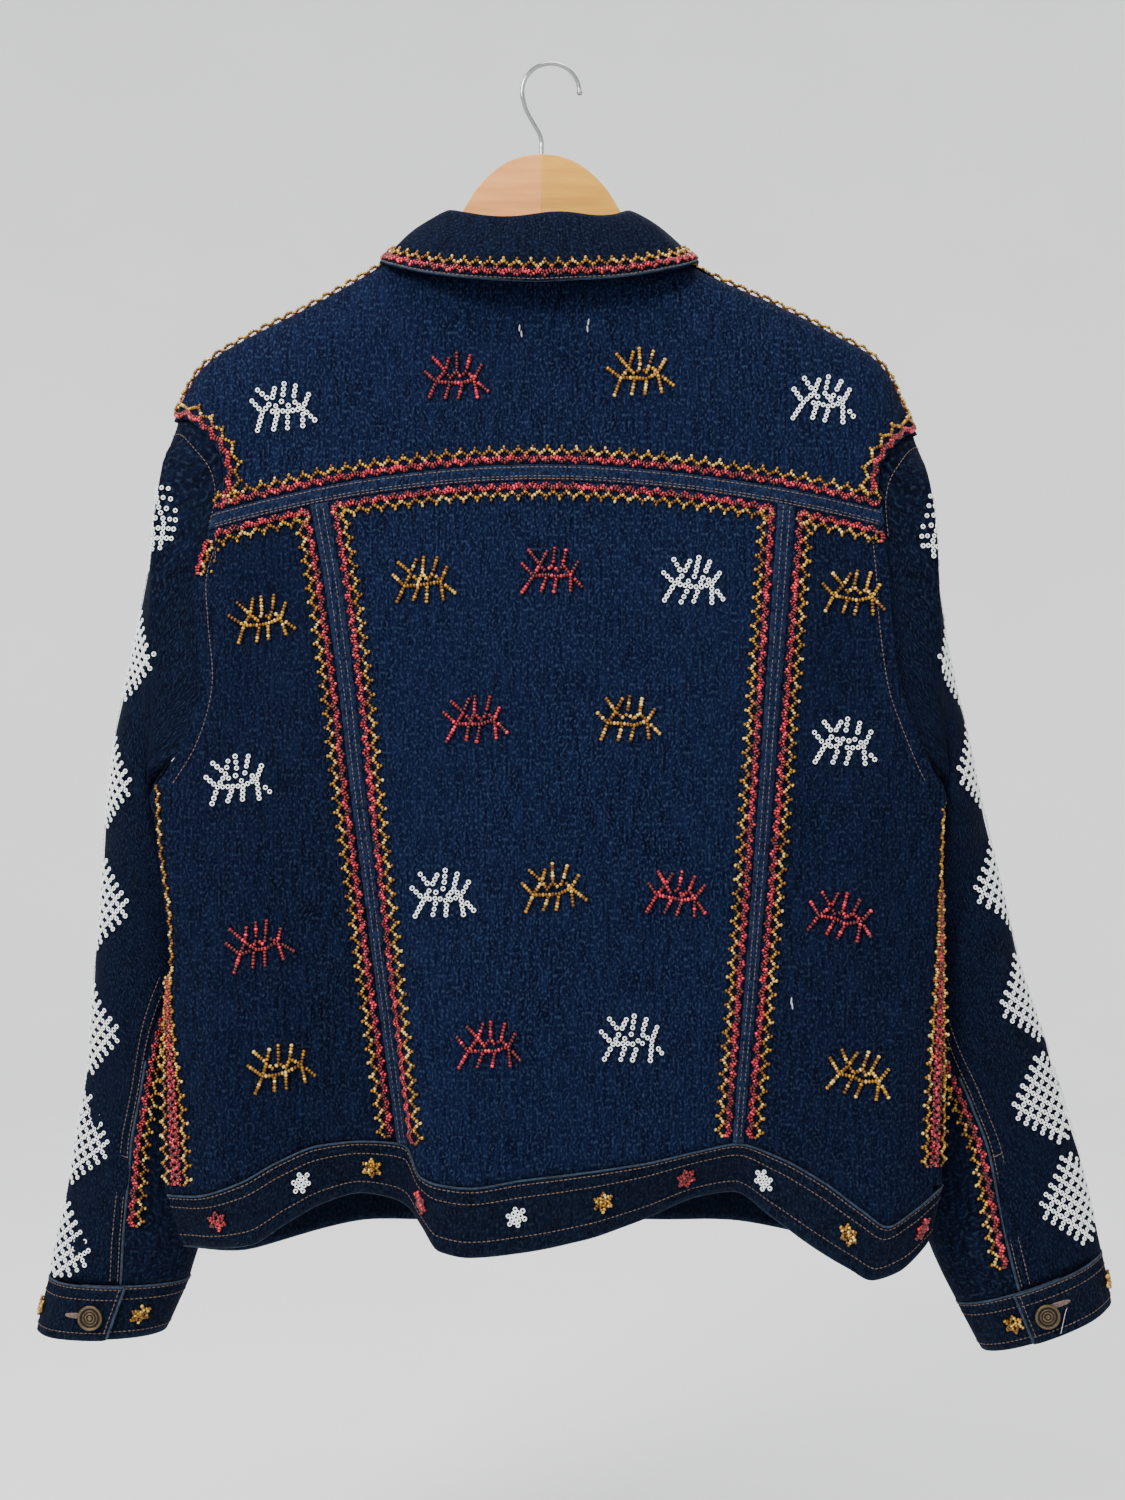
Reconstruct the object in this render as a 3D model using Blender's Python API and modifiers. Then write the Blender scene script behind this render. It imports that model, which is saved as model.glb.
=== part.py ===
"""Beaded denim jacket on a wooden hanger, as thin cloth walls.

The jacket's back faces -Y, +X is to the right of someone who looks at the back, and +Z is up. The origin is
the inside top of the hanger's hook, where a rail or a wall hook holds it. Tables and sizes are in millimetres.
"""

import bisect
import math
from collections import namedtuple

import bmesh
import bpy
from mathutils import Matrix, Vector

MM = 0.001

# Cloth
DENIM = 1.6
DOUBLED_DENIM = 2.4
SEAM_GAP = 0.3
STRIP_RISE = 0.6
MITRE_SPARE = 1.25
LEAST_MITRE = 0.5
MOST_PULL = 0.7
SLEEVE_SPARE = 0.5
SHOULDER_ROUND = 45.0
CREASE_ANGLE = 50.0

# Hem and bands
BAND_HEIGHT = 44.0
MOST_TUCK = 14.0
TUCK_RATE = 1.3
FRONT_TUCK = -4.0
BAND_LAP = 1.7
FRONT_HEM = -750.0
BAND_TAPER = 9.0
WAVE_TOP = -470.0
WAVE_FULL = -735.0
YOKE_SEAM = -282.3
YOKE_DROP_LEFT = 33.0
YOKE_DROP_RIGHT = 28.0
YOKE_STRIP_HEIGHT = 11.0
PRINCESS_TOP_WIDTH = 12.0
PRINCESS_HEM_WIDTH = 7.5

# Neck and front opening
NECK_X = -8.0
NECK_HALF_WIDTH = 82.0
NECK_BACK_DROP = 20.0
NECK_FRONT_DROP = 76.0
FRONT_LAP = 18.0
FRONT_LAP_RAMP = 34.0
FRONT_BAND_WIDTH = 38.0
FRONT_BUTTONS = 6
TOP_BUTTON_DROP = 26.0
LOW_BUTTON_DROP = 22.0

# How the fronts come round behind the sleeves to the side seam
WRAP_RISE = 2.0
WRAP_INSET = 2.5
WRAP_TURN = 5.5

# Buttons
BUTTON_RADIUS = 8.5
BUTTON_HEIGHT = 3.0
BUTTON_STEPS = 14
BUTTON_SEAT = 0.4
CUFF_BUTTON_SEAT = 0.75

# Hanger
WOOD_THICKNESS = 12.0
WOOD_ROUND = 4.0
WOOD_CLEARANCE = 4.0
WOOD_JOINT_X = -6.3
WOOD_TOP = -62.0
WOOD_ARM_END = 203.0
WOOD_ARM_HEIGHT = 24.0
WOOD_CENTRE_HEIGHT = 80.0
WOOD_LOWER_BEND = 1.25
WOOD_NOSE = 0.7
WOOD_NECK_START = 6.0
WIRE_RADIUS = 1.5
WIRE_DEPTH = 30.0
HOOK_RADIUS = 19.5
HOOK_BALL_RADIUS = 2.1
HOOK_START_ANGLE = 197.0
HOOK_END_ANGLE = 4.0
HOOK_STEPS = 18
HOLE_SIDES = 12

# Body of the jacket by height: where its flattened sides end, how deep back and front bulge, how far from the
# sides they round off, and how far round to the back the side seam lies.
Level = namedtuple(
    "Level", "z left right edge_back edge_front back front round_back round_front inset"
)
BODY = (
    Level(-100, -263, 256, 0, 0, 27, 27, 50, 50, 0),
    Level(-250, -263, 256, 0, 0, 30, 29, 52, 52, 0),
    Level(-330, -264, 259, -4, 8, 35, 33, 56, 60, 0),
    Level(-420, -266, 262, -14, 2, 38, 36, 60, 95, 0),
    Level(-490, -266, 263, -24, -18, 38, 37, 60, 140, 2),
    Level(-541, -262, 261, -25, -19, 37, 37, 60, 140, 4),
    Level(-612, -255, 261, -26, -20, 36, 37, 60, 140, 4),
    Level(-670, -260, 262, -25, -19, 36, 36, 60, 140, 6),
    Level(-753, -259, 263, -22, -16, 36, 36, 60, 140, 8),
    Level(-830, -257, 262, -20, -14, 36, 36, 60, 140, 8),
)

# Shoulder ridge, from the neck out over the end of the hanger to the top of the armhole.
Spot = namedtuple("Spot", "x z")
RIDGE_LEFT = (
    Spot(-8, -109),
    Spot(-60, -113),
    Spot(-90, -125),
    Spot(-117, -139),
    Spot(-160, -163),
    Spot(-209, -188),
    Spot(-226, -198),
    Spot(-239, -209),
    Spot(-249, -225),
    Spot(-257, -243),
)
RIDGE_RIGHT = (
    Spot(-8, -109),
    Spot(44, -113),
    Spot(74, -125),
    Spot(104, -142),
    Spot(164, -169),
    Spot(202, -189),
    Spot(216, -197),
    Spot(231, -213),
    Spot(240, -233),
    Spot(250, -252),
)

# The hanger's hump above the neck, by the distance from its glued joint.
WOOD_HUMP = (
    Spot(0, -62),
    Spot(12, -63.5),
    Spot(24, -68),
    Spot(35, -76),
    Spot(45, -87),
    Spot(53, -100),
    Spot(60, -112),
    Spot(66, -122.5),
    Spot(76, -131.5),
)

# Armholes, from the shoulder down to the side seam, as the back shows them.
ARMHOLE_LEFT = (
    Spot(-257, -243),
    Spot(-244, -245),
    Spot(-230, -257),
    Spot(-220, -271),
    Spot(-218, -288),
    Spot(-223, -306),
    Spot(-227, -319),
    Spot(-237, -350),
    Spot(-236, -382),
    Spot(-233, -422),
    Spot(-242, -457),
    Spot(-256, -481),
    Spot(-264, -490),
)
ARMHOLE_RIGHT = (
    Spot(250, -252),
    Spot(240, -255),
    Spot(229, -265),
    Spot(221, -277),
    Spot(218.5, -290),
    Spot(220, -303),
    Spot(222, -317),
    Spot(225, -350),
    Spot(227, -382),
    Spot(233, -424),
    Spot(242, -450),
    Spot(253, -476),
    Spot(261, -490),
)

# Seams between the centre and the side panels of the back.
PRINCESS_LEFT = (
    Spot(-153.5, -305),
    Spot(-145, -352),
    Spot(-134.5, -430),
    Spot(-129, -480),
    Spot(-115, -600),
    Spot(-99, -730),
)
PRINCESS_RIGHT = (
    Spot(157, -305),
    Spot(146, -450),
    Spot(135.5, -600),
    Spot(125.5, -730),
)

# Hem of the back: the waistband's upper and lower edges, and how far the cloth swings out towards the back.
Hem = namedtuple("Hem", "x top bottom swing")
HEM = (
    Hem(-259, -764, -800, 0),
    Hem(-235, -762, -799, 7),
    Hem(-205, -752, -794, 7),
    Hem(-180, -739, -781, 2),
    Hem(-155, -730, -770, -5),
    Hem(-130, -728, -765, -9),
    Hem(-108, -729, -768, -11),
    Hem(-97, -731, -772, -10),
    Hem(-86, -748, -784, 6),
    Hem(-74, -752, -796, 11),
    Hem(-52, -754, -800, 13),
    Hem(-21, -750, -798, 11),
    Hem(20, -746, -791, 6),
    Hem(62, -741, -780, 0),
    Hem(100, -734, -768, -8),
    Hem(125, -730, -765, -11),
    Hem(150, -737, -778, -6),
    Hem(180, -752, -796, 3),
    Hem(206, -770, -810, 11),
    Hem(222, -780, -818, 13),
    Hem(240, -772, -813, 9),
    Hem(263, -758, -796, 0),
)

# Long soft folds of the back and the front: from a high to a low end, with the width and height of the ridge.
Fold = namedtuple("Fold", "side x_top z_top x_low z_low width height")
FOLDS = (
    Fold("back", -205, -520, -172, -700, 17, 5.0),
    Fold("back", -228, -600, -214, -745, 13, 5.0),
    Fold("back", -178, -350, -205, -470, 20, -4.0),
    Fold("back", 196, -360, 214, -500, 18, -4.0),
    Fold("back", 208, -450, 196, -640, 15, 5.0),
    Fold("back", 178, -560, 170, -730, 16, 4.0),
    Fold("back", -40, -560, -62, -735, 26, 3.0),
    Fold("back", 60, -500, 84, -720, 26, -3.0),
    Fold("front", -150, -300, -120, -640, 26, 5.0),
    Fold("front", 130, -320, 110, -680, 26, 5.0),
    Fold("front", -80, -520, -95, -740, 22, -4.0),
    Fold("front", 70, -480, 84, -740, 22, -4.0),
)

# Sleeves by ring: the outer and the inner edge, half of the depth between them, and the angle of the back seam.
Ring = namedtuple("Ring", "out_x out_z out_y in_x in_z in_y depth seam")
SLEEVE_LEFT = (
    Ring(-257, -243, 0, -270, -489, -16, 25, 180),
    Ring(-265, -282, 3, -271, -508, -6, 27, 180),
    Ring(-272, -328, 6, -266, -530, 4, 28, 176),
    Ring(-281, -374, 8, -258, -552, 11, 29, 170),
    Ring(-291, -420, 10, -249, -573, 15, 30, 160),
    Ring(-300, -466, 12, -243, -600, 16, 31, 146),
    Ring(-306, -512, 14, -239, -630, 18, 32, 130),
    Ring(-309, -562, 15, -237, -660, 20, 32, 112),
    Ring(-313, -615, 16, -236, -692, 21, 32, 98),
    Ring(-318, -672, 17, -235, -724, 22, 31, 89),
    Ring(-325, -722, 18, -235, -757, 22, 30, 85),
    Ring(-335, -775, 18, -238, -790, 22, 29, 88),
    Ring(-346, -829, 18, -250, -831, 20, 28, 98),
)
SLEEVE_RIGHT = (
    Ring(250, -252, 0, 267, -489, -16, 25, 180),
    Ring(257.5, -287, 3, 268, -508, -6, 27, 180),
    Ring(262, -330, 6, 263, -530, 4, 28, 176),
    Ring(268, -375, 8, 259, -552, 11, 29, 170),
    Ring(276.5, -420, 10, 254, -573, 15, 30, 162),
    Ring(288, -466, 12, 250.5, -600, 16, 31, 152),
    Ring(298, -512, 14, 249, -630, 18, 32, 141),
    Ring(311, -562, 15, 248, -662, 20, 32, 128),
    Ring(322, -613, 16, 248, -695, 21, 32, 115),
    Ring(341, -668, 17, 249, -730, 22, 31, 104),
    Ring(356, -718, 18, 252, -766, 22, 30, 97),
    Ring(370, -768, 18, 260, -806, 22, 29, 99),
    Ring(380, -812, 18, 281, -848, 20, 28, 105),
)
CUFF_LEFT = Ring(-355, -866, 18, -266, -867, 20, 28, 98)
CUFF_RIGHT = Ring(387, -847, 18, 298, -881, 20, 28, 105)
UNDER_BACK_SEAM = 180.0
UNDERARM_SEAM = 215.0
CAP_BLEND_RINGS = 4.5
CAP_UNDERARM_RINGS = 1.2
CAP_SIDE_RINGS = 2.0
CAP_SIDE_UNDERARM_RINGS = 0.6
SLEEVE_CLEARANCE = 2.5
SLEEVE_TUCK = 5.0
UNDERARM_TOP = -478.0
UNDERARM_FADE = 14.0
UNDERARM_DEPTH = 12.5
SEAM_LOOK = 8.0
RING_LOOK = 0.3
CUFF_LAP_START = 3.0
CUFF_LAP_ANGLE = 36.0
CUFF_LAP_GAP = 0.5
CUFF_LAP_EASE = 40.0
CUFF_TOP = 0.012
CUFF_BUTTON_INSET = 17.0
CUFF_BUTTON_DOWN = 0.55

# Fractions of the armhole's length, from the shoulder down: where its back and front edges start to draw
# together, and where a sleeve moves from behind the body's edge to beside it, under the arm and in front.
ARMHOLE_CLOSE = 0.93
UNDERARM_START, UNDERARM_FULL = 0.86, 0.98
FRONT_SIDE_START, FRONT_SIDE_FULL = 0.6, 0.74
BEHIND_EDGE = DENIM + SEAM_GAP * 1.5
BESIDE_EDGE, BESIDE_UNDERARM = 2.5, 5.5
ABOVE_EDGE, ABOVE_UNDERARM = 1.0, 2.5

# Creases of the sleeves: ring number, angle round the ring, spread in rings and in degrees, and height.
Crease = namedtuple("Crease", "ring angle rings degrees height")
CREASES = (
    Crease(4.6, 60, 0.8, 40, 4.0),
    Crease(6.2, 75, 0.7, 45, -4.0),
    Crease(7.6, 55, 0.8, 40, 4.0),
    Crease(9.4, 60, 0.7, 35, -3.5),
    Crease(5.4, 285, 0.8, 45, 4.0),
    Crease(7.0, 290, 0.8, 45, -4.0),
    Crease(8.6, 280, 0.8, 40, 4.0),
)

# Collar by its half: fold line on top and outer edge of the leaf, measured from the middle of the neck.
Collar = namedtuple("Collar", "fold_x fold_y fold_z edge_x edge_y edge_z")
COLLAR = (
    Collar(0, -37, -112, 0, -50, -159),
    Collar(29, -35, -111, 42, -49, -157),
    Collar(50, -27, -108, 76, -41, -151),
    Collar(63, -13, -103, 101, -26, -142),
    Collar(69, 3, -104, 109, 4, -134),
    Collar(66, 19, -118, 105, 33, -159),
    Collar(51, 31, -142, 90, 42, -196),
    Collar(30, 38, -165, 71, 45, -228),
    Collar(10, 42, -182, 52, 47, -246),
)
COLLAR_WAVE = 1.6
COLLAR_WALL = 2.0
LEAF_BULGE = 3.0
LEAF_LIFT = 1.25
STAND_WALL = 1.6
STAND_HEAD_GAP = 1.0
STAND_HEAD_DROP = 0.6
STAND_FOOT_BACK = 3.0
STAND_FOOT_FRONT = 4.4
STAND_FOOT_RISE = 1.2
SHOULDER_POSITION = 4

# Fractions at which the pieces' rows and columns lie; pieces that share a seam share its stops.
SHOULDER_STOPS = (0, 0.048, 0.108, 0.186, 0.287, 0.5, 0.75, 1)
YOKE_ROWS = (0, 0.0012, 0.03, 0.09, 0.18, 0.3, 0.45, 0.62, 0.8, 1)
FRONT_ROWS = (0, 0.0006, 0.01, 0.035, 0.08, 0.15, 0.25, 0.38, 0.52, 0.67, 1 - 35 / 180, 0.87, 0.93, 1)
FRONT_COLUMNS = (0, 0.004, 0.012, 0.025, 0.045, 0.1, 0.2, 0.32, 0.46, 0.6, 0.74, 0.88, 1)
WRAP_STOPS = (0, 0.25, 0.7)
SIDE_SEAM_ROWS = 9
LEAST_STOP = 0.005

DENIM_BLUE = (0.020, 0.048, 0.130)
DENIM_DARK = (0.014, 0.034, 0.095)
WOOD_PINK = (0.72, 0.43, 0.27)
WOOD_YELLOW = (0.80, 0.58, 0.30)
STEEL = (0.62, 0.62, 0.62)
BRONZE = (0.16, 0.11, 0.07)


def smooth(table, key, column, at):
    """Reads a column of a table at any key, along a curve that never overshoots its rows."""
    rows = sorted((getattr(row, key), getattr(row, column)) for row in table)
    keys = [row[0] for row in rows]
    values = [row[1] for row in rows]
    at = min(max(at, keys[0]), keys[-1])
    i = min(max(bisect.bisect_right(keys, at) - 1, 0), len(keys) - 2)
    steps = [keys[n + 1] - keys[n] for n in range(len(keys) - 1)]
    slopes = [(values[n + 1] - values[n]) / steps[n] for n in range(len(steps))]

    def tangent(n):
        if n == 0 or n == len(slopes):
            return slopes[min(n, len(slopes) - 1)]
        before, after = slopes[n - 1], slopes[n]
        return 0.0 if before * after <= 0 else 2 * before * after / (before + after)

    t = (at - keys[i]) / steps[i]
    rise = values[i + 1] - values[i]
    start, end = tangent(i) * steps[i], tangent(i + 1) * steps[i]
    return values[i] + t * start + t * t * (3 * rise - 2 * start - end) + t**3 * (start + end - 2 * rise)


def smoothstep(value):
    value = min(max(value, 0.0), 1.0)
    return value * value * (3 - 2 * value)


def spread(count, bias=1.0):
    """Fractions from 0 to 1, closer together at the start for a bias over 1."""
    return [(i / count) ** bias for i in range(count + 1)]


class Route:
    """A smooth line through points, read at fractions of its length."""

    FINE = 12

    def __init__(self, points):
        points = [Vector(p) for p in points]
        ends = [points[0] * 2 - points[1], *points, points[-1] * 2 - points[-2]]
        line = [points[0]]
        for a, b, c, d in zip(ends, ends[1:], ends[2:], ends[3:]):
            for step in range(1, self.FINE + 1):
                t = step / self.FINE
                line.append(
                    b
                    + (c - a) * (t / 2)
                    + (a * 2 - b * 5 + c * 4 - d) * (t * t / 2)
                    + (b * 3 - a - c * 3 + d) * (t**3 / 2)
                )
        self.line = line
        self.lengths = [0.0]
        for a, b in zip(line, line[1:]):
            self.lengths.append(self.lengths[-1] + (b - a).length)

    def at(self, fraction):
        length = fraction * self.lengths[-1]
        i = min(max(bisect.bisect_right(self.lengths, length) - 1, 0), len(self.line) - 2)
        part = (length - self.lengths[i]) / (self.lengths[i + 1] - self.lengths[i])
        return self.line[i].lerp(self.line[i + 1], part)

    def points(self, fractions):
        return [self.at(f) for f in fractions]


def between(start, end, fractions):
    """A route's points from one fraction of its length to another."""
    return [start + (end - start) * f for f in fractions]


def measure(line):
    """Fraction of a line's length at each of its points."""
    lengths = [0.0]
    for a, b in zip(line, line[1:]):
        lengths.append(lengths[-1] + (b - a).length)
    return [length / lengths[-1] for length in lengths]


def fill(top, bottom, left, right):
    """Rows of (x, z) points inside four borders, as a Coons patch."""
    across = [(a + b) / 2 for a, b in zip(measure(top), measure(bottom))]
    down = [(a + b) / 2 for a, b in zip(measure(left), measure(right))]
    rows = []
    for j, t in enumerate(down):
        row = []
        for i, s in enumerate(across):
            corners = (
                top[0] * ((1 - s) * (1 - t))
                + top[-1] * (s * (1 - t))
                + bottom[0] * ((1 - s) * t)
                + bottom[-1] * (s * t)
            )
            row.append(
                top[i] * (1 - t) + bottom[i] * t + left[j] * (1 - s) + right[j] * s - corners
            )
        rows.append(row)
    return rows


def shoulder_ridge(x):
    """Height of the shoulder ridge, and the cosine of its slope."""
    table = RIDGE_LEFT if x < NECK_X else RIDGE_RIGHT
    z = smooth(table, "x", "z", x)
    ahead = smooth(table, "x", "z", x + 2)
    behind = smooth(table, "x", "z", x - 2)
    slope = (ahead - behind) / 4
    return z, 1 / math.sqrt(1 + slope * slope)


def princess_x(side, z):
    return smooth(PRINCESS_LEFT if side < 0 else PRINCESS_RIGHT, "z", "x", z)


def round_off(distance, reach):
    """0 at an edge and 1 at `reach` from it, as a quarter of a circle."""
    u = min(max(distance / reach, 0.0), 1.0)
    return math.sqrt(max(0.0, 1 - (1 - u) ** 2))


def hem_x(x, z):
    """Where the cloth at this place of the back meets the hem, going down along the panels' taper."""
    stops = [
        smooth(BODY, "z", "left", z),
        princess_x(-1, z),
        princess_x(1, z),
        smooth(BODY, "z", "right", z),
    ]
    hems = [HEM[0].x, PRINCESS_LEFT[-1].x, PRINCESS_RIGHT[-1].x, HEM[-1].x]
    i = min(max(bisect.bisect_right(stops, x) - 1, 0), 2)
    part = (x - stops[i]) / (stops[i + 1] - stops[i])
    return hems[i] + (hems[i + 1] - hems[i]) * part


def fold_relief(side, x, z):
    """How far the long folds push the cloth outwards."""
    total = 0.0
    for fold in FOLDS:
        if fold.side != side:
            continue
        along = (fold.z_top - z) / (fold.z_top - fold.z_low)
        centre = fold.x_top + (fold.x_low - fold.x_top) * along
        fade = smoothstep((along + 0.25) / 0.6) * smoothstep((1.2 - along) / 0.5)
        total += fold.height * fade * math.exp(-(((x - centre) / fold.width) ** 2))
    return total


def body_edges(x, z):
    """How far the cloth has rounded away from the shoulder ridge, and the distance to the nearer side."""
    ridge, cosine = shoulder_ridge(x)
    top = round_off((ridge - z) * cosine, SHOULDER_ROUND)
    side = min(x - smooth(BODY, "z", "left", z), smooth(BODY, "z", "right", z) - x)
    return top, max(side, 0.0)


def back_y(x, z):
    """Outer surface of the back at a place seen from the back."""
    top, side = body_edges(x, z)
    edge = smooth(BODY, "z", "edge_back", z)
    deep = smooth(BODY, "z", "back", z)
    rounding = round_off(side, smooth(BODY, "z", "round_back", z))
    swing = smooth(HEM, "x", "swing", hem_x(x, z)) * smoothstep((WAVE_TOP - z) / (WAVE_TOP - WAVE_FULL))
    relief = (fold_relief("back", x, z) + swing) * rounding
    return (edge * (1 - rounding) - (deep + relief) * rounding) * top


def front_y(x, z):
    """Outer surface of the front at a place seen from the back."""
    top, side = body_edges(x, z)
    edge = smooth(BODY, "z", "edge_front", z)
    deep = smooth(BODY, "z", "front", z)
    reach = smooth(BODY, "z", "round_front", z)
    flatness = smoothstep((reach - 55) / 80)
    rounding = (1 - flatness) * round_off(side, reach) + flatness * smoothstep(side / reach)
    relief = fold_relief("front", x, z) * rounding
    return (edge * (1 - rounding) + (deep + relief) * rounding) * top


def on_back(spots):
    return [Vector((p[0], back_y(p[0], p[1]), p[1])) for p in spots]


def on_front(spots):
    return [Vector((p[0], front_y(p[0], p[1]), p[1])) for p in spots]


def pull_in(grid, left=0.0, right=0.0, top=0.0, bottom=0.0):
    """Moves the borders of a grid inwards along the cloth, which leaves the gap of a seam."""
    for row in grid:
        if left:
            row[0] = row[0] + (row[1] - row[0]).normalized() * left
        if right:
            row[-1] = row[-1] + (row[-2] - row[-1]).normalized() * right
    for i in range(len(grid[0])):
        if top:
            grid[0][i] = grid[0][i] + (grid[1][i] - grid[0][i]).normalized() * top
        if bottom:
            grid[-1][i] = grid[-1][i] + (grid[-2][i] - grid[-1][i]).normalized() * bottom
    return grid


def grid_normals(grid, turned):
    """Unit normals of a grid, facing as its cloth will."""
    rows, columns = len(grid), len(grid[0])
    normals = []
    for r in range(rows):
        line = []
        for c in range(columns):
            along = grid[r][min(c + 1, columns - 1)] - grid[r][max(c - 1, 0)]
            down = grid[min(r + 1, rows - 1)][c] - grid[max(r - 1, 0)][c]
            normal = along.cross(down).normalized()
            line.append(-normal if turned else normal)
        normals.append(line)
    return normals


def mitre(grid, column, normals, turned, spare=0.0):
    """Pulls a side border in until the rim of its wall stays on its own side of a seam with these normals."""
    own = grid_normals(grid, turned)
    next_column = 1 if column == 0 else column - 1
    edge = [row[column] for row in grid]
    last = len(grid) - 1
    for r, row in enumerate(grid):
        along = edge[min(r + 1, last)] - edge[max(r - 1, 0)]
        step = (row[next_column] - edge[r]).normalized()
        inward = normals[r].cross(along).normalized()
        if inward.dot(step) < 0:
            inward = -inward
        lean = max(0.0, own[r][column].dot(inward)) * DENIM * MITRE_SPARE
        pull = (SEAM_GAP / 2 + spare + lean) / max(step.dot(inward), LEAST_MITRE)
        row[column] = edge[r] + step * min(pull, MOST_PULL * (row[next_column] - edge[r]).length)


def raised(grid, height, turned):
    """The same grid, moved out along its normals."""
    return [
        [point + normal * height for point, normal in zip(row, line)]
        for row, line in zip(grid, grid_normals(grid, turned))
    ]


def material(name, colour, roughness, metallic=0.0):
    made = bpy.data.materials.new(name)
    made.use_nodes = True
    shader = made.node_tree.nodes["Principled BSDF"]
    shader.inputs["Base Color"].default_value = (*colour, 1.0)
    shader.inputs["Roughness"].default_value = roughness
    shader.inputs["Metallic"].default_value = metallic
    return made


def add(name, data, parts, finish):
    made = bpy.data.objects.new(name, data)
    parts.objects.link(made)
    made.data.materials.clear()
    made.data.materials.append(finish)
    return made


def cloth(name, grid, wall, parts, finish, turned):
    """A wall of cloth: a plane grid moved to its points, and thickened inwards. `turned` cloth faces -Y."""
    rows, columns = len(grid), len(grid[0])
    built = bmesh.new()
    bmesh.ops.create_grid(built, x_segments=columns - 1, y_segments=rows - 1, size=1)
    for vertex in built.verts:
        c = round((vertex.co.x + 1) / 2 * (columns - 1))
        r = round((vertex.co.y + 1) / 2 * (rows - 1))
        vertex.co = grid[r][c] * MM
    if turned:
        bmesh.ops.reverse_faces(built, faces=built.faces)
    mesh = bpy.data.meshes.new(name)
    built.to_mesh(mesh)
    built.free()
    made = add(name, mesh, parts, finish)
    mesh.shade_smooth()
    mesh.set_sharp_from_angle(angle=math.radians(CREASE_ANGLE))
    thick = made.modifiers.new("wall", "SOLIDIFY")
    thick.thickness = wall * MM
    thick.offset = -1
    return made


def yoke_line(x):
    """Middle of the seam under the yoke."""
    part = (x - NECK_X) / 218
    drop = YOKE_DROP_LEFT if part < 0 else YOKE_DROP_RIGHT
    return YOKE_SEAM - drop * abs(part) ** 1.9


def armhole(side):
    return Route([(s.x, s.z) for s in (ARMHOLE_LEFT if side < 0 else ARMHOLE_RIGHT)])


def armhole_place(side, fraction, front):
    """A point of the armhole's edge on the back or the front, which meet where the side seam starts."""
    spot = armhole(side).at(fraction)
    y = back_y(spot.x, spot.y)
    if front:
        ahead = front_y(spot.x, spot.y)
        y = ahead + (y - ahead) * smoothstep((fraction - ARMHOLE_CLOSE) / (1 - ARMHOLE_CLOSE))
    return Vector((spot.x, y, spot.y))


def facing(front, x, z):
    """Unit normal of the back's or the front's outer surface."""
    surface = front_y if front else back_y
    slope_x = (surface(x + 1, z) - surface(x - 1, z)) / 2
    slope_z = (surface(x, z + 1) - surface(x, z - 1)) / 2
    normal = Vector((slope_x, -1, slope_z)).normalized()
    return -normal if front else normal


def armhole_fraction(side, z):
    """Fraction of the armhole's length at which it passes a height, below its inward curve."""
    route = armhole(side)
    low, high = 0.2, 1.0
    for _ in range(30):
        middle = (low + high) / 2
        if route.at(middle).y > z:
            low = middle
        else:
            high = middle
    return low


def yoke_ends(side, offset):
    """Where the armhole meets the upper (positive offset) or lower edge of the seam strip under the yoke."""
    z = yoke_line(218 * side + NECK_X) + offset
    fraction = armhole_fraction(side, z)
    return fraction, armhole(side).at(fraction)


def side_armhole_stops(side):
    """Fractions of the armhole at the rows of a side panel."""
    start, _ = yoke_ends(side, -YOKE_STRIP_HEIGHT / 2)
    return between(start, 1, spread(9))


def yoke_armhole_stops(side):
    end, _ = yoke_ends(side, YOKE_STRIP_HEIGHT / 2)
    return between(0, end, YOKE_ROWS)


def back_yoke(parts, finish):
    half = YOKE_STRIP_HEIGHT / 2
    left_spot, right_spot = yoke_ends(-1, half)[1], yoke_ends(1, half)[1]
    neck_left, neck_right = NECK_X - NECK_HALF_WIDTH, NECK_X + NECK_HALF_WIDTH
    top = []
    for f in SHOULDER_STOPS[:-1]:
        x = RIDGE_LEFT[-1].x + (neck_left - RIDGE_LEFT[-1].x) * f
        top.append(Vector((x, shoulder_ridge(x)[0])))
    neck_columns = 10
    for i in range(neck_columns + 1):
        turn = math.pi * (i / neck_columns - 0.5)
        x = NECK_X + NECK_HALF_WIDTH * math.sin(turn)
        drop = NECK_BACK_DROP * math.cos(turn) ** 2
        top.append(Vector((x, shoulder_ridge(neck_left)[0] - drop)))
    top[-1] = Vector((neck_right, shoulder_ridge(neck_right)[0]))
    for f in reversed(SHOULDER_STOPS[:-1]):
        x = RIDGE_RIGHT[-1].x + (neck_right - RIDGE_RIGHT[-1].x) * f
        top.append(Vector((x, shoulder_ridge(x)[0])))
    bottom = []
    for i, point in enumerate(top):
        f = i / (len(top) - 1)
        f = 0.5 * f + 0.5 * (point.x - top[0].x) / (top[-1].x - top[0].x)
        x = left_spot.x + (right_spot.x - left_spot.x) * f
        bottom.append(Vector((x, yoke_line(x) + half)))
    bottom[0], bottom[-1] = left_spot, right_spot
    left = armhole(-1).points(yoke_armhole_stops(-1))
    right = armhole(1).points(yoke_armhole_stops(1))
    grid = [on_back(row) for row in fill(top, bottom, left, right)]
    pull_in(grid, SEAM_GAP / 2, SEAM_GAP / 2, SEAM_GAP, SEAM_GAP / 2)
    return cloth("back_yoke", grid, DENIM, parts, finish, True)


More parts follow.
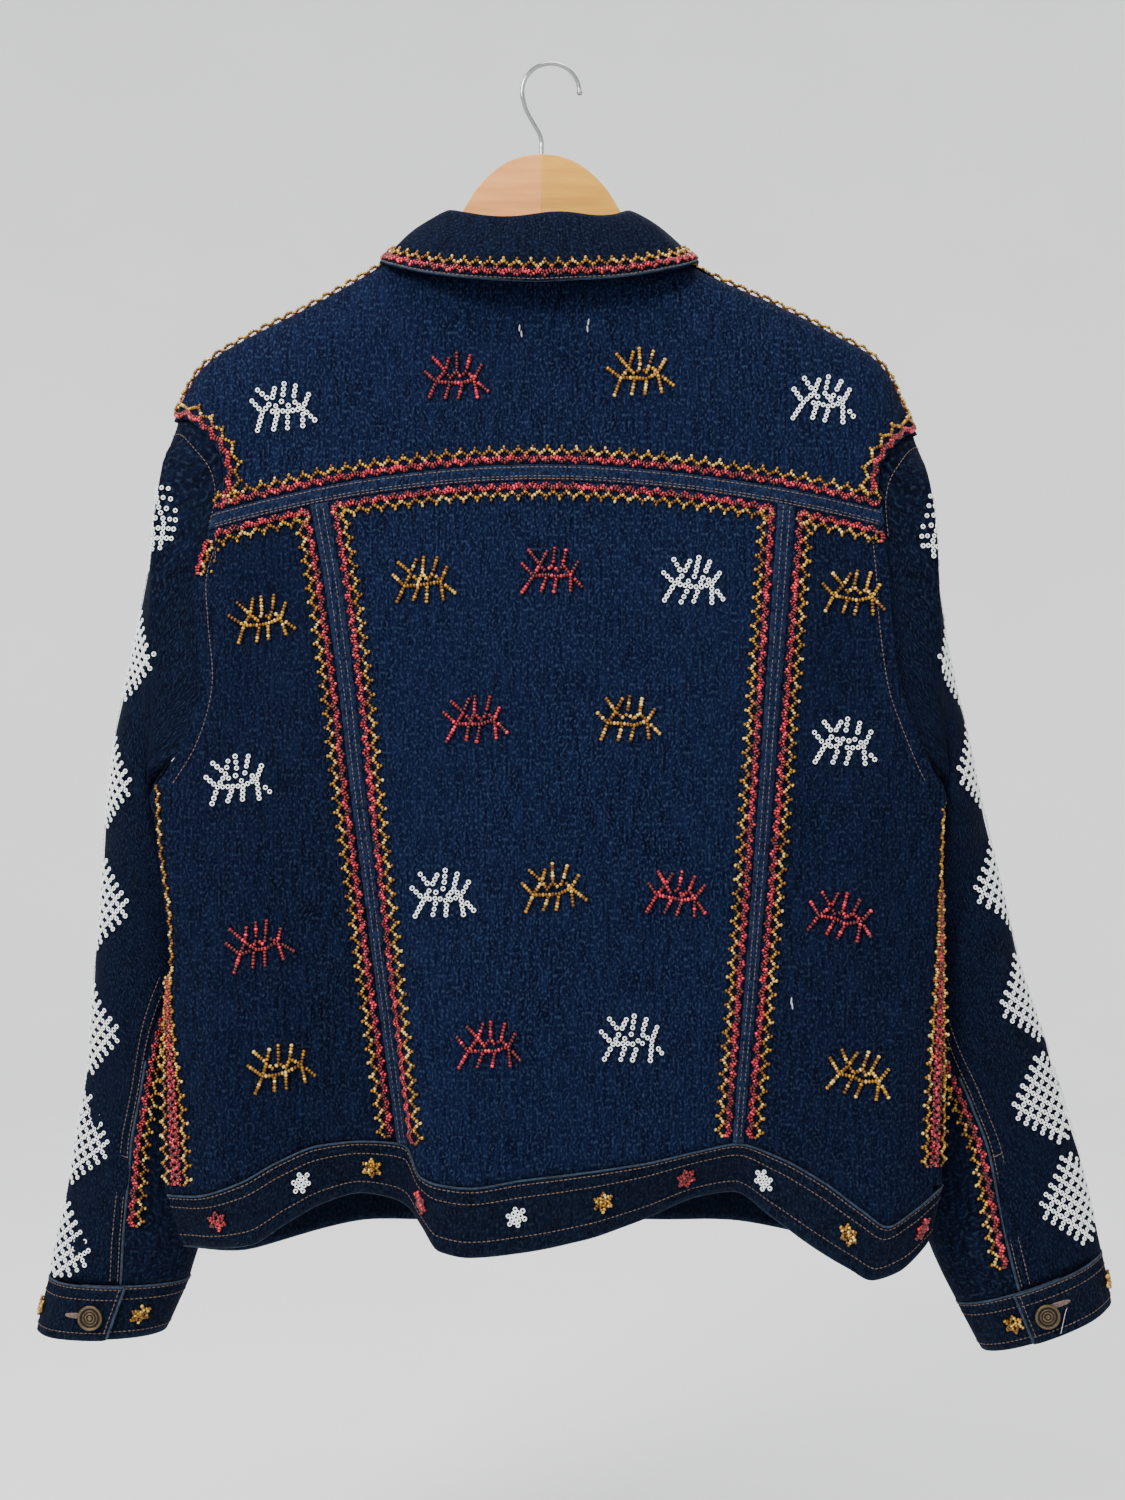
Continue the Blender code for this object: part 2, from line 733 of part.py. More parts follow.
def yoke_seam_strip(parts, finish):
    half = YOKE_STRIP_HEIGHT / 2
    columns = 30
    rows = []
    for offset in (half, -half):
        left, right = yoke_ends(-1, offset)[1], yoke_ends(1, offset)[1]
        xs = [left.x + (right.x - left.x) * i / columns for i in range(columns + 1)]
        rows.append([Vector((x, yoke_line(x) + offset)) for x in xs])
        rows[-1][0], rows[-1][-1] = left, right
    grid = raised([on_back(row) for row in rows], STRIP_RISE, True)
    gap = SEAM_GAP / 2
    pull_in(grid, gap, gap, SEAM_GAP, SEAM_GAP)
    return cloth("yoke_seam_strip", grid, DENIM + STRIP_RISE, parts, finish, True)


def princess_edge(side, offset, rows):
    """Points down one edge of a princess strip, from the yoke's strip to the hem."""
    points = []
    for f in rows:
        top = yoke_line(princess_x(side, -305)) - YOKE_STRIP_HEIGHT / 2
        z = top + (PRINCESS_LEFT[-1].z - top) * f
        half = (PRINCESS_TOP_WIDTH + (PRINCESS_HEM_WIDTH - PRINCESS_TOP_WIDTH) * f) / 2
        points.append(Vector((princess_x(side, z) + offset * half, z)))
    first = points[0]
    points[0] = Vector((first.x, yoke_line(first.x) - YOKE_STRIP_HEIGHT / 2))
    last = points[-1]
    points[-1] = Vector((last.x, smooth(HEM, "x", "top", last.x)))
    return points


BACK_ROWS = spread(18)


def princess_strip(side, name, parts, finish):
    left = princess_edge(side, -1, BACK_ROWS)
    right = princess_edge(side, 1, BACK_ROWS)
    rows = [[a, b] for a, b in zip(left, right)]
    grid = raised([on_back(row) for row in rows], STRIP_RISE, True)
    gap = SEAM_GAP / 2
    pull_in(grid, gap, gap, gap, SEAM_GAP * 2)
    return cloth(name, grid, DENIM + STRIP_RISE, parts, finish, True)


def back_centre_panel(parts, finish):
    left = princess_edge(-1, 1, BACK_ROWS)
    right = princess_edge(1, -1, BACK_ROWS)
    fractions = [0, 0.03, 0.075, 0.14, 0.22, 0.31, 0.42, 0.54, 0.66, 0.78, 0.88, 0.95, 1]
    top = []
    bottom = []
    for f in fractions:
        x = left[0].x + (right[0].x - left[0].x) * f
        top.append(Vector((x, yoke_line(x) - YOKE_STRIP_HEIGHT / 2)))
        x = left[-1].x + (right[-1].x - left[-1].x) * f
        bottom.append(Vector((x, smooth(HEM, "x", "top", x))))
    grid = [on_back(row) for row in fill(top, bottom, left, right)]
    gap = SEAM_GAP / 2
    pull_in(grid, gap, gap, gap, SEAM_GAP * 2)
    return cloth("back_centre_panel", grid, DENIM, parts, finish, True)


def side_seam(side, z):
    """The side seam, seen from the back."""
    inset = smooth(BODY, "z", "inset", z)
    limit = smooth(BODY, "z", "left" if side < 0 else "right", z)
    return limit - side * inset


def outer_border(side, stops):
    """Down the armhole by fractions of its length, then down the side seam to the hem."""
    points = armhole(side).points(stops)
    underarm = points[-1]
    hem_spot = HEM[0] if side < 0 else HEM[-1]
    for f in spread(SIDE_SEAM_ROWS)[1:]:
        z = underarm.y + (hem_spot.top - underarm.y) * f
        points.append(Vector((side_seam(side, z), z)))
    points[-1] = Vector((points[-1].x, smooth(HEM, "x", "top", points[-1].x)))
    return points


def back_side_panel(side, name, parts, finish):
    spot = yoke_ends(side, -YOKE_STRIP_HEIGHT / 2)[1]
    outer = outer_border(side, side_armhole_stops(side))
    inner = princess_edge(side, side, BACK_ROWS)
    fractions = [0, 0.012, 0.06, 0.14, 0.25, 0.37, 0.5, 0.63, 0.76, 0.88, 1]
    top = []
    bottom = []
    for f in fractions:
        x = spot.x + (inner[0].x - spot.x) * f
        top.append(Vector((x, yoke_line(x) - YOKE_STRIP_HEIGHT / 2)))
        x = outer[-1].x + (inner[-1].x - outer[-1].x) * f
        bottom.append(Vector((x, smooth(HEM, "x", "top", x))))
    top[0] = spot
    grid = [on_back(row) for row in fill(top, bottom, outer, inner)]
    gap = SEAM_GAP / 2
    mitre(grid, 0, [facing(False, row[0].x, row[0].z) for row in grid], side < 0)
    pull_in(grid, 0, gap, gap, SEAM_GAP * 2)
    return cloth(name, grid, DENIM, parts, finish, side < 0)


def front_hem(side, x):
    """Upper edge of the waistband in front: level, but for its sides, which meet those of the back."""
    end = HEM[0] if side < 0 else HEM[-1]
    return FRONT_HEM + (end.top - FRONT_HEM) * smoothstep((abs(x - NECK_X) - 110) / 130)


def lap_rise(side, x):
    """How far the left front rises to lie on the right one."""
    if side > 0:
        return 0.0
    return (DENIM + SEAM_GAP * 2) * smoothstep((x - NECK_X + FRONT_LAP + FRONT_LAP_RAMP) / FRONT_LAP_RAMP)


def front_spots(side):
    """Rows of (x, z) points of one front, from its side to its centre edge."""
    centre = NECK_X - side * FRONT_LAP
    neck_edge = NECK_X + side * NECK_HALF_WIDTH
    ridge = RIDGE_LEFT if side < 0 else RIDGE_RIGHT
    tip = ridge[-1]
    neck_z = shoulder_ridge(neck_edge)[0]
    outer = outer_border(side, FRONT_ROWS)
    outer[-1] = Vector((outer[-1].x, (HEM[0] if side < 0 else HEM[-1]).top))
    top = []
    for f in SHOULDER_STOPS[:-1]:
        x = tip.x + (neck_edge - tip.x) * f
        top.append(Vector((x, shoulder_ridge(x)[0])))
    neck_columns = len(FRONT_COLUMNS) - len(SHOULDER_STOPS)
    for i in range(neck_columns + 1):
        turn = math.pi / 2 * i / neck_columns
        x = neck_edge + (NECK_X - neck_edge) * (1 - math.cos(turn))
        top.append(Vector((x, neck_z - NECK_FRONT_DROP * math.sin(turn))))
    top[-1] = Vector((centre, neck_z - NECK_FRONT_DROP))
    bottom = []
    for f in FRONT_COLUMNS:
        x = outer[-1].x + (centre - outer[-1].x) * f
        bottom.append(Vector((x, front_hem(side, x))))
    bottom[0] = outer[-1]
    inner = [Vector((centre, top[-1].y + (bottom[-1].y - top[-1].y) * f)) for f in measure(outer)]
    return fill(top, bottom, outer, inner)


def front_panel(side, name, parts, finish):
    grid = []
    for row in front_spots(side):
        line = on_front(row)
        for point in line:
            point.y += lap_rise(side, point.x)
        grid.append(line)
    for row, fraction in zip(grid, FRONT_ROWS):
        row[0] = armhole_place(side, fraction, True)
    for row in grid[len(FRONT_ROWS) - 1:]:
        z = row[0].z
        seam, limit = side_seam(side, z), smooth(BODY, "z", "left" if side < 0 else "right", z)
        edge = smooth(BODY, "z", "edge_back", z)
        for column, part in enumerate(WRAP_STOPS):
            x = seam + (limit - seam) * part
            row[column] = Vector((x, back_y(x, z), z))
        row[len(WRAP_STOPS)] = Vector((limit, edge + WRAP_RISE, z))
        row[len(WRAP_STOPS) + 1] = Vector((limit - side * WRAP_INSET, edge + WRAP_TURN, z))
    seam_normals = [facing(i < len(FRONT_ROWS) - 1, row[0].x, row[0].z) for i, row in enumerate(grid)]
    mitre(grid, 0, seam_normals, side > 0)
    pull_in(grid, top=SEAM_GAP, bottom=SEAM_GAP * 2)
    return cloth(name, grid, DENIM, parts, finish, side > 0)


def front_band(parts, finish):
    """The buttonhole band on the left front's edge."""
    top = shoulder_ridge(NECK_X - NECK_HALF_WIDTH)[0] - NECK_FRONT_DROP - SEAM_GAP
    outer_x = NECK_X + FRONT_LAP - FRONT_BAND_WIDTH
    grid = []
    for f in spread(19):
        z = top + (FRONT_HEM + SEAM_GAP - top) * f
        line = []
        for g in (0, 0.5, 1):
            x = outer_x + FRONT_BAND_WIDTH * g
            line.append(Vector((x, front_y(x, z) + lap_rise(-1, x) + SEAM_GAP + DENIM, z)))
        grid.append(line)
    return cloth("front_band", grid, DENIM - SEAM_GAP, parts, finish, False)


def waistband_stop(x, side_view, lower):
    """One point of the waistband's upper or lower edge."""
    half = 1 if x > NECK_X else -1
    if side_view == "back":
        top, bottom = smooth(HEM, "x", "top", x), smooth(HEM, "x", "bottom", x)
        y = back_y(x, top)
        tuck = min(MOST_TUCK, TUCK_RATE * max(0.0, BAND_HEIGHT - (top - bottom)))
    else:
        end = HEM[0] if half < 0 else HEM[-1]
        top = front_hem(half, x)
        bottom = top - BAND_HEIGHT + (BAND_HEIGHT - (end.top - end.bottom)) * smoothstep(
            (abs(x - NECK_X) - 200) / 50
        )
        y = front_y(x, top)
        tuck = FRONT_TUCK
    if not lower:
        return Vector((x, y, top - SEAM_GAP))
    fade = smoothstep((abs(x - NECK_X) - 90) / 160)
    side = smoothstep((265 - abs(x - NECK_X)) / 30)
    return Vector((x - half * BAND_TAPER * fade, y + tuck * side, bottom))


def waistband(parts, finish):
    """The band round the hem, from the left front's edge round the back to the right front's edge."""
    left_end, right_end = NECK_X + FRONT_LAP, NECK_X - FRONT_LAP
    left_limit, right_limit = HEM[0].x, HEM[-1].x
    stops = []
    for f in spread(9):
        x = left_end + (left_limit + 3 - left_end) * f
        stops.append((x, "front"))
    back_xs = [row.x for row in HEM]
    fine_xs = []
    for a, b in zip(back_xs, back_xs[1:]):
        fine_xs += [a] if b - a < 16 else [a, (a + b) / 2]
    stops += [(x, "back") for x in fine_xs[1:]]
    for f in spread(9):
        x = right_limit - 3 + (right_end - right_limit + 3) * f
        stops.append((x, "front"))
    grid = []
    for lower in (False, True):
        line = []
        for i, (x, view) in enumerate(stops):
            point = waistband_stop(x, view, lower)
            if view == "front" and i < len(stops) / 2:
                point.y += lap_rise(-1, x) * BAND_LAP
            line.append(point)
        grid.append(line)
    middle = [(a + b) / 2 for a, b in zip(*grid)]
    grid.insert(1, middle)
    return cloth("waistband", grid, DOUBLED_DENIM, parts, finish, True)


def ring_point(ring, angle):
    """A point of a sleeve's ring: 0 degrees is its outer edge, 90 its back, 180 its inner edge."""
    outer = Vector((ring.out_x, ring.out_y, ring.out_z))
    inner = Vector((ring.in_x, ring.in_y, ring.in_z))
    turn = math.radians(angle)
    middle = (outer + inner) / 2
    return middle + (outer - inner) / 2 * math.cos(turn) - Vector((0, ring.depth * math.sin(turn), 0))


def armhole_point(side, angle):
    """Where a ring's angle meets the armhole: behind the body's edge, and beside it under the arm."""
    angle %= 360
    front = angle > 180
    fraction = (360 - angle if front else angle) / 180
    place = armhole_place(side, fraction, front)
    behind = facing(front, place.x, place.z) * -BEHIND_EDGE
    low = smoothstep((fraction - UNDERARM_START) / (UNDERARM_FULL - UNDERARM_START))
    deep, part = low, low
    if front:
        deep = smoothstep((fraction - ARMHOLE_CLOSE) / (1 - ARMHOLE_CLOSE))
        part = smoothstep((fraction - FRONT_SIDE_START) / (FRONT_SIDE_FULL - FRONT_SIDE_START))
    beside = Vector((
        side * (BESIDE_EDGE + (BESIDE_UNDERARM - BESIDE_EDGE) * low),
        UNDERARM_DEPTH * deep,
        ABOVE_EDGE + (ABOVE_UNDERARM - ABOVE_EDGE) * low,
    ))
    return place + behind.lerp(beside, part)


RingAt = namedtuple("RingAt", ("number",) + Ring._fields)


def mixed_ring(rings, position):
    """The ring at a whole or broken number down the sleeve."""
    numbered = [RingAt(number, *ring) for number, ring in enumerate(rings)]
    return Ring(*(smooth(numbered, "number", column, position) for column in Ring._fields))


def sleeve_point(side, rings, position, angle):
    """A point of the sleeve's outer surface."""
    point = ring_point(mixed_ring(rings, position), angle)
    flank = math.sin(math.radians(angle)) ** 2
    blend = smoothstep(1 - position / (CAP_UNDERARM_RINGS + (CAP_BLEND_RINGS - CAP_UNDERARM_RINGS) * flank))
    side_reach = CAP_SIDE_UNDERARM_RINGS + (CAP_SIDE_RINGS - CAP_SIDE_UNDERARM_RINGS) * flank
    away = armhole_point(side, angle) - ring_point(rings[0], angle)
    point += Vector((away.x * smoothstep(1 - position / side_reach), away.y * blend, away.z * blend))
    height = 0.0
    for crease in CREASES:
        turn = (angle - crease.angle + 180) % 360 - 180
        across = ((position - crease.ring + turn / 120) / crease.rings) ** 2
        height += crease.height * math.exp(-across - (turn / crease.degrees) ** 2)
    middle = ring_point(mixed_ring(rings, position), 90).lerp(ring_point(mixed_ring(rings, position), 270), 0.5)
    point += (point - middle).normalized() * height * (1 - blend)
    inside = side * (smooth(BODY, "z", "left" if side < 0 else "right", point.z) - point.x)
    near = smoothstep(inside / SLEEVE_TUCK + 1) * smoothstep((UNDERARM_TOP - point.z) / UNDERARM_FADE)
    point.y += max(0.0, front_y(point.x, point.z) + SLEEVE_CLEARANCE - point.y) * near
    return point


def cap_turns(side):
    """Angles of the columns of the upper and of the under sleeve where they meet the armhole."""
    back = yoke_armhole_stops(side) + side_armhole_stops(side)
    back = [180 * f for f in back if f == 0 or f > LEAST_STOP]
    front = [360 - 180 * f for f in reversed(FRONT_ROWS) if f == 0 or f > LEAST_STOP]
    upper = [turn for turn in front if turn > UNDERARM_SEAM - 0.01]
    upper += [360 + turn for turn in back if 0 < turn < UNDER_BACK_SEAM + 0.01]
    under = [turn for turn in back if turn > UNDER_BACK_SEAM - 0.01]
    under += [turn for turn in front if 180 < turn < UNDERARM_SEAM + 0.01]
    return upper, under


def sleeve_piece(side, rings, name, turns, parts, finish):
    """Part of a sleeve's round, between the underarm seam and the back seam, whose angle changes downwards."""
    steps = [i / 2 for i in range(2 * (len(rings) - 1) + 1)]
    steps = [s for s in steps if s < 2.1 or s == int(s)]
    grid = []
    edge_normals = ([], [])
    upper = turns[-1] > 360
    for position in steps:
        shift = mixed_ring(rings, position).seam - UNDER_BACK_SEAM
        start, end = UNDER_BACK_SEAM + shift, UNDERARM_SEAM
        if upper:
            start, end = UNDERARM_SEAM, turns[-1] + shift
        parts_of_turn = [(turn - turns[0]) / (turns[-1] - turns[0]) for turn in turns]
        angles = [start + (end - start) * part for part in parts_of_turn]
        grid.append([sleeve_point(side, rings, position, angle) for angle in angles])
        for angle, normals in ((start, edge_normals[0]), (end, edge_normals[1])):
            ahead = sleeve_point(side, rings, position, angle + SEAM_LOOK)
            behind = sleeve_point(side, rings, position, angle - SEAM_LOOK)
            above = sleeve_point(side, rings, max(position - RING_LOOK, 0), angle)
            below = sleeve_point(side, rings, min(position + RING_LOOK, len(rings) - 1), angle)
            normals.append((ahead - behind).cross(below - above).normalized())
    if side < 0:
        edge_normals = [[-normal for normal in normals] for normals in edge_normals]
    mitre(grid, 0, edge_normals[0], side < 0, SLEEVE_SPARE)
    mitre(grid, len(grid[0]) - 1, edge_normals[1], side < 0, SLEEVE_SPARE)
    pull_in(grid, bottom=SEAM_GAP * 1.5)
    return cloth(name, grid, DENIM, parts, finish, side < 0)


def cuff_point(rings, cuff, down, angle, rise):
    ring = Ring(*(a + (b - a) * down for a, b in zip(rings[-1], cuff)))
    point = ring_point(ring, angle)
    middle = ring_point(ring, 90).lerp(ring_point(ring, 270), 0.5)
    return point + (point - middle).normalized() * rise


def cuff(side, rings, ring, name, parts, finish):
    """A cuff: a strip round the wrist whose end laps over its start, beside the sleeve's back seam."""
    lap = rings[-1].seam + CUFF_LAP_START
    total = 360 + CUFF_LAP_ANGLE
    columns = 26
    grid = []
    for down in (CUFF_TOP, 0.5, 1.0):
        line = []
        for i in range(columns + 1):
            turned = total * i / columns
            over = 1 - smoothstep((turned - CUFF_LAP_ANGLE) / CUFF_LAP_EASE - 0.15)
            line.append(cuff_point(rings, ring, down, lap - turned, (DOUBLED_DENIM + CUFF_LAP_GAP) * over))
        grid.append(line)
    return cloth(name, grid, DOUBLED_DENIM, parts, finish, side > 0)


def button_mesh():
    """A dished metal button as a turned profile, with its axis up."""
    built = bmesh.new()
    profile = (
        (0, BUTTON_HEIGHT * 0.85),
        (0.4, BUTTON_HEIGHT * 0.85),
        (0.68, BUTTON_HEIGHT * 0.7),
        (0.88, BUTTON_HEIGHT),
        (1, BUTTON_HEIGHT * 0.65),
        (0.94, 0),
        (0, 0),
    )
    points = [built.verts.new((x * BUTTON_RADIUS * MM, 0, z * MM)) for x, z in profile]
    for a, b in zip(points, points[1:]):
        built.edges.new((a, b))
    mesh = bpy.data.meshes.new("button")
    built.to_mesh(mesh)
    built.free()
    return mesh


def button(name, mesh, place, outward, parts, finish):
    """A button whose back lies just off the cloth."""
    made = add(name, mesh, parts, finish)
    turn = outward.to_track_quat("Z", "X").to_matrix().to_4x4()
    made.matrix_world = Matrix.Translation(place * MM) @ turn
    turned = made.modifiers.new("turned", "SCREW")
    turned.steps = turned.render_steps = BUTTON_STEPS
    turned.use_merge_vertices = True
    turned.merge_threshold = 0.00005
    return made


def cuff_button(side, rings, ring, name, mesh, parts, finish):
    angle = rings[-1].seam + CUFF_LAP_START - CUFF_BUTTON_INSET

    def place(down, turn):
        return cuff_point(rings, ring, down, angle + turn, DOUBLED_DENIM + CUFF_LAP_GAP)

    across = place(CUFF_BUTTON_DOWN, 4) - place(CUFF_BUTTON_DOWN, -4)
    along = place(CUFF_BUTTON_DOWN + 0.15, 0) - place(CUFF_BUTTON_DOWN - 0.15, 0)
    outward = across.cross(along).normalized()
    if outward.y > 0:
        outward = -outward
    centre = place(CUFF_BUTTON_DOWN, 0)
    return button(name, mesh, centre + outward * CUFF_BUTTON_SEAT, outward, parts, finish)


def front_buttons(mesh, parts, finish):
    """Buttons down the front band, and the last one on the waistband, which leans in towards its lower edge."""
    top = shoulder_ridge(NECK_X - NECK_HALF_WIDTH)[0] - NECK_FRONT_DROP - TOP_BUTTON_DROP
    low = FRONT_HEM - LOW_BUTTON_DROP
    lap = lap_rise(-1, NECK_X)
    for i in range(FRONT_BUTTONS - 1):
        z = top + (low - top) * i / (FRONT_BUTTONS - 1)
        out = Vector((0, (front_y(NECK_X, z - 5) - front_y(NECK_X, z + 5)) / 10, 0))
        outward = Vector((0, 1, out.y)).normalized()
        place = Vector((NECK_X, front_y(NECK_X, z) + lap + SEAM_GAP + DENIM, z))
        button(f"front_button_{i + 1}", mesh, place + outward * BUTTON_SEAT, outward, parts, finish)
    lean = FRONT_TUCK / BAND_HEIGHT
    place = Vector((NECK_X, front_y(NECK_X, FRONT_HEM) + lap * BAND_LAP + lean * LOW_BUTTON_DROP, low))
    outward = Vector((0, 1, lean)).normalized()
    button(f"front_button_{FRONT_BUTTONS}", mesh, place + outward * BUTTON_SEAT, outward, parts, finish)


CollarAt = namedtuple("CollarAt", ("number",) + Collar._fields)


def collar_lines(position):
    """Fold point and leaf edge point of the collar; negative positions are its left half."""
    numbered = [CollarAt(number, *row) for number, row in enumerate(COLLAR)]
    side = -1 if position < 0 else 1
    row = Collar(*(smooth(numbered, "number", column, abs(position)) for column in Collar._fields))
    wave = COLLAR_WAVE * math.sin(position * 2.3 + 0.6) * smoothstep((4 - abs(position)) / 3)
    fold = Vector((NECK_X + side * row.fold_x, row.fold_y, row.fold_z + wave))
    edge = Vector((NECK_X + side * row.edge_x, row.edge_y, row.edge_z))
    return fold, edge


def collar_stops():
    last = len(COLLAR) - 1
    count = 2 * last * 2
    return [-last + 2 * last * i / count for i in range(count + 1)]


def collar_leaf(parts, finish):
    grid = []
    for down in (0, 0.12, 0.4, 0.72, 1):
        line = []
        for position in collar_stops():
            fold, edge = collar_lines(position)
            point = fold.lerp(edge, down)
            outward = Vector((point.x - NECK_X, point.y, 0)).normalized()
            bulge = math.sin(math.pi * down ** 0.7)
            line.append(point + outward * (bulge * LEAF_BULGE) + Vector((0, 0, bulge * LEAF_LIFT)))
        grid.append(line)
    return cloth("collar_leaf", grid, COLLAR_WALL, parts, finish, True)


def neck_seam(position):
    """The collar stand's foot, just above the neck edge of yoke and fronts."""
    last = len(COLLAR) - 1
    side = -1 if position < 0 else 1
    turn = min(abs(position) / SHOULDER_POSITION, 1) * math.pi / 2
    neck_z = shoulder_ridge(NECK_X - NECK_HALF_WIDTH)[0]
    behind = abs(position) <= SHOULDER_POSITION
    if behind:
        x = NECK_X + side * NECK_HALF_WIDTH * math.sin(turn)
        z = neck_z - NECK_BACK_DROP * math.cos(turn) ** 2
        y = back_y(x, z)
    else:
        turn = (abs(position) - SHOULDER_POSITION) / (last - SHOULDER_POSITION) * math.pi / 2
        x = NECK_X + side * NECK_HALF_WIDTH * math.cos(turn)
        z = neck_z - NECK_FRONT_DROP * math.sin(turn)
        y = front_y(x, z)
    inward = Vector((NECK_X - x, -y, 0)).normalized()
    inset = STAND_FOOT_BACK if behind else STAND_FOOT_FRONT
    return Vector((x, y, z)) + inward * inset + Vector((0, 0, STAND_FOOT_RISE))


def collar_stand(parts, finish):
    grid = []
    for down in (0, 0.5, 1):
        line = []
        for position in collar_stops():
            if abs(position) > len(COLLAR) - 1.6:
                continue
            fold, _ = collar_lines(position)
            inward = Vector((NECK_X - fold.x, -fold.y, 0)).normalized()
            head = fold + inward * (COLLAR_WALL + STAND_HEAD_GAP) - Vector((0, 0, STAND_HEAD_DROP))
            line.append(head.lerp(neck_seam(position), down))
        grid.append(line)
    return cloth("collar_stand", grid, STAND_WALL, parts, finish, True)


def hanger_outline(side):
    """One half of the hanger in the plane of its wood: hump, arm on the shoulder, and its lower edge."""
    upper = [(WOOD_JOINT_X + side * spot.x, spot.z) for spot in WOOD_HUMP]
    reach = WOOD_JOINT_X + side * WOOD_ARM_END
    start = NECK_X + side * (NECK_HALF_WIDTH + WOOD_NECK_START)
    for i in range(9):
        x = start + (reach - start) * i / 8
        upper.append((x, shoulder_ridge(x)[0] - WOOD_CLEARANCE))
    lower = []
    for i in range(12):
        f = 1 - i / 11
        x = WOOD_JOINT_X + (reach - WOOD_JOINT_X) * f
        tip = shoulder_ridge(reach)[0] - WOOD_CLEARANCE - WOOD_ARM_HEIGHT
        middle = WOOD_TOP - WOOD_CENTRE_HEIGHT
        lower.append((x, middle + (tip - middle) * f**WOOD_LOWER_BEND))
    nose_x, nose_z = (upper[-1][0] + lower[0][0]) / 2, (upper[-1][1] + lower[0][1]) / 2
    half = (upper[-1][1] - lower[0][1]) / 2
    nose = []
    for i in range(1, 6):
        turn = math.pi * i / 6
        nose.append((nose_x + side * half * WOOD_NOSE * math.sin(turn), nose_z + half * math.cos(turn)))
    return upper + nose + lower


def hanger_arm(side, name, parts, finish, shank):
    """Half of the hanger: a flat outline with rounded edges, and the groove that holds the hook's shank."""
    gap = side * SEAM_GAP / 2
    curve = bpy.data.curves.new(name, "CURVE")
    curve.dimensions = "2D"
    curve.fill_mode = "BOTH"
    curve.extrude = WOOD_THICKNESS / 2 * MM
    outline = hanger_outline(side)
    outline = [(x + (gap if abs(x - WOOD_JOINT_X) < 1 else 0), z) for x, z in outline]
    spline = curve.splines.new("POLY")
    spline.points.add(len(outline) - 1)
    for point, (x, z) in zip(spline.points, outline):
        point.co = (x * MM, z * MM, 0, 1)
    spline.use_cyclic_u = True
    flat = bpy.data.objects.new(name + "_flat", curve)
    parts.objects.link(flat)
    flat.rotation_euler = (math.pi / 2, 0, 0)
    bpy.context.view_layer.update()
    graph = bpy.context.evaluated_depsgraph_get()
    mesh = bpy.data.meshes.new_from_object(flat.evaluated_get(graph))
    place = flat.matrix_world.copy()
    bpy.data.objects.remove(flat)
    built = bmesh.new()
    built.from_mesh(mesh)
    bmesh.ops.remove_doubles(built, verts=built.verts, dist=0.00001)
    bmesh.ops.recalc_face_normals(built, faces=built.faces)
    built.to_mesh(mesh)
    built.free()
    made = add(name, mesh, parts, finish)
    made.matrix_world = place
    rounded = made.modifiers.new("rounded", "BEVEL")
    rounded.width = WOOD_ROUND * MM
    rounded.segments = 2
    rounded.limit_method = "ANGLE"
    rounded.angle_limit = math.radians(60)
    groove = made.modifiers.new("groove", "BOOLEAN")
    groove.operation = "DIFFERENCE"
    groove.object = shank
    mesh.shade_smooth()
    mesh.set_sharp_from_angle(angle=math.radians(40))
    return made


def shank_cutter(cutters):
    built = bmesh.new()
    radius = (WIRE_RADIUS + SEAM_GAP) * MM
    length = (WIRE_DEPTH + 10) * MM
    bmesh.ops.create_cone(
        built, cap_ends=True, segments=HOLE_SIDES, radius1=radius, radius2=radius, depth=length
    )
    mesh = bpy.data.meshes.new("shank_hole")
    built.to_mesh(mesh)
    built.free()
    made = bpy.data.objects.new("shank_hole", mesh)
    cutters.objects.link(made)
    made.location = (WOOD_JOINT_X * MM, 0, (WOOD_TOP - WIRE_DEPTH) * MM + length / 2)
    made.hide_render = True
    made.display_type = "WIRE"
    return made


def hook_route():
    """The wire's middle line: up out of the wood, aside, and over the top in an arc."""
    points = [(WOOD_JOINT_X, WOOD_TOP - WIRE_DEPTH + SEAM_GAP), (WOOD_JOINT_X, WOOD_TOP + 2)]
    points += [(WOOD_JOINT_X, -52), (WOOD_JOINT_X - 1.2, -47), (WOOD_JOINT_X - 4, -42), (-16.4, -31)]
    centre_z = WIRE_RADIUS - HOOK_RADIUS
    for i in range(HOOK_STEPS + 1):
        turn = math.radians(HOOK_START_ANGLE + (HOOK_END_ANGLE - HOOK_START_ANGLE) * i / HOOK_STEPS)
        points.append((HOOK_RADIUS * math.cos(turn), centre_z + HOOK_RADIUS * math.sin(turn)))
    return points


def hanger_hook(parts, finish):
    """One bent wire that ends in a small ball."""
    route = hook_route()
    end = Vector(route[-1])
    onward = (end - Vector(route[-2])).normalized()
    curve = bpy.data.curves.new("hanger_hook", "CURVE")
    curve.dimensions = "3D"
    curve.bevel_depth = WIRE_RADIUS * MM
    curve.bevel_resolution = 2
    curve.use_fill_caps = True
    spline = curve.splines.new("POLY")
    widths = [1.0] * len(route)
    for i in range(6):
        turn = math.pi * (0.25 + 0.7 * i / 5)
        centre = HOOK_BALL_RADIUS * math.cos(math.pi * 0.25)
        route.append(tuple(end + onward * (centre - HOOK_BALL_RADIUS * math.cos(turn) + 0.3)))
        widths.append(HOOK_BALL_RADIUS * math.sin(turn) / WIRE_RADIUS)
    spline.points.add(len(route) - 1)
    for point, (x, z), width in zip(spline.points, route, widths):
        point.co = (x * MM, 0, z * MM, 1)
        point.radius = width
    return add("hanger_hook", curve, parts, finish)


def clear_scene():
    for old in list(bpy.data.objects):
        bpy.data.objects.remove(old)


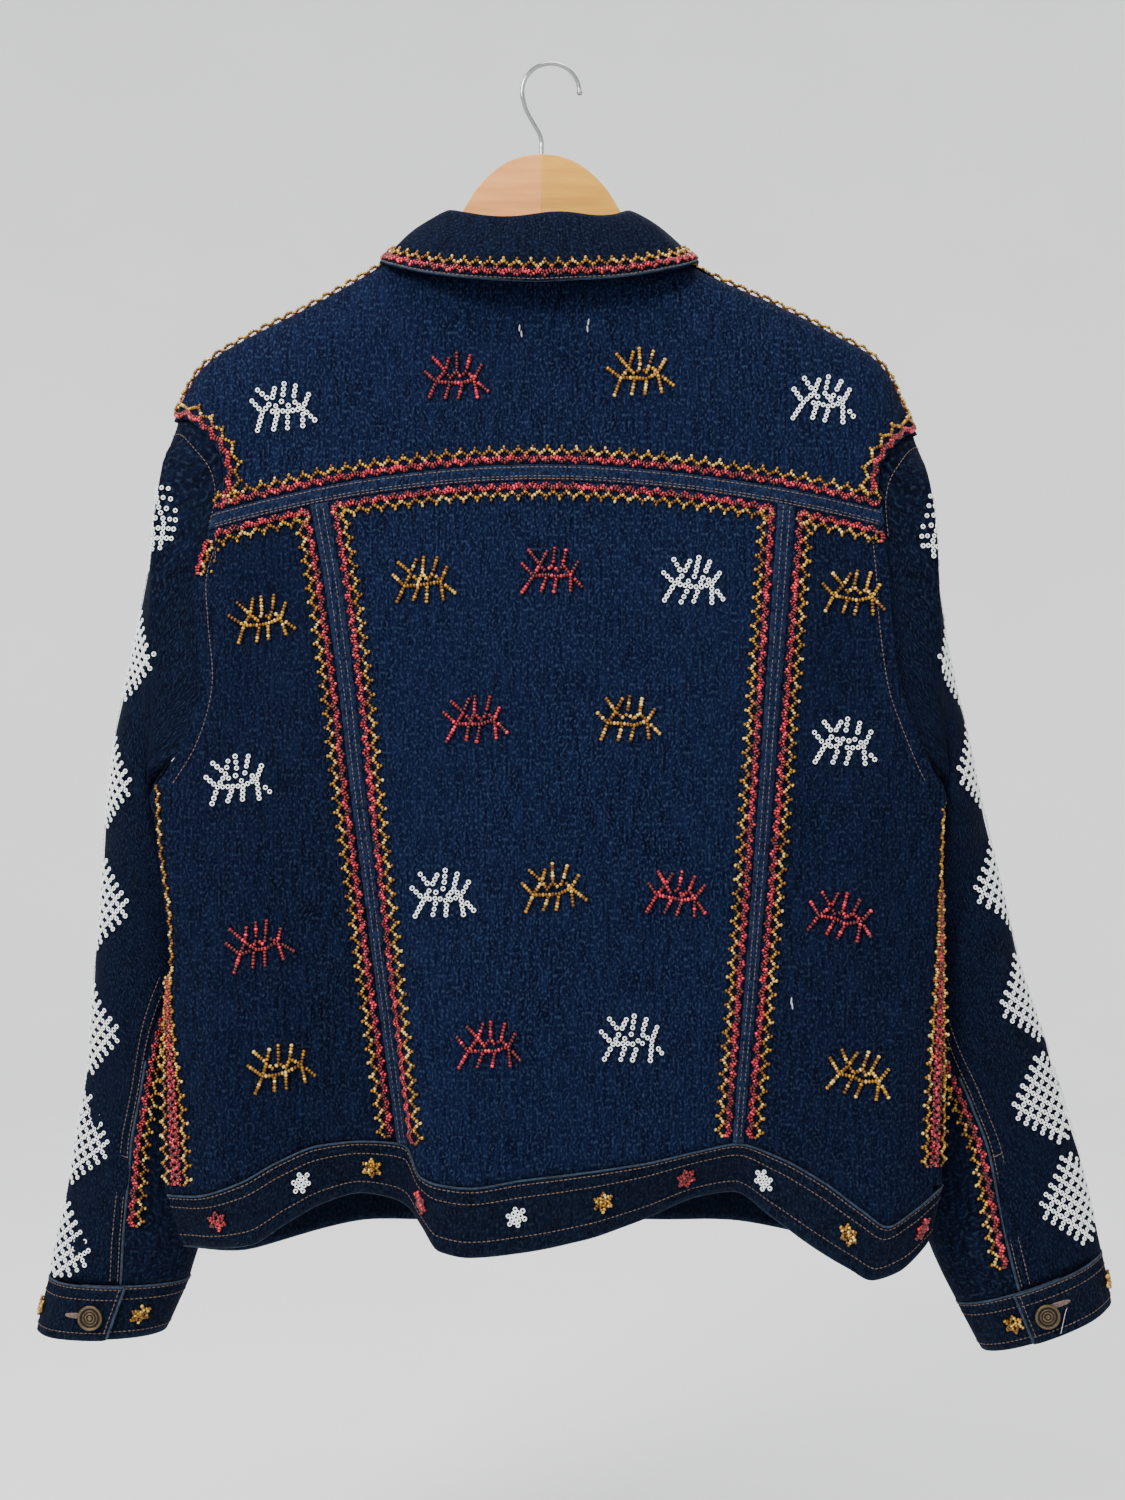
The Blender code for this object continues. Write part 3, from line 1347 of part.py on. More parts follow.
def main():
    clear_scene()
    parts = bpy.data.collections.new("beaded_denim_jacket")
    cutters = bpy.data.collections.new("cutters")
    bpy.context.scene.collection.children.link(parts)
    bpy.context.scene.collection.children.link(cutters)
    denim = material("denim", DENIM_BLUE, 0.85)
    dark_denim = material("denim_bands", DENIM_DARK, 0.85)
    bronze = material("bronze", BRONZE, 0.45, 1.0)

    back_yoke(parts, denim)
    yoke_seam_strip(parts, dark_denim)
    back_centre_panel(parts, denim)
    for side, word in ((-1, "left"), (1, "right")):
        back_side_panel(side, f"back_side_panel_{word}", parts, denim)
        princess_strip(side, f"princess_strip_{word}", parts, dark_denim)
        front_panel(side, f"front_panel_{word}", parts, denim)
    front_band(parts, dark_denim)
    waistband(parts, dark_denim)
    collar_stand(parts, dark_denim)
    collar_leaf(parts, denim)

    button_shape = button_mesh()
    for side, word, rings, end in (
        (-1, "left", SLEEVE_LEFT, CUFF_LEFT),
        (1, "right", SLEEVE_RIGHT, CUFF_RIGHT),
    ):
        upper, under = cap_turns(side)
        sleeve_piece(side, rings, f"sleeve_under_{word}", under, parts, denim)
        sleeve_piece(side, rings, f"sleeve_upper_{word}", upper, parts, denim)
        cuff(side, rings, end, f"cuff_{word}", parts, dark_denim)
        cuff_button(side, rings, end, f"cuff_button_{word}", button_shape, parts, bronze)
    front_buttons(button_shape, parts, bronze)

    shank = shank_cutter(cutters)
    pink, yellow = material("wood_pinkish", WOOD_PINK, 0.4), material("wood_pale", WOOD_YELLOW, 0.4)
    hanger_arm(-1, "hanger_arm_left", parts, pink, shank)
    hanger_arm(1, "hanger_arm_right", parts, yellow, shank)
    hanger_hook(parts, material("chrome_wire", STEEL, 0.2, 1.0))


main()
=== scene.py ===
import functools
import math
import random
from collections import namedtuple

import bmesh
import bpy
import numpy as np
from mathutils import Matrix, Vector


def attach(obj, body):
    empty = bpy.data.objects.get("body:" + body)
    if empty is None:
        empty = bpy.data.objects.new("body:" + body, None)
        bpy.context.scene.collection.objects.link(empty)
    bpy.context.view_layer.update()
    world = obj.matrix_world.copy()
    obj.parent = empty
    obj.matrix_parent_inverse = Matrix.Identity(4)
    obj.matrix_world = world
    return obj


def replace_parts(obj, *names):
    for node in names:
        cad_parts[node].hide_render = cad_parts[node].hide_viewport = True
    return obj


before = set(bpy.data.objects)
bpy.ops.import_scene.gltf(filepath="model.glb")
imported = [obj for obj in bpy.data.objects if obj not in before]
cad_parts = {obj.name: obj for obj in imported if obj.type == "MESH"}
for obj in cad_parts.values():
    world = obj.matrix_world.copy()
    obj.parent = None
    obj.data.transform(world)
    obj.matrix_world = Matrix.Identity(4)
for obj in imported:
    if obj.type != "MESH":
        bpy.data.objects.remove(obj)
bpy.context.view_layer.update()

# Sizes and tables of the jacket, in millimetres, as the solids have them.
MM = 0.001
DENIM = 1.6
DOUBLED_DENIM = 2.4
SEAM_GAP = 0.3
STRIP_RISE = 0.6
SHOULDER_ROUND = 45.0
BAND_HEIGHT = 44.0
MOST_TUCK = 14.0
TUCK_RATE = 1.3
FRONT_TUCK = -4.0
FRONT_FLAT_START, FRONT_FLAT_REACH = 55, 80
FRONT_HEM_START, FRONT_HEM_REACH = 110, 130
FRONT_BAND_START, FRONT_BAND_REACH = 200, 50
TAPER_START, TAPER_REACH = 90, 160
TUCK_SIDE, TUCK_SIDE_REACH = 265, 30
BAND_LAP = 1.7
FRONT_HEM = -750.0
BAND_TAPER = 9.0
WAVE_TOP = -470.0
WAVE_FULL = -735.0
YOKE_SEAM = -282.3
YOKE_DROP_LEFT = 33.0
YOKE_DROP_RIGHT = 28.0
YOKE_HALF_STRIP = 5.5
YOKE_REACH = 218.0
YOKE_BEND = 1.9
PRINCESS_TOP = -305.0
PRINCESS_TOP_WIDTH = 12.0
PRINCESS_HEM_WIDTH = 7.5
NECK_X = -8.0
NECK_HALF_WIDTH = 82.0
NECK_BACK_DROP = 20.0
NECK_FRONT_DROP = 76.0
FRONT_LAP = 18.0
FRONT_LAP_RAMP = 34.0
FRONT_BAND_WIDTH = 38.0
BUTTON_RADIUS = 8.5
WOOD_THICKNESS = 12.0
WOOD_CLEARANCE = 4.0
WOOD_JOINT_X = -6.3
WOOD_TOP = -62.0
WOOD_ARM_END = 203.0
WOOD_ARM_HEIGHT = 24.0
WOOD_CENTRE_HEIGHT = 80.0
WIRE_RADIUS = 1.5
HOOK_RADIUS = 19.5

Level = namedtuple(
    "Level", "z left right edge_back edge_front back front round_back round_front inset"
)
BODY = (
    Level(-100, -263, 256, 0, 0, 27, 27, 50, 50, 0),
    Level(-250, -263, 256, 0, 0, 30, 29, 52, 52, 0),
    Level(-330, -264, 259, -4, 8, 35, 33, 56, 60, 0),
    Level(-420, -266, 262, -14, 2, 38, 36, 60, 95, 0),
    Level(-490, -266, 263, -24, -18, 38, 37, 60, 140, 2),
    Level(-541, -262, 261, -25, -19, 37, 37, 60, 140, 4),
    Level(-612, -255, 261, -26, -20, 36, 37, 60, 140, 4),
    Level(-670, -260, 262, -25, -19, 36, 36, 60, 140, 6),
    Level(-753, -259, 263, -22, -16, 36, 36, 60, 140, 8),
    Level(-830, -257, 262, -20, -14, 36, 36, 60, 140, 8),
)
Spot = namedtuple("Spot", "x z")


def spots(*numbers):
    return tuple(Spot(*pair) for pair in zip(numbers[::2], numbers[1::2]))


RIDGE_LEFT = spots(
    -8, -109, -60, -113, -90, -125, -117, -139, -160, -163, -209, -188, -226, -198, -239, -209, -249, -225, -257, -243
)
RIDGE_RIGHT = spots(
    -8, -109, 44, -113, 74, -125, 104, -142, 164, -169, 202, -189, 216, -197, 231, -213, 240, -233, 250, -252
)
WOOD_HUMP = spots(0, -62, 12, -63.5, 24, -68, 35, -76, 45, -87, 53, -100, 60, -112, 66, -122.5, 76, -131.5)
ARMHOLE_LEFT = spots(
    -257, -243, -244, -245, -230, -257, -220, -271, -218, -288, -223, -306, -227, -319, -237, -350, -236, -382,
    -233, -422, -242, -457, -256, -481, -264, -490,
)
ARMHOLE_RIGHT = spots(
    250, -252, 240, -255, 229, -265, 221, -277, 218.5, -290, 220, -303, 222, -317, 225, -350, 227, -382, 233, -424,
    242, -450, 253, -476, 261, -490,
)
PRINCESS_LEFT = spots(-153.5, -305, -145, -352, -134.5, -430, -129, -480, -115, -600, -99, -730)
PRINCESS_RIGHT = spots(157, -305, 146, -450, 135.5, -600, 125.5, -730)

Hem = namedtuple("Hem", "x top bottom swing")
HEM = tuple(Hem(*row) for row in (
    (-259, -764, -800, 0), (-235, -762, -799, 7), (-205, -752, -794, 7), (-180, -739, -781, 2),
    (-155, -730, -770, -5), (-130, -728, -765, -9), (-108, -729, -768, -11), (-97, -731, -772, -10),
    (-86, -748, -784, 6), (-74, -752, -796, 11), (-52, -754, -800, 13), (-21, -750, -798, 11),
    (20, -746, -791, 6), (62, -741, -780, 0), (100, -734, -768, -8), (125, -730, -765, -11),
    (150, -737, -778, -6), (180, -752, -796, 3), (206, -770, -810, 11), (222, -780, -818, 13),
    (240, -772, -813, 9), (263, -758, -796, 0),
))

# Long folds, then the softer creases that only the looks have.
Fold = namedtuple("Fold", "side x_top z_top x_low z_low width height")
FOLDS = tuple(Fold(*row) for row in (
    ("back", -205, -520, -172, -700, 17, 5.0), ("back", -228, -600, -214, -745, 13, 5.0),
    ("back", -178, -350, -205, -470, 20, -4.0), ("back", 196, -360, 214, -500, 18, -4.0),
    ("back", 208, -450, 196, -640, 15, 5.0), ("back", 178, -560, 170, -730, 16, 4.0),
    ("back", -40, -560, -62, -735, 26, 3.0), ("back", 60, -500, 84, -720, 26, -3.0),
    ("front", -150, -300, -120, -640, 26, 5.0), ("front", 130, -320, 110, -680, 26, 5.0),
    ("front", -80, -520, -95, -740, 22, -4.0), ("front", 70, -480, 84, -740, 22, -4.0),
    ("back", -196, -330, -222, -395, 7, 1.3), ("back", -214, -420, -190, -500, 8, 1.6),
    ("back", -190, -560, -200, -660, 7, -1.8), ("back", -236, -520, -243, -600, 6, 1.5),
    ("back", -160, -600, -150, -710, 7, 1.5), ("back", -236, -660, -232, -745, 6, -1.6),
    ("back", 190, -330, 214, -400, 7, 1.3), ("back", 222, -420, 232, -520, 7, 1.7),
    ("back", 186, -500, 180, -600, 8, -1.6), ("back", 226, -560, 218, -680, 7, -1.8),
    ("back", 152, -640, 150, -720, 7, -1.3), ("back", 240, -600, 236, -730, 6, 1.5),
    ("back", -90, -420, -76, -560, 12, 1.0), ("back", 8, -600, -2, -730, 12, -1.3),
    ("back", 104, -600, 108, -715, 9, 1.3), ("back", -20, -640, -34, -740, 9, 1.2),
    ("back", 36, -430, 52, -560, 14, 1.0), ("back", -200, -225, -226, -290, 12, 1.4),
    ("back", 196, -225, 220, -290, 12, 1.4), ("back", 34, -135, 40, -205, 12, 1.0),
    ("back", -70, -150, -84, -220, 12, 0.9), ("front", -200, -420, -180, -620, 12, 2.0),
    ("front", 190, -420, 176, -640, 12, 2.0), ("front", -120, -260, -170, -360, 12, 1.6),
    ("front", 110, -260, 160, -380, 12, 1.6),
))

Ring = namedtuple("Ring", "number out_x out_z out_y in_x in_z in_y depth seam")
SLEEVE_LEFT = tuple(Ring(i, *row) for i, row in enumerate((
    (-257, -243, 0, -270, -489, -16, 25, 180),
    (-265, -282, 3, -271, -508, -6, 27, 180),
    (-272, -328, 6, -266, -530, 4, 28, 176),
    (-281, -374, 8, -258, -552, 11, 29, 170),
    (-291, -420, 10, -249, -573, 15, 30, 160),
    (-300, -466, 12, -243, -600, 16, 31, 146),
    (-306, -512, 14, -239, -630, 18, 32, 130),
    (-309, -562, 15, -237, -660, 20, 32, 112),
    (-313, -615, 16, -236, -692, 21, 32, 98),
    (-318, -672, 17, -235, -724, 22, 31, 89),
    (-325, -722, 18, -235, -757, 22, 30, 85),
    (-335, -775, 18, -238, -790, 22, 29, 88),
    (-346, -829, 18, -250, -831, 20, 28, 98),
)))
SLEEVE_RIGHT = tuple(Ring(i, *row) for i, row in enumerate((
    (250, -252, 0, 267, -489, -16, 25, 180),
    (257.5, -287, 3, 268, -508, -6, 27, 180),
    (262, -330, 6, 263, -530, 4, 28, 176),
    (268, -375, 8, 259, -552, 11, 29, 170),
    (276.5, -420, 10, 254, -573, 15, 30, 162),
    (288, -466, 12, 250.5, -600, 16, 31, 152),
    (298, -512, 14, 249, -630, 18, 32, 141),
    (311, -562, 15, 248, -662, 20, 32, 128),
    (322, -613, 16, 248, -695, 21, 32, 115),
    (341, -668, 17, 249, -730, 22, 31, 104),
    (356, -718, 18, 252, -766, 22, 30, 97),
    (370, -768, 18, 260, -806, 22, 29, 99),
    (380, -812, 18, 281, -848, 20, 28, 105),
)))
CUFF_LEFT = Ring(13, -355, -866, 18, -266, -867, 20, 28, 98)
CUFF_RIGHT = Ring(13, 387, -847, 18, 298, -881, 20, 28, 105)
LAST_RING = 12
UNDERARM_SEAM = 215.0
CAP_BLEND_RINGS = 4.5
CAP_UNDERARM_RINGS = 1.2
CAP_SIDE_RINGS = 2.0
CAP_SIDE_UNDERARM_RINGS = 0.6
SLEEVE_CLEARANCE = 2.5
SLEEVE_TUCK = 5.0
UNDERARM_TOP = -478.0
UNDERARM_FADE = 14.0
UNDERARM_DEPTH = 12.5
CUFF_LAP_START = 3.0
CUFF_LAP_ANGLE = 36.0
CUFF_LAP_GAP = 0.5
CUFF_LAP_EASE = 40.0
CUFF_BUTTON_INSET = 17.0
CUFF_BUTTON_DOWN = 0.55
CUFF_TALL = 38.0
CUFF_STITCH_RISE = 0.35
ARMHOLE_CLOSE = 0.93
UNDERARM_START, UNDERARM_FULL = 0.86, 0.98
FRONT_SIDE_START, FRONT_SIDE_FULL = 0.6, 0.74
BEHIND_EDGE = DENIM + SEAM_GAP * 1.5
BESIDE_EDGE, BESIDE_UNDERARM = 2.5, 5.5
ABOVE_EDGE, ABOVE_UNDERARM = 1.0, 2.5

Crease = namedtuple("Crease", "ring angle rings degrees height")
CREASES = tuple(Crease(*row) for row in (
    (4.6, 60, 0.8, 40, 4.0), (6.2, 75, 0.7, 45, -4.0), (7.6, 55, 0.8, 40, 4.0), (9.4, 60, 0.7, 35, -3.5),
    (5.4, 285, 0.8, 45, 4.0), (7.0, 290, 0.8, 45, -4.0), (8.6, 280, 0.8, 40, 4.0),
))
FINE_CREASES = tuple(Crease(*row) for row in (
    (2.3, 40, 0.25, 35, 1.2), (3.4, 50, 0.25, 30, -1.4), (5.3, 55, 0.25, 30, 1.5), (6.7, 50, 0.22, 28, 1.6),
    (7.1, 65, 0.22, 28, -1.5), (8.3, 45, 0.25, 26, 1.4), (10.2, 50, 0.3, 30, 1.4), (11.0, 130, 0.3, 25, 1.2),
    (11.4, 60, 0.25, 30, -1.2), (9.8, 130, 0.3, 25, -1.2), (6.2, 300, 0.25, 30, 1.5),
    (7.8, 285, 0.25, 30, -1.4), (10.4, 290, 0.3, 30, 1.3),
))

Collar = namedtuple("Collar", "number fold_x fold_y fold_z edge_x edge_y edge_z")
COLLAR = tuple(Collar(i, *row) for i, row in enumerate((
    (0, -37, -112, 0, -50, -159),
    (29, -35, -111, 42, -49, -157),
    (50, -27, -108, 76, -41, -151),
    (63, -13, -103, 101, -26, -142),
    (69, 3, -104, 109, 4, -134),
    (66, 19, -118, 105, 33, -159),
    (51, 31, -142, 90, 42, -196),
    (30, 38, -165, 71, 45, -228),
    (10, 42, -182, 52, 47, -246),
)))
COLLAR_END = len(COLLAR) - 1
COLLAR_SHOULDER = 4
COLLAR_WAVE_REACH = 3
COLLAR_WAVE = 1.6
COLLAR_WALL = 2.0
LEAF_BULGE = 3.0
LEAF_LIFT = 1.25
STAND_FOOT_BACK = 3.0
STAND_FOOT_FRONT = 4.4
STAND_FOOT_RISE = 1.2

SHOULDER_STOPS = (0, 0.048, 0.108, 0.186, 0.287, 0.5, 0.75, 1)
YOKE_ROWS = (0, 0.0012, 0.03, 0.09, 0.18, 0.3, 0.45, 0.62, 0.8, 1)
FRONT_ROWS = (0, 0.0006, 0.01, 0.035, 0.08, 0.15, 0.25, 0.38, 0.52, 0.67, 1 - 35 / 180, 0.87, 0.93, 1)
FRONT_COLUMNS = (0, 0.004, 0.012, 0.025, 0.045, 0.1, 0.2, 0.32, 0.46, 0.6, 0.74, 0.88, 1)
WRAP_STOPS = (0, 0.25, 0.7)
SIDE_SEAM_ROWS = 9
WAIST_ROWS = 10
WAIST_FRONT_STOPS = 46
WAIST_SIDE_GAP = 3
SIDES = ((-1, "left"), (1, "right"))


# Reading the tables and lines.
def word_of(side):
    return "left" if side < 0 else "right"


def rings_of(side):
    return SLEEVE_LEFT if side < 0 else SLEEVE_RIGHT


def hem_end(side):
    return HEM[0] if side < 0 else HEM[-1]


@functools.lru_cache(maxsize=None)
def dense(table, key, column):
    """A table's column as a fine line that never overshoots its rows."""
    rows = sorted((getattr(row, key), getattr(row, column)) for row in table)
    keys = [row[0] for row in rows]
    values = [row[1] for row in rows]
    steps = [b - a for a, b in zip(keys, keys[1:])]
    slopes = [(b - a) / step for a, b, step in zip(values, values[1:], steps)]
    tangents = [slopes[0]]
    for before, after in zip(slopes, slopes[1:]):
        tangents.append(0.0 if before * after <= 0 else 2 * before * after / (before + after))
    tangents.append(slopes[-1])
    xs, ys = [], []
    for i, step in enumerate(steps):
        for part in range(24):
            t = part / 24
            rise = values[i + 1] - values[i]
            start, end = tangents[i] * step, tangents[i + 1] * step
            xs.append(keys[i] + step * t)
            ys.append(values[i] + t * start + t * t * (3 * rise - 2 * start - end) + t**3 * (start + end - 2 * rise))
    return np.array(xs + keys[-1:]), np.array(ys + values[-1:])


def smooth(table, key, column, at):
    return np.interp(at, *dense(table, key, column))


def smoothstep(value):
    value = np.clip(value, 0.0, 1.0)
    return value * value * (3 - 2 * value)


def unit(vectors):
    return vectors / np.maximum(np.linalg.norm(vectors, axis=-1, keepdims=True), 1e-9)


def lengths(line):
    """Length along a line of points, up to each of them."""
    return np.concatenate([[0.0], np.cumsum(np.linalg.norm(np.diff(line, axis=0), axis=1))])


def walk(line, at):
    """Points of a line at these lengths."""
    along = lengths(line)
    return np.stack([np.interp(at, along, line[:, i]) for i in range(line.shape[1])], -1)


def curve_through(points, fine=12):
    points = np.array(points, float)
    ends = np.concatenate([[points[0] * 2 - points[1]], points, [points[-1] * 2 - points[-2]]])
    line = [points[0]]
    for a, b, c, d in zip(ends, ends[1:], ends[2:], ends[3:]):
        for step in range(1, fine + 1):
            t = step / fine
            bend, twist = a * 2 - b * 5 + c * 4 - d, b * 3 - a - c * 3 + d
            line.append(b + (c - a) * t / 2 + bend * t * t / 2 + twist * t**3 / 2)
    return np.array(line)


def at_fractions(line, fractions):
    return walk(line, np.asarray(fractions) * lengths(line)[-1])


def finer(stops, count):
    """More stops between the ones given."""
    stops = np.asarray(stops, float)
    return np.interp(np.arange((len(stops) - 1) * count + 1) / count, np.arange(len(stops)), stops)


def fill(top, bottom, left, right):
    """Rows of points inside four borders, as a Coons patch."""
    across = (lengths(top) / lengths(top)[-1] + lengths(bottom) / lengths(bottom)[-1]) / 2
    down = (lengths(left) / lengths(left)[-1] + lengths(right) / lengths(right)[-1]) / 2
    s, t = across[None, :, None], down[:, None, None]
    corners = (top[0] * (1 - s) + top[-1] * s) * (1 - t) + (bottom[0] * (1 - s) + bottom[-1] * s) * t
    return top[None] * (1 - t) + bottom[None] * t + left[:, None] * (1 - s) + right[:, None] * s - corners


# Surfaces of the body.
def body_side(side, z):
    return smooth(BODY, "z", word_of(side), z)


def shoulder_ridge(x):
    def height(at):
        return np.where(at < NECK_X, smooth(RIDGE_LEFT, "x", "z", at), smooth(RIDGE_RIGHT, "x", "z", at))

    x = np.asarray(x, float)
    slope = (height(x + 2) - height(x - 2)) / 4
    return height(x), 1 / np.sqrt(1 + slope * slope)


def princess_x(side, z):
    return smooth(PRINCESS_LEFT if side < 0 else PRINCESS_RIGHT, "z", "x", z)


def round_off(distance, reach):
    return np.sqrt(np.maximum(0.0, 1 - (1 - np.clip(distance / reach, 0, 1)) ** 2))


def hem_x(x, z):
    stops = (body_side(-1, z), princess_x(-1, z), princess_x(1, z), body_side(1, z))
    hems = (HEM[0].x, PRINCESS_LEFT[-1].x, PRINCESS_RIGHT[-1].x, HEM[-1].x)
    found = None
    for i in range(3):
        value = hems[i] + (hems[i + 1] - hems[i]) * (x - stops[i]) / (stops[i + 1] - stops[i])
        found = value if found is None else np.where(x >= stops[i], value, found)
    return found


def waver(a, b, length, height, seed):
    """A soft uneven relief, as a sum of waves in several directions."""
    dice = random.Random(seed)
    total = 0.0
    for _ in range(6):
        turn = dice.uniform(0, math.pi)
        rate = 2 * math.pi / (length * dice.uniform(0.7, 1.5))
        total = total + np.sin((a * math.cos(turn) + b * math.sin(turn)) * rate + dice.uniform(0, 6.3))
    return total * height / 3


def fold_relief(side, x, z):
    total = waver(x, z * 0.6, 70, 0.9, side) + waver(x, z * 0.7, 22, 0.22, side + "fine")
    for fold in FOLDS:
        if fold.side != side:
            continue
        along = (fold.z_top - z) / (fold.z_top - fold.z_low)
        bend = fold.width * 0.35 * np.sin(along * 4 + fold.x_top)
        centre = fold.x_top + (fold.x_low - fold.x_top) * along + (bend if abs(fold.height) < 2.5 else 0)
        fade = smoothstep((along + 0.25) / 0.6) * smoothstep((1.2 - along) / 0.5)
        total = total + fold.height * fade * np.exp(-(((x - centre) / fold.width) ** 2))
    return total


def body_edges(x, z):
    ridge, cosine = shoulder_ridge(x)
    top = round_off((ridge - z) * cosine, SHOULDER_ROUND)
    side = np.minimum(x - body_side(-1, z), body_side(1, z) - x)
    return top, np.maximum(side, 0.0)


def back_y(x, z):
    top, side = body_edges(x, z)
    edge = smooth(BODY, "z", "edge_back", z)
    deep = smooth(BODY, "z", "back", z)
    rounding = round_off(side, smooth(BODY, "z", "round_back", z))
    swing = smooth(HEM, "x", "swing", hem_x(x, z)) * smoothstep((WAVE_TOP - z) / (WAVE_TOP - WAVE_FULL))
    relief = (fold_relief("back", x, z) + swing) * rounding
    return (edge * (1 - rounding) - (deep + relief) * rounding) * top


def front_y(x, z):
    top, side = body_edges(x, z)
    edge = smooth(BODY, "z", "edge_front", z)
    deep = smooth(BODY, "z", "front", z)
    reach = smooth(BODY, "z", "round_front", z)
    flatness = smoothstep((reach - FRONT_FLAT_START) / FRONT_FLAT_REACH)
    rounding = (1 - flatness) * round_off(side, reach) + flatness * smoothstep(side / reach)
    return (edge * (1 - rounding) + (deep + fold_relief("front", x, z) * rounding) * rounding) * top


def facing(front, x, z):
    surface = front_y if front else back_y
    slope_x = (surface(x + 1, z) - surface(x - 1, z)) / 2
    slope_z = (surface(x, z + 1) - surface(x, z - 1)) / 2
    normal = unit(np.stack([slope_x, -np.ones_like(slope_x), slope_z], -1))
    return -normal if front else normal


def on_surface(front, flat, rise=0.0):
    """Points of the back or the front at flat points, raised above the cloth."""
    flat = np.asarray(flat, float)
    x, z = flat[..., 0], flat[..., 1]
    points = np.stack([x, (front_y if front else back_y)(x, z), z], -1)
    return points + facing(front, x, z) * rise if rise else points


on_back, on_front = functools.partial(on_surface, False), functools.partial(on_surface, True)


def yoke_line(x):
    part = (np.asarray(x, float) - NECK_X) / YOKE_REACH
    return YOKE_SEAM - np.where(part < 0, YOKE_DROP_LEFT, YOKE_DROP_RIGHT) * np.abs(part) ** YOKE_BEND


@functools.lru_cache(maxsize=None)
def armhole(side):
    return curve_through(ARMHOLE_LEFT if side < 0 else ARMHOLE_RIGHT)


def yoke_end(side, offset):
    """Where the armhole meets an edge of the seam strip: the fraction of its length, and the point."""
    line = armhole(side)
    height = float(yoke_line(YOKE_REACH * side + NECK_X)) + offset
    fractions = np.linspace(0.2, 1, 2000)
    points = at_fractions(line, fractions)
    i = int(np.argmax(points[:, 1] <= height))
    return fractions[i], points[i]


def strip_edge(side, offset, fractions):
    """Down one edge of a princess strip."""
    top = float(yoke_line(princess_x(side, PRINCESS_TOP))) - YOKE_HALF_STRIP
    z = top + (PRINCESS_LEFT[-1].z - top) * fractions
    half = (PRINCESS_TOP_WIDTH + (PRINCESS_HEM_WIDTH - PRINCESS_TOP_WIDTH) * fractions) / 2
    x = princess_x(side, z) + offset * half
    z[0] = yoke_line(x[0]) - YOKE_HALF_STRIP
    z[-1] = smooth(HEM, "x", "top", x[-1])
    return np.stack([x, z], -1)


def side_seam(side, z):
    return body_side(side, z) - side * smooth(BODY, "z", "inset", z)


def outer_border(side, stops, fine):
    """Down the armhole, then down the side seam to the hem."""
    points = at_fractions(armhole(side), stops)
    z = points[-1][1] + (hem_end(side).top - points[-1][1]) * np.linspace(0, 1, SIDE_SEAM_ROWS * fine + 1)[1:]
    seam = np.stack([side_seam(side, z), z], -1)
    seam[-1, 1] = smooth(HEM, "x", "top", seam[-1, 0])
    return np.concatenate([points, seam])


# Surfaces of the sleeves and cuffs.
def ring_edges(rings, position):
    def read(column):
        return smooth(rings, "number", column, position)

    outer = np.stack([read("out_x"), read("out_y"), read("out_z")], -1)
    inner = np.stack([read("in_x"), read("in_y"), read("in_z")], -1)
    return outer, inner, read("depth"), read("seam")


def ring_point(edges, angle):
    outer, inner, depth, _ = edges
    turn = np.radians(angle)
    point = (outer + inner) / 2 + (outer - inner) / 2 * np.cos(turn)[..., None]
    point[..., 1] -= depth * np.sin(turn)
    return point


def armhole_point(side, angle):
    angle = angle % 360
    front = angle > 180
    fraction = np.where(front, 360 - angle, angle) / 180
    spot = at_fractions(armhole(side), fraction)
    x, z = spot[..., 0], spot[..., 1]
    close = smoothstep((fraction - ARMHOLE_CLOSE) / (1 - ARMHOLE_CLOSE))
    behind_y, ahead_y = back_y(x, z), front_y(x, z)
    y = np.where(front, ahead_y + (behind_y - ahead_y) * close, behind_y)
    place = np.stack([x, y, z], -1)
    normals = np.where(front[..., None], facing(True, x, z), facing(False, x, z))
    low = smoothstep((fraction - UNDERARM_START) / (UNDERARM_FULL - UNDERARM_START))
    deep = np.where(front, close, low)
    part = np.where(front, smoothstep((fraction - FRONT_SIDE_START) / (FRONT_SIDE_FULL - FRONT_SIDE_START)), low)
    beside = np.stack([
        side * (BESIDE_EDGE + (BESIDE_UNDERARM - BESIDE_EDGE) * low),
        UNDERARM_DEPTH * deep,
        ABOVE_EDGE + (ABOVE_UNDERARM - ABOVE_EDGE) * low,
    ], -1)
    return place + normals * -BEHIND_EDGE * (1 - part[..., None]) + beside * part[..., None]


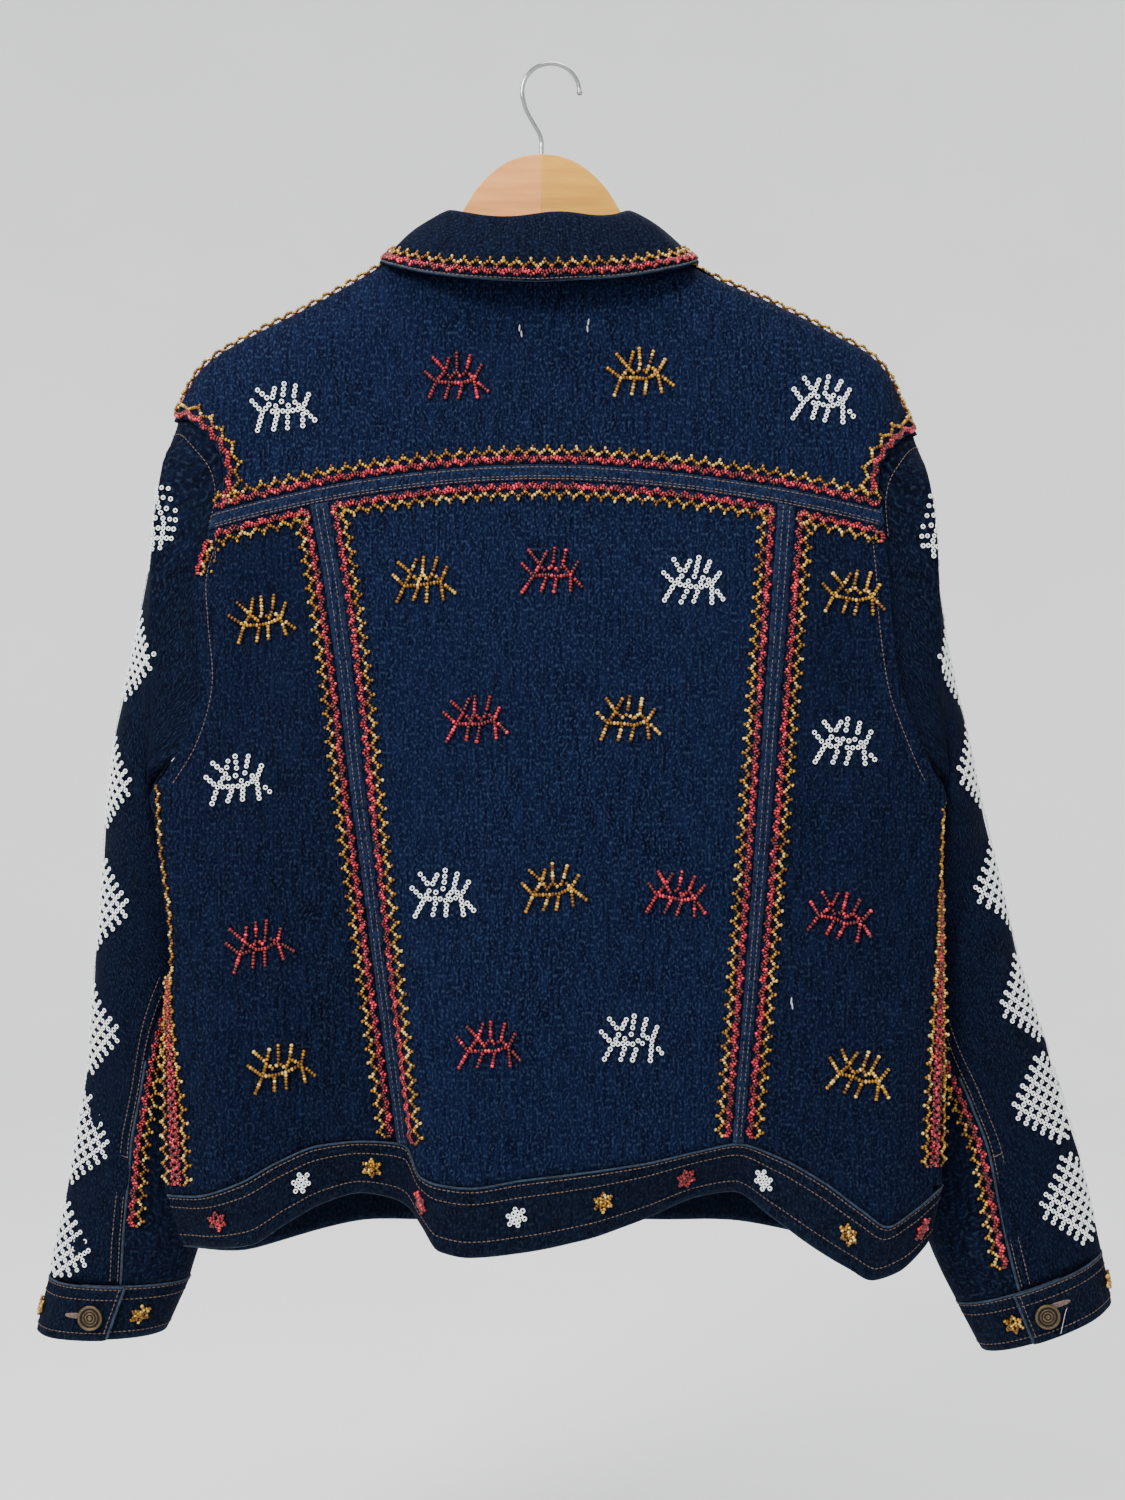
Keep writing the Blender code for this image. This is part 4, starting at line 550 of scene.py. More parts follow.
def sleeve_point(side, position, angle):
    """Outer surface of a sleeve: ring number, and degrees from its outer edge round its back."""
    rings = rings_of(side)
    position, angle = np.broadcast_arrays(np.asarray(position, float), np.asarray(angle, float))
    shape = position.shape
    position, angle = position.ravel(), angle.ravel()
    edges = ring_edges(rings, position)
    point = ring_point(edges, angle)
    flank = np.sin(np.radians(angle)) ** 2
    blend = smoothstep(1 - position / (CAP_UNDERARM_RINGS + (CAP_BLEND_RINGS - CAP_UNDERARM_RINGS) * flank))
    side_reach = CAP_SIDE_UNDERARM_RINGS + (CAP_SIDE_RINGS - CAP_SIDE_UNDERARM_RINGS) * flank
    away = armhole_point(side, angle) - ring_point(ring_edges(rings, np.zeros_like(position)), angle)
    point += away * np.stack([smoothstep(1 - position / side_reach), blend, blend], -1)
    height = waver(position * 45, angle * 0.8, 60, 0.8, f"sleeve{side}")
    for crease in CREASES + FINE_CREASES:
        shift = 0.35 if side > 0 and crease in FINE_CREASES else 0.0
        turn = (angle - crease.angle + 180) % 360 - 180
        across = ((position - crease.ring - shift + turn / 120) / crease.rings) ** 2
        height = height + crease.height * np.exp(-across - (turn / crease.degrees) ** 2)
    middle = (ring_point(edges, np.full_like(angle, 90)) + ring_point(edges, np.full_like(angle, 270))) / 2
    end_fade = smoothstep((LAST_RING - position) / 0.6) * 0.8 + 0.2
    point += unit(point - middle) * (height * (1 - blend) * end_fade)[:, None]
    inside = side * (body_side(side, point[:, 2]) - point[:, 0])
    near = smoothstep(inside / SLEEVE_TUCK + 1) * smoothstep((UNDERARM_TOP - point[:, 2]) / UNDERARM_FADE)
    limit = front_y(point[:, 0], point[:, 2]) + SLEEVE_CLEARANCE
    point[:, 1] += np.maximum(0.0, limit - point[:, 1]) * near
    return point.reshape(shape + (3,))


def cuff_point(side, down, angle, rise=0.0):
    rings, cuff = (SLEEVE_LEFT, CUFF_LEFT) if side < 0 else (SLEEVE_RIGHT, CUFF_RIGHT)
    down, angle, rise = np.broadcast_arrays(
        np.asarray(down, float), np.asarray(angle, float), np.asarray(rise, float)
    )
    mixed = [a + (b - a) * down for a, b in zip(rings[-1], cuff)]
    _, out_x, out_z, out_y, in_x, in_z, in_y, depth, seam = mixed
    edges = (np.stack([out_x, out_y, out_z], -1), np.stack([in_x, in_y, in_z], -1), depth, seam)
    point = ring_point(edges, angle)
    middle = (edges[0] + edges[1]) / 2
    return point + unit(point - middle) * rise[..., None]


def cuff_lap(side):
    return rings_of(side)[-1].seam + CUFF_LAP_START


def cuff_over(turned):
    return (DOUBLED_DENIM + CUFF_LAP_GAP) * (1 - smoothstep((turned - CUFF_LAP_ANGLE) / CUFF_LAP_EASE - 0.15))


# Surfaces of the collar and the waistband.
def collar_lines(position):
    position = np.asarray(position, float)
    side = np.where(position < 0, -1.0, 1.0)

    def read(column):
        return smooth(COLLAR, "number", column, np.abs(position))

    fade = smoothstep((COLLAR_SHOULDER - np.abs(position)) / COLLAR_WAVE_REACH)
    wave = COLLAR_WAVE * np.sin(position * 2.3 + 0.6) * fade
    fold = np.stack([NECK_X + side * read("fold_x"), read("fold_y"), read("fold_z") + wave], -1)
    edge = np.stack([NECK_X + side * read("edge_x"), read("edge_y"), read("edge_z")], -1)
    return fold, edge


def leaf_point(position, down):
    position, down = np.broadcast_arrays(np.asarray(position, float), np.asarray(down, float))
    fold, edge = collar_lines(position)
    point = fold + (edge - fold) * down[..., None]
    outward = point - np.array([NECK_X, 0, 0])
    outward[..., 2] = 0
    bulge = np.sin(math.pi * np.clip(down, 0, 1) ** 0.7) + waver(position * 30, down * 45, 40, 0.12, "leaf")
    lift = np.zeros_like(point)
    lift[..., 2] = bulge * LEAF_LIFT
    return point + unit(outward) * (bulge * LEAF_BULGE)[..., None] + lift


def neck_seam(position):
    side = np.where(position < 0, -1.0, 1.0)
    reach = np.abs(position)
    neck_z = shoulder_ridge(NECK_X - NECK_HALF_WIDTH)[0]
    turn = np.minimum(reach / COLLAR_SHOULDER, 1) * math.pi / 2
    ahead = np.clip((reach - COLLAR_SHOULDER) / (COLLAR_END - COLLAR_SHOULDER), 0, 1) * math.pi / 2
    behind = reach <= COLLAR_SHOULDER
    x = NECK_X + side * NECK_HALF_WIDTH * np.where(behind, np.sin(turn), np.cos(ahead))
    z = neck_z - np.where(behind, NECK_BACK_DROP * np.cos(turn) ** 2, NECK_FRONT_DROP * np.sin(ahead))
    y = np.where(behind, back_y(x, z), front_y(x, z))
    inward = unit(np.stack([NECK_X - x, -y, np.zeros_like(x)], -1))
    point = np.stack([x, y, z + STAND_FOOT_RISE], -1)
    return point + inward * np.where(behind, STAND_FOOT_BACK, STAND_FOOT_FRONT)[..., None]


def front_hem(side, x):
    share = smoothstep((np.abs(x - NECK_X) - FRONT_HEM_START) / FRONT_HEM_REACH)
    return FRONT_HEM + (hem_end(side).top - FRONT_HEM) * share


def lap_rise(side, x):
    if side > 0:
        return x * 0.0
    return (DENIM + SEAM_GAP * 2) * smoothstep((x - NECK_X + FRONT_LAP + FRONT_LAP_RAMP) / FRONT_LAP_RAMP)


def waist_stop(x, view, down):
    """A point of the waistband: 0 down is its upper edge, and 1 its lower edge."""
    half = 1 if x > NECK_X else -1
    if view == "back":
        top, bottom = smooth(HEM, "x", "top", x), smooth(HEM, "x", "bottom", x)
        y = back_y(x, top)
        tuck = min(MOST_TUCK, TUCK_RATE * max(0.0, BAND_HEIGHT - (top - bottom)))
    else:
        end = hem_end(half)
        top = front_hem(half, x)
        share = smoothstep((abs(x - NECK_X) - FRONT_BAND_START) / FRONT_BAND_REACH)
        bottom = top - BAND_HEIGHT + (BAND_HEIGHT - (end.top - end.bottom)) * share
        y = front_y(x, top)
        tuck = FRONT_TUCK
        if view == "left":
            y += lap_rise(-1, x) * BAND_LAP
    fade = smoothstep((abs(x - NECK_X) - TAPER_START) / TAPER_REACH)
    side = smoothstep((TUCK_SIDE - abs(x - NECK_X)) / TUCK_SIDE_REACH)
    upper = np.array([x, y, top - SEAM_GAP])
    lower = np.array([x - half * BAND_TAPER * fade, y + tuck * side, bottom])
    return upper + (lower - upper) * down


@functools.lru_cache(maxsize=None)
def waist_stops():
    """Where the waistband's columns stand, from the left front's edge round the back to the right front's edge."""
    left_end, right_end = NECK_X + FRONT_LAP, NECK_X - FRONT_LAP
    stops = [(x, "left") for x in np.linspace(left_end, HEM[0].x + WAIST_SIDE_GAP, WAIST_FRONT_STOPS)]
    xs = [HEM[0].x]
    for a, b in zip(HEM, HEM[1:]):
        count = 8 if b.x - a.x > 16 else 5
        xs += [a.x + (b.x - a.x) * (i + 1) / count for i in range(count)]
    stops += [(x, "back") for x in xs[1:]]
    stops += [(x, "right") for x in np.linspace(HEM[-1].x - WAIST_SIDE_GAP, right_end, WAIST_FRONT_STOPS)]
    return tuple(stops)


@functools.lru_cache(maxsize=None)
def waist_grid(rows):
    return np.array([
        [waist_stop(x, view, down) for x, view in waist_stops()] for down in np.linspace(0, 1, rows + 1)
    ])


# Building meshes.
WORN_REACH = 2.2
WORN_EVERYWHERE = 0.25
TUBE_TIP = 0.3
ASKEW = np.array([0.31, 0.83, 0.47])


def link(name, data):
    made = bpy.data.objects.new(name, data)
    bpy.context.scene.collection.objects.link(made)
    return made


def mesh_of(name, points, faces):
    mesh = bpy.data.meshes.new(name)
    mesh.vertices.add(len(points))
    mesh.vertices.foreach_set("co", (np.asarray(points) * MM).astype(np.float32).ravel())
    mesh.loops.add(faces.size)
    mesh.loops.foreach_set("vertex_index", faces.astype(np.int32).ravel())
    mesh.polygons.add(len(faces))
    mesh.polygons.foreach_set("loop_start", np.arange(0, faces.size, faces.shape[1], dtype=np.int32))
    mesh.update(calc_edges=True)
    mesh.validate()
    mesh.shade_smooth()
    return mesh


def mark(mesh, name, values):
    """One number for each point of a mesh, for its material to read."""
    layer = mesh.attributes.new(name, "FLOAT", "POINT")
    layer.data.foreach_set("value", np.asarray(values).astype(np.float32).ravel())


def place_piece(name, mesh, finish):
    made = link(name, mesh)
    made.data.materials.append(finish)
    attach(made, "root")
    return made


def grid_faces(rows, columns, turned):
    start = (np.arange(rows - 1)[:, None] * columns + np.arange(columns - 1)[None]).ravel()
    faces = np.stack([start, start + 1, start + columns + 1, start + columns], -1)
    return faces[:, ::-1] if turned else faces


def ring_faces(rings, sides):
    """Faces between closed rings of points."""
    start = np.arange(rings - 1)[:, None] * sides
    one, two = np.arange(sides)[None], (np.arange(sides)[None] + 1) % sides
    return np.stack([start + one, start + sides + one, start + sides + two, start + two], -1).reshape(-1, 4)


def grid_normals(grid, turned):
    normal = unit(np.cross(np.gradient(grid, axis=1), np.gradient(grid, axis=0)))
    return -normal if turned else normal


def worn_edges(grid, amount):
    """How worn each point of a band of cloth is: most at its borders."""
    across = np.linalg.norm(np.diff(grid, axis=1), axis=2)
    down = np.linalg.norm(np.diff(grid, axis=0), axis=2)
    left = np.concatenate([np.zeros((len(grid), 1)), np.cumsum(across, axis=1)], axis=1)
    top = np.concatenate([np.zeros((1, grid.shape[1])), np.cumsum(down, axis=0)], axis=0)
    near = np.minimum(np.minimum(left, left[:, -1:] - left), np.minimum(top, top[-1:] - top))
    return amount * (WORN_EVERYWHERE + (1 - WORN_EVERYWHERE) * np.exp(-((near / WORN_REACH) ** 2)))


def shell(name, grid, wall, finish, turned, grain, stands_for, wear=0.0):
    """A thin wall of cloth on a grid of points, with its thread's run as UV, that stands for a node."""
    rows, columns = grid.shape[:2]
    mesh = mesh_of(name, grid.reshape(-1, 3), grid_faces(rows, columns, turned))
    layer = mesh.uv_layers.new(name="grain")
    corners = np.empty(len(mesh.loops), dtype=np.int32)
    mesh.loops.foreach_get("vertex_index", corners)
    layer.data.foreach_set("uv", (grain.reshape(-1, 2)[corners] * MM).astype(np.float32).ravel())
    if wear:
        mark(mesh, "wear", worn_edges(grid, wear))
    made = place_piece(name, mesh, finish)
    thick = made.modifiers.new("wall", "SOLIDIFY")
    thick.thickness = wall * MM
    thick.offset = -1
    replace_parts(made, stands_for)


def run_of(grid):
    """Mean lengths across and down a grid, as the run of its threads."""
    across = np.linalg.norm(np.diff(grid, axis=1), axis=2).mean(axis=0)
    down = np.linalg.norm(np.diff(grid, axis=0), axis=2).mean(axis=1)
    u = np.concatenate([[0], np.cumsum(across)])
    v = np.concatenate([[0], np.cumsum(down)])
    return np.stack(np.meshgrid(u, -v), -1)


def tube(name, line, radius, finish, sides=6):
    """A thin round edge along a line, with narrow ends."""
    line = np.asarray(line, float)
    along = unit(np.gradient(line, axis=0))
    side = unit(np.cross(along, ASKEW))
    up = np.cross(along, side)
    turns = np.linspace(0, 2 * math.pi, sides, endpoint=False)
    radii = radius * np.ones(len(line))
    radii[[0, -1]] *= TUBE_TIP
    ring = side[:, None] * np.cos(turns)[None, :, None] + up[:, None] * np.sin(turns)[None, :, None]
    points = (line[:, None] + ring * radii[:, None, None]).reshape(-1, 3)
    place_piece(name, mesh_of(name, points, ring_faces(len(line), sides)), finish)


# Small things in large numbers: each kind gathers places, and becomes one joined mesh.
SEED_RADIUS = 1.4
SEED_PITCH = 2.15
SEED_CLEAR = 1.6
SPRIG_SEED = 1.13
DONUT_RADIUS = 1.78
DONUT_PITCH = 3.45
DONUT_CLEAR = 2.8
DONUT_WALL = 0.31
DONUT_LIFT = 0.75
STITCH_PITCH = 3.1
STITCH_HALF = (1.15, 0.3, 0.32)
MARK_HALF = (2.3, 0.35, 0.45)
UNEVEN_SIZE = 0.07
PAINTED_GLINT_POWER = 2.2
STEP = 0.4


def turned_shape(profile, sides):
    """Points and triangles of a closed turned form round X."""
    turns = np.linspace(0, 2 * math.pi, sides, endpoint=False)
    points = [(x, r * math.cos(t), r * math.sin(t)) for x, r in profile for t in turns]
    faces = []
    for ring in range(len(profile) - 1):
        for i in range(sides):
            a, b = ring * sides + i, ring * sides + (i + 1) % sides
            faces += [(a, b, b + sides), (a, b + sides, a + sides)]
    last = (len(profile) - 1) * sides
    for i in range(1, sides - 1):
        faces += [(0, i + 1, i), (last, last + i, last + i + 1)]
    return np.array(points), np.array(faces)


def ring_shape(wall, sides, wall_sides):
    """Points and triangles of a ring round X, 1 to its outer edge."""
    points, faces = [], []
    for i in range(sides):
        turn = 2 * math.pi * i / sides
        for j in range(wall_sides):
            lean = 2 * math.pi * (j + 0.5) / wall_sides
            r = 1 - wall + wall * math.cos(lean)
            points.append((wall * 1.05 * math.sin(lean), r * math.cos(turn), r * math.sin(turn)))
            a, b = i * wall_sides + j, i * wall_sides + (j + 1) % wall_sides
            c, d = (a + wall_sides) % (sides * wall_sides), (b + wall_sides) % (sides * wall_sides)
            faces += [(a, b, d), (a, d, c)]
    return np.array(points), np.array(faces)


SEED = turned_shape(((-0.62, 0.55), (0, 1), (0.62, 0.55)), 6)
DONUT = ring_shape(DONUT_WALL, 9, 4)
STITCH = turned_shape(((-1, 0.3), (-0.55, 1), (0.55, 1), (1, 0.3)), 4)
gathered = {}


def gather(kind, points, axis, normals):
    """Adds places to a kind: where, the way its own X points, and the way out of the cloth."""
    points = np.asarray(points, float).reshape(-1, 3)
    gathered.setdefault(kind, []).append((points, unit(axis).reshape(-1, 3), unit(normals).reshape(-1, 3)))


def strew(kind, shape, size, finish):
    """One joined mesh of a kind's places. Size is half of the length, height and width of each."""
    points, axis, normals = (np.concatenate(part) for part in zip(*gathered[kind]))
    width = unit(np.cross(axis, normals))
    normals = np.cross(width, axis)
    dice = np.random.default_rng(len(points))
    vary = 1 + dice.uniform(-UNEVEN_SIZE, UNEVEN_SIZE, (len(points), 1, 1))
    template = shape[0] * np.array(size)
    all_points = points[:, None] + vary * (
        template[None, :, 0:1] * axis[:, None]
        + template[None, :, 1:2] * normals[:, None]
        + template[None, :, 2:3] * width[:, None]
    )
    faces = shape[1][None] + (np.arange(len(points)) * len(template))[:, None, None]
    mesh = mesh_of(kind, all_points.reshape(-1, 3), faces.reshape(-1, 3))
    # A random painted glint for each bead: its material turns it into a painted highlight.
    mark(mesh, "painted_glint", np.repeat(dice.uniform(0, 1, len(points)) ** PAINTED_GLINT_POWER, len(template)))
    place_piece(kind, mesh, finish)


def frames_at(place, s, h, outward):
    """Points of a surface with their way along and their way out."""
    points = place(s, h)
    along = place(s + STEP, h) - place(s - STEP, h)
    across = place(s, h + STEP) - place(s, h - STEP)
    normals = unit(np.cross(along, across))
    flip = np.sign((normals * outward(points)).sum(-1, keepdims=True))
    return points, unit(along), normals * np.where(flip == 0, 1, flip)


def string_beads(kind, place, s, h, outward, pitch, lift, donut=False):
    """Beads in a row along a line of (s, h) on a surface."""
    along = lengths(place(s, h))
    count = max(1, int(round(along[-1] / pitch)))
    at = np.linspace(0, along[-1], count + 1) if donut else (np.arange(count) + 0.5) / count * along[-1]
    s, h = np.interp(at, along, s), np.interp(at, along, h)
    points, _, normals = frames_at(place, s, h, outward)
    way = np.gradient(points, axis=0)
    gather(kind, points + normals * lift, normals if donut else way, way if donut else normals)


# An edging's rows: where each runs, how far it swings with the arches and with the wave between them.
Row = namedtuple("Row", "colour height arch wave power")
ONE_SIDED = (Row("red", 4.1, -3.0, 0, 1), Row("red", 5.5, -2.3, 0, 1), Row("gold", 6.4, 3.9, 0, 0.85))
BOTH_SIDED = (
    Row("gold", 2.6, -2.6, 0, 1), Row("red", 6.4, 0, 2.7, 1), Row("red", 6.4, 0, -2.7, 1),
    Row("red", 6.4, 0, 1.2, 1), Row("gold", 10.2, 2.9, 0, 1),
)
BOTH_MIDDLE = 6.4
SCALLOP = 9.4
SCALLOP_STEPS = 10
PICOT = 1.5
EDGING_LIFT = SEED_RADIUS * 0.7
PICOT_AXIS = [0.3, 0.2, 0.9]


def scallops(prefix, place, start, end, outward, table=ONE_SIDED, squeeze=1.0):
    """The bead edging: red rows next to the seam, gold arches over them, and a bead on each crest."""
    count = max(1, round((end - start) / SCALLOP))
    s = np.linspace(start, end, count * SCALLOP_STEPS + 1)
    turn = (s - start) / (end - start) * count * math.pi
    arch = 1 - np.abs(2 * (turn / math.pi % 1) - 1)
    wave = np.cos(turn * 2)
    for row in table:
        h = row.height + row.arch * arch**row.power + row.wave * wave
        string_beads(f"{prefix}_{row.colour}", place, s, h * squeeze, outward, SEED_PITCH, EDGING_LIFT)
    crests = start + (np.arange(count) + 0.5) * (end - start) / count
    for row in reversed(table):
        if row.colour == "gold":
            top = row.height + row.arch + PICOT * np.sign(row.arch)
            points, _, normals = frames_at(place, crests, top * np.ones(count), outward)
            gather(f"{prefix}_gold", points + normals * EDGING_LIFT, np.cross(normals, PICOT_AXIS), normals)


def stitch(kind, place, s, h, outward, lift=0.25):
    """A line of topstitches."""
    h = h * np.ones(len(s))
    along = lengths(place(s, h))
    count = int(along[-1] / STITCH_PITCH)
    at = (np.arange(count) + 0.5) / count * along[-1]
    s, h = np.interp(at, along, s), np.interp(at, along, h)
    points, _, normals = frames_at(place, s, h, outward)
    gather(kind, points + normals * lift, np.gradient(points, axis=0), normals)


BESIDE_MARGIN = 10


def beside(line, sign, lift=on_back):
    """A surface beside a flat line: along it, and to one side of it. Gives its length too."""
    line = np.asarray(line, float)
    along = lengths(line)
    way = unit(np.gradient(line, axis=0))
    aside = np.stack([-way[:, 1], way[:, 0]], -1) * sign
    ends = (line[0] - way[0] * BESIDE_MARGIN, line[-1] + way[-1] * BESIDE_MARGIN)
    line = np.concatenate([[ends[0]], line, [ends[1]]])
    aside = np.concatenate([aside[:1], aside, aside[-1:]])
    along = np.concatenate([[-BESIDE_MARGIN], along, [along[-1] + BESIDE_MARGIN]])

    def place(s, h):
        return lift(np.stack([
            np.interp(s, along, line[:, i]) + np.interp(s, along, aside[:, i]) * h for i in (0, 1)
        ], -1))

    return place, along[-1] - BESIDE_MARGIN


def towards(x, y, z):
    """The same way out for every point."""
    return lambda points: np.broadcast_to(np.array([x, y, z], float), points.shape)


backwards, upwards, forwards = towards(0, -1, 0), towards(0, -0.1, 1), towards(0, 1, 0)
NECK_LEAN = 20


def from_neck(points):
    """Away from the neck's middle, and up."""
    away = points - np.array([NECK_X, 0, 0])
    away[..., 2] = NECK_LEAN
    return away


def from_wrist(side):
    centre = cuff_point(side, 0.5, np.array([90.0, 270.0])).mean(axis=0)
    return lambda points: points - centre


# Materials.
MIX_SHARE, MIX_FIRST, MIX_SECOND, MIX_RESULT = 0, 6, 7, 2


def new_material(name, roughness, metallic=0.0, coat=0.0, coat_roughness=0.0):
    made = bpy.data.materials.new(name)
    made.use_nodes = True
    tree = made.node_tree
    shader = tree.nodes["Principled BSDF"]
    for socket, value in (
        ("Roughness", roughness), ("Metallic", metallic), ("Coat Weight", coat), ("Coat Roughness", coat_roughness)
    ):
        shader.inputs[socket].default_value = value
    return made, tree, shader


def node(tree, kind, **inputs):
    made = tree.nodes.new(kind)
    for key, value in inputs.items():
        made.inputs[key.replace("_", " ")].default_value = value
    return made


def mix_colours(tree, share, first, second):
    """A blend of two colours, each a tuple or a socket, by a number or a socket."""
    mixer = tree.nodes.new("ShaderNodeMix")
    mixer.data_type = "RGBA"
    for socket, value in ((MIX_SHARE, share), (MIX_FIRST, first), (MIX_SECOND, second)):
        if isinstance(value, bpy.types.NodeSocket):
            tree.links.new(value, mixer.inputs[socket])
        else:
            mixer.inputs[socket].default_value = (*value, 1) if isinstance(value, tuple) else value
    return mixer.outputs[MIX_RESULT]


def noise(tree, place, scale, size, detail, rough, low, high):
    """Noise of its own scale on each axis, its values from low to high spread over 0 to 1."""
    mapping = node(tree, "ShaderNodeMapping", Scale=scale)
    tree.links.new(place, mapping.inputs["Vector"])
    made = node(tree, "ShaderNodeTexNoise", Scale=size, Detail=detail, Roughness=rough)
    tree.links.new(mapping.outputs["Vector"], made.inputs["Vector"])
    spread = node(tree, "ShaderNodeMapRange", From_Min=low, From_Max=high)
    tree.links.new(made.outputs["Fac"], spread.inputs["Value"])
    return spread.outputs["Result"]


def maths(tree, operation, first, second):
    made = tree.nodes.new("ShaderNodeMath")
    made.operation = operation
    tree.links.new(first, made.inputs[0])
    if isinstance(second, float):
        made.inputs[1].default_value = second
    else:
        tree.links.new(second, made.inputs[1])
    return made.outputs[0]


def object_place(tree):
    return tree.nodes.new("ShaderNodeTexCoord").outputs["Object"]


def marked(tree, name):
    made = tree.nodes.new("ShaderNodeAttribute")
    made.attribute_name = name
    return made.outputs["Fac"]


def set_bump(tree, shader, height, strength, distance):
    bump = node(tree, "ShaderNodeBump", Strength=strength, Distance=distance)
    tree.links.new(height, bump.inputs["Height"])
    tree.links.new(bump.outputs["Normal"], shader.inputs["Normal"])


def denim_material(name, deep, light, worn):
    """Indigo denim: upright slubs, pale flecks of weft, soft uneven fading and pale worn edges."""
    made, tree, shader = new_material(name, 0.9)
    uv = tree.nodes.new("ShaderNodeUVMap")
    uv.uv_map = "grain"
    grain, place = uv.outputs["UV"], object_place(tree)
    slub = noise(tree, grain, (430, 46, 1), 1.0, 3, 0.6, 0.38, 0.66)
    weft = noise(tree, grain, (90, 560, 1), 1.0, 2, 0.6, 0.42, 0.70)
    fleck = noise(tree, grain, (640, 400, 1), 1.0, 1, 0.5, 0.50, 0.78)
    cloud = noise(tree, place, (1.6, 1, 0.7), 11.0, 5, 0.6, 0.32, 0.75)
    patchy = noise(tree, place, (1, 1, 1), 230.0, 3, 0.7, 0.35, 0.65)
    base = mix_colours(tree, slub, deep, light)
    for share, colour in (
        (maths(tree, "MULTIPLY", weft, 0.30), light), (maths(tree, "MULTIPLY", fleck, 0.62), worn),
        (maths(tree, "MULTIPLY", cloud, 0.30), light), (maths(tree, "MULTIPLY", marked(tree, "wear"), patchy), worn),
    ):
        base = mix_colours(tree, share, base, colour)
    tree.links.new(base, shader.inputs["Base Color"])
    set_bump(tree, shader, maths(tree, "ADD", slub, fleck), 0.6, 0.0005)
    shader.inputs["Sheen Weight"].default_value = 0.004
    shader.inputs["Sheen Tint"].default_value = (0.30, 0.45, 0.85, 1)
    shader.inputs["Specular IOR Level"].default_value = 0.05
    return made


def speckled_material(name, first, second, roughness, metallic=0.0, size=900, coat=0.0, bump_by=0.0):
    made, tree, shader = new_material(name, roughness, metallic, coat, 0.08)
    grain = noise(tree, object_place(tree), (1, 1, 1), size, 2, 0.6, 0.35, 0.7)
    tree.links.new(mix_colours(tree, grain, first, second), shader.inputs["Base Color"])
    if bump_by:
        set_bump(tree, shader, grain, 0.5, bump_by)
    return made


def glass_material(name, dark, mid, painted_glint_colour, roughness, metallic):
    """Seed beads: each is painted its own brightness, from its dark colour up to a painted glint, a highlight drawn
    into the colour in place of sparkle from small lamps.
    """
    made, tree, shader = new_material(name, roughness, metallic, 0.3, 0.06)
    colours = tree.nodes.new("ShaderNodeValToRGB")
    colours.color_ramp.elements[0].color = (*dark, 1)
    colours.color_ramp.elements[1].color = (*painted_glint_colour, 1)
    middle = colours.color_ramp.elements.new(0.45)
    middle.color = (*mid, 1)
    tree.links.new(marked(tree, "painted_glint"), colours.inputs["Fac"])
    grain = noise(tree, object_place(tree), (1, 1, 1), 700, 2, 0.6, 0.35, 0.65)
    base = mix_colours(tree, maths(tree, "MULTIPLY", grain, 0.55), colours.outputs["Color"], dark)
    tree.links.new(base, shader.inputs["Base Color"])
    return made


def bronze_material():
    """Antique bronze: dark patina in the grooves, rubbed metal on the rings."""
    made, tree, shader = new_material("antique_bronze", 0.42, 0.85)
    grain = noise(tree, object_place(tree), (1, 1, 1), 900, 2, 0.6, 0.35, 0.7)
    metal = mix_colours(tree, grain, (0.060, 0.042, 0.022), (0.150, 0.105, 0.058))
    base = mix_colours(tree, marked(tree, "rub"), (0.009, 0.007, 0.006), metal)
    tree.links.new(base, shader.inputs["Base Color"])
    return made


def wood_material(name, pale, dark):
    made, tree, shader = new_material(name, 0.38, 0.0, 0.12, 0.2)
    place = object_place(tree)
    rings = noise(tree, place, (14, 60, 150), 1.0, 5, 0.6, 0.35, 0.7)
    pores = noise(tree, place, (60, 900, 1500), 1.0, 2, 0.5, 0.55, 0.8)
    base = mix_colours(tree, rings, pale, dark)
    base = mix_colours(tree, 0.25, base, mix_colours(tree, pores, base, dark))
    tree.links.new(base, shader.inputs["Base Color"])
    set_bump(tree, shader, pores, 0.2, 0.0003)
    return made


# The plain denim, then copies of it drawn darker. The darkening is painted shade, in part or in whole, as noted for
# each.
DENIM_CLOTH, DENIM_SIDE_PAINTED_SHADE, DENIM_DARKER_PAINTED_SHADE, DENIM_BAND_DARKER_PAINTED_SHADE = (denim_material(*row) for row in (
    ("denim_cloth", (0.0001, 0.0004, 0.0056), (0.0027, 0.0061, 0.0245), (0.0265, 0.0435, 0.089)),
    # denim_side_painted_shade, for the back side panels and the fronts: painted shade, drawn darker than the centre
    # where less light falls.
    ("denim_side_painted_shade", (0.00008, 0.0003, 0.0040), (0.0019, 0.0044, 0.0178), (0.0195, 0.032, 0.065)),
    # denim_darker_painted_shade, for the sleeves and the collar leaf: partly a darker navy of the cloth, partly
    # painted shade where less light falls.
    ("denim_darker_painted_shade", (0.00007, 0.0003, 0.0033), (0.0016, 0.0036, 0.0136), (0.0165, 0.028, 0.053)),
    # denim_band_darker_painted_shade, for the waistband, cuffs, collar stand and front band: partly a darker navy of
    # the doubled cloth, partly painted shade where less light falls.
    ("denim_band_darker_painted_shade", (0.00005, 0.0002, 0.0024), (0.0010, 0.0024, 0.0098), (0.013, 0.023, 0.045)),
))
WORN_EDGE = speckled_material(
    "worn_denim_edge", (0.001, 0.004, 0.013), (0.013, 0.032, 0.068), 0.9, size=420, bump_by=0.0003
)
PALE_THREAD = speckled_material("pale_thread", (0.42, 0.40, 0.42), (0.60, 0.55, 0.55), 0.8, size=600)
THREAD = speckled_material("tan_thread", (0.060, 0.036, 0.028), (0.16, 0.100, 0.075), 0.75, size=800)
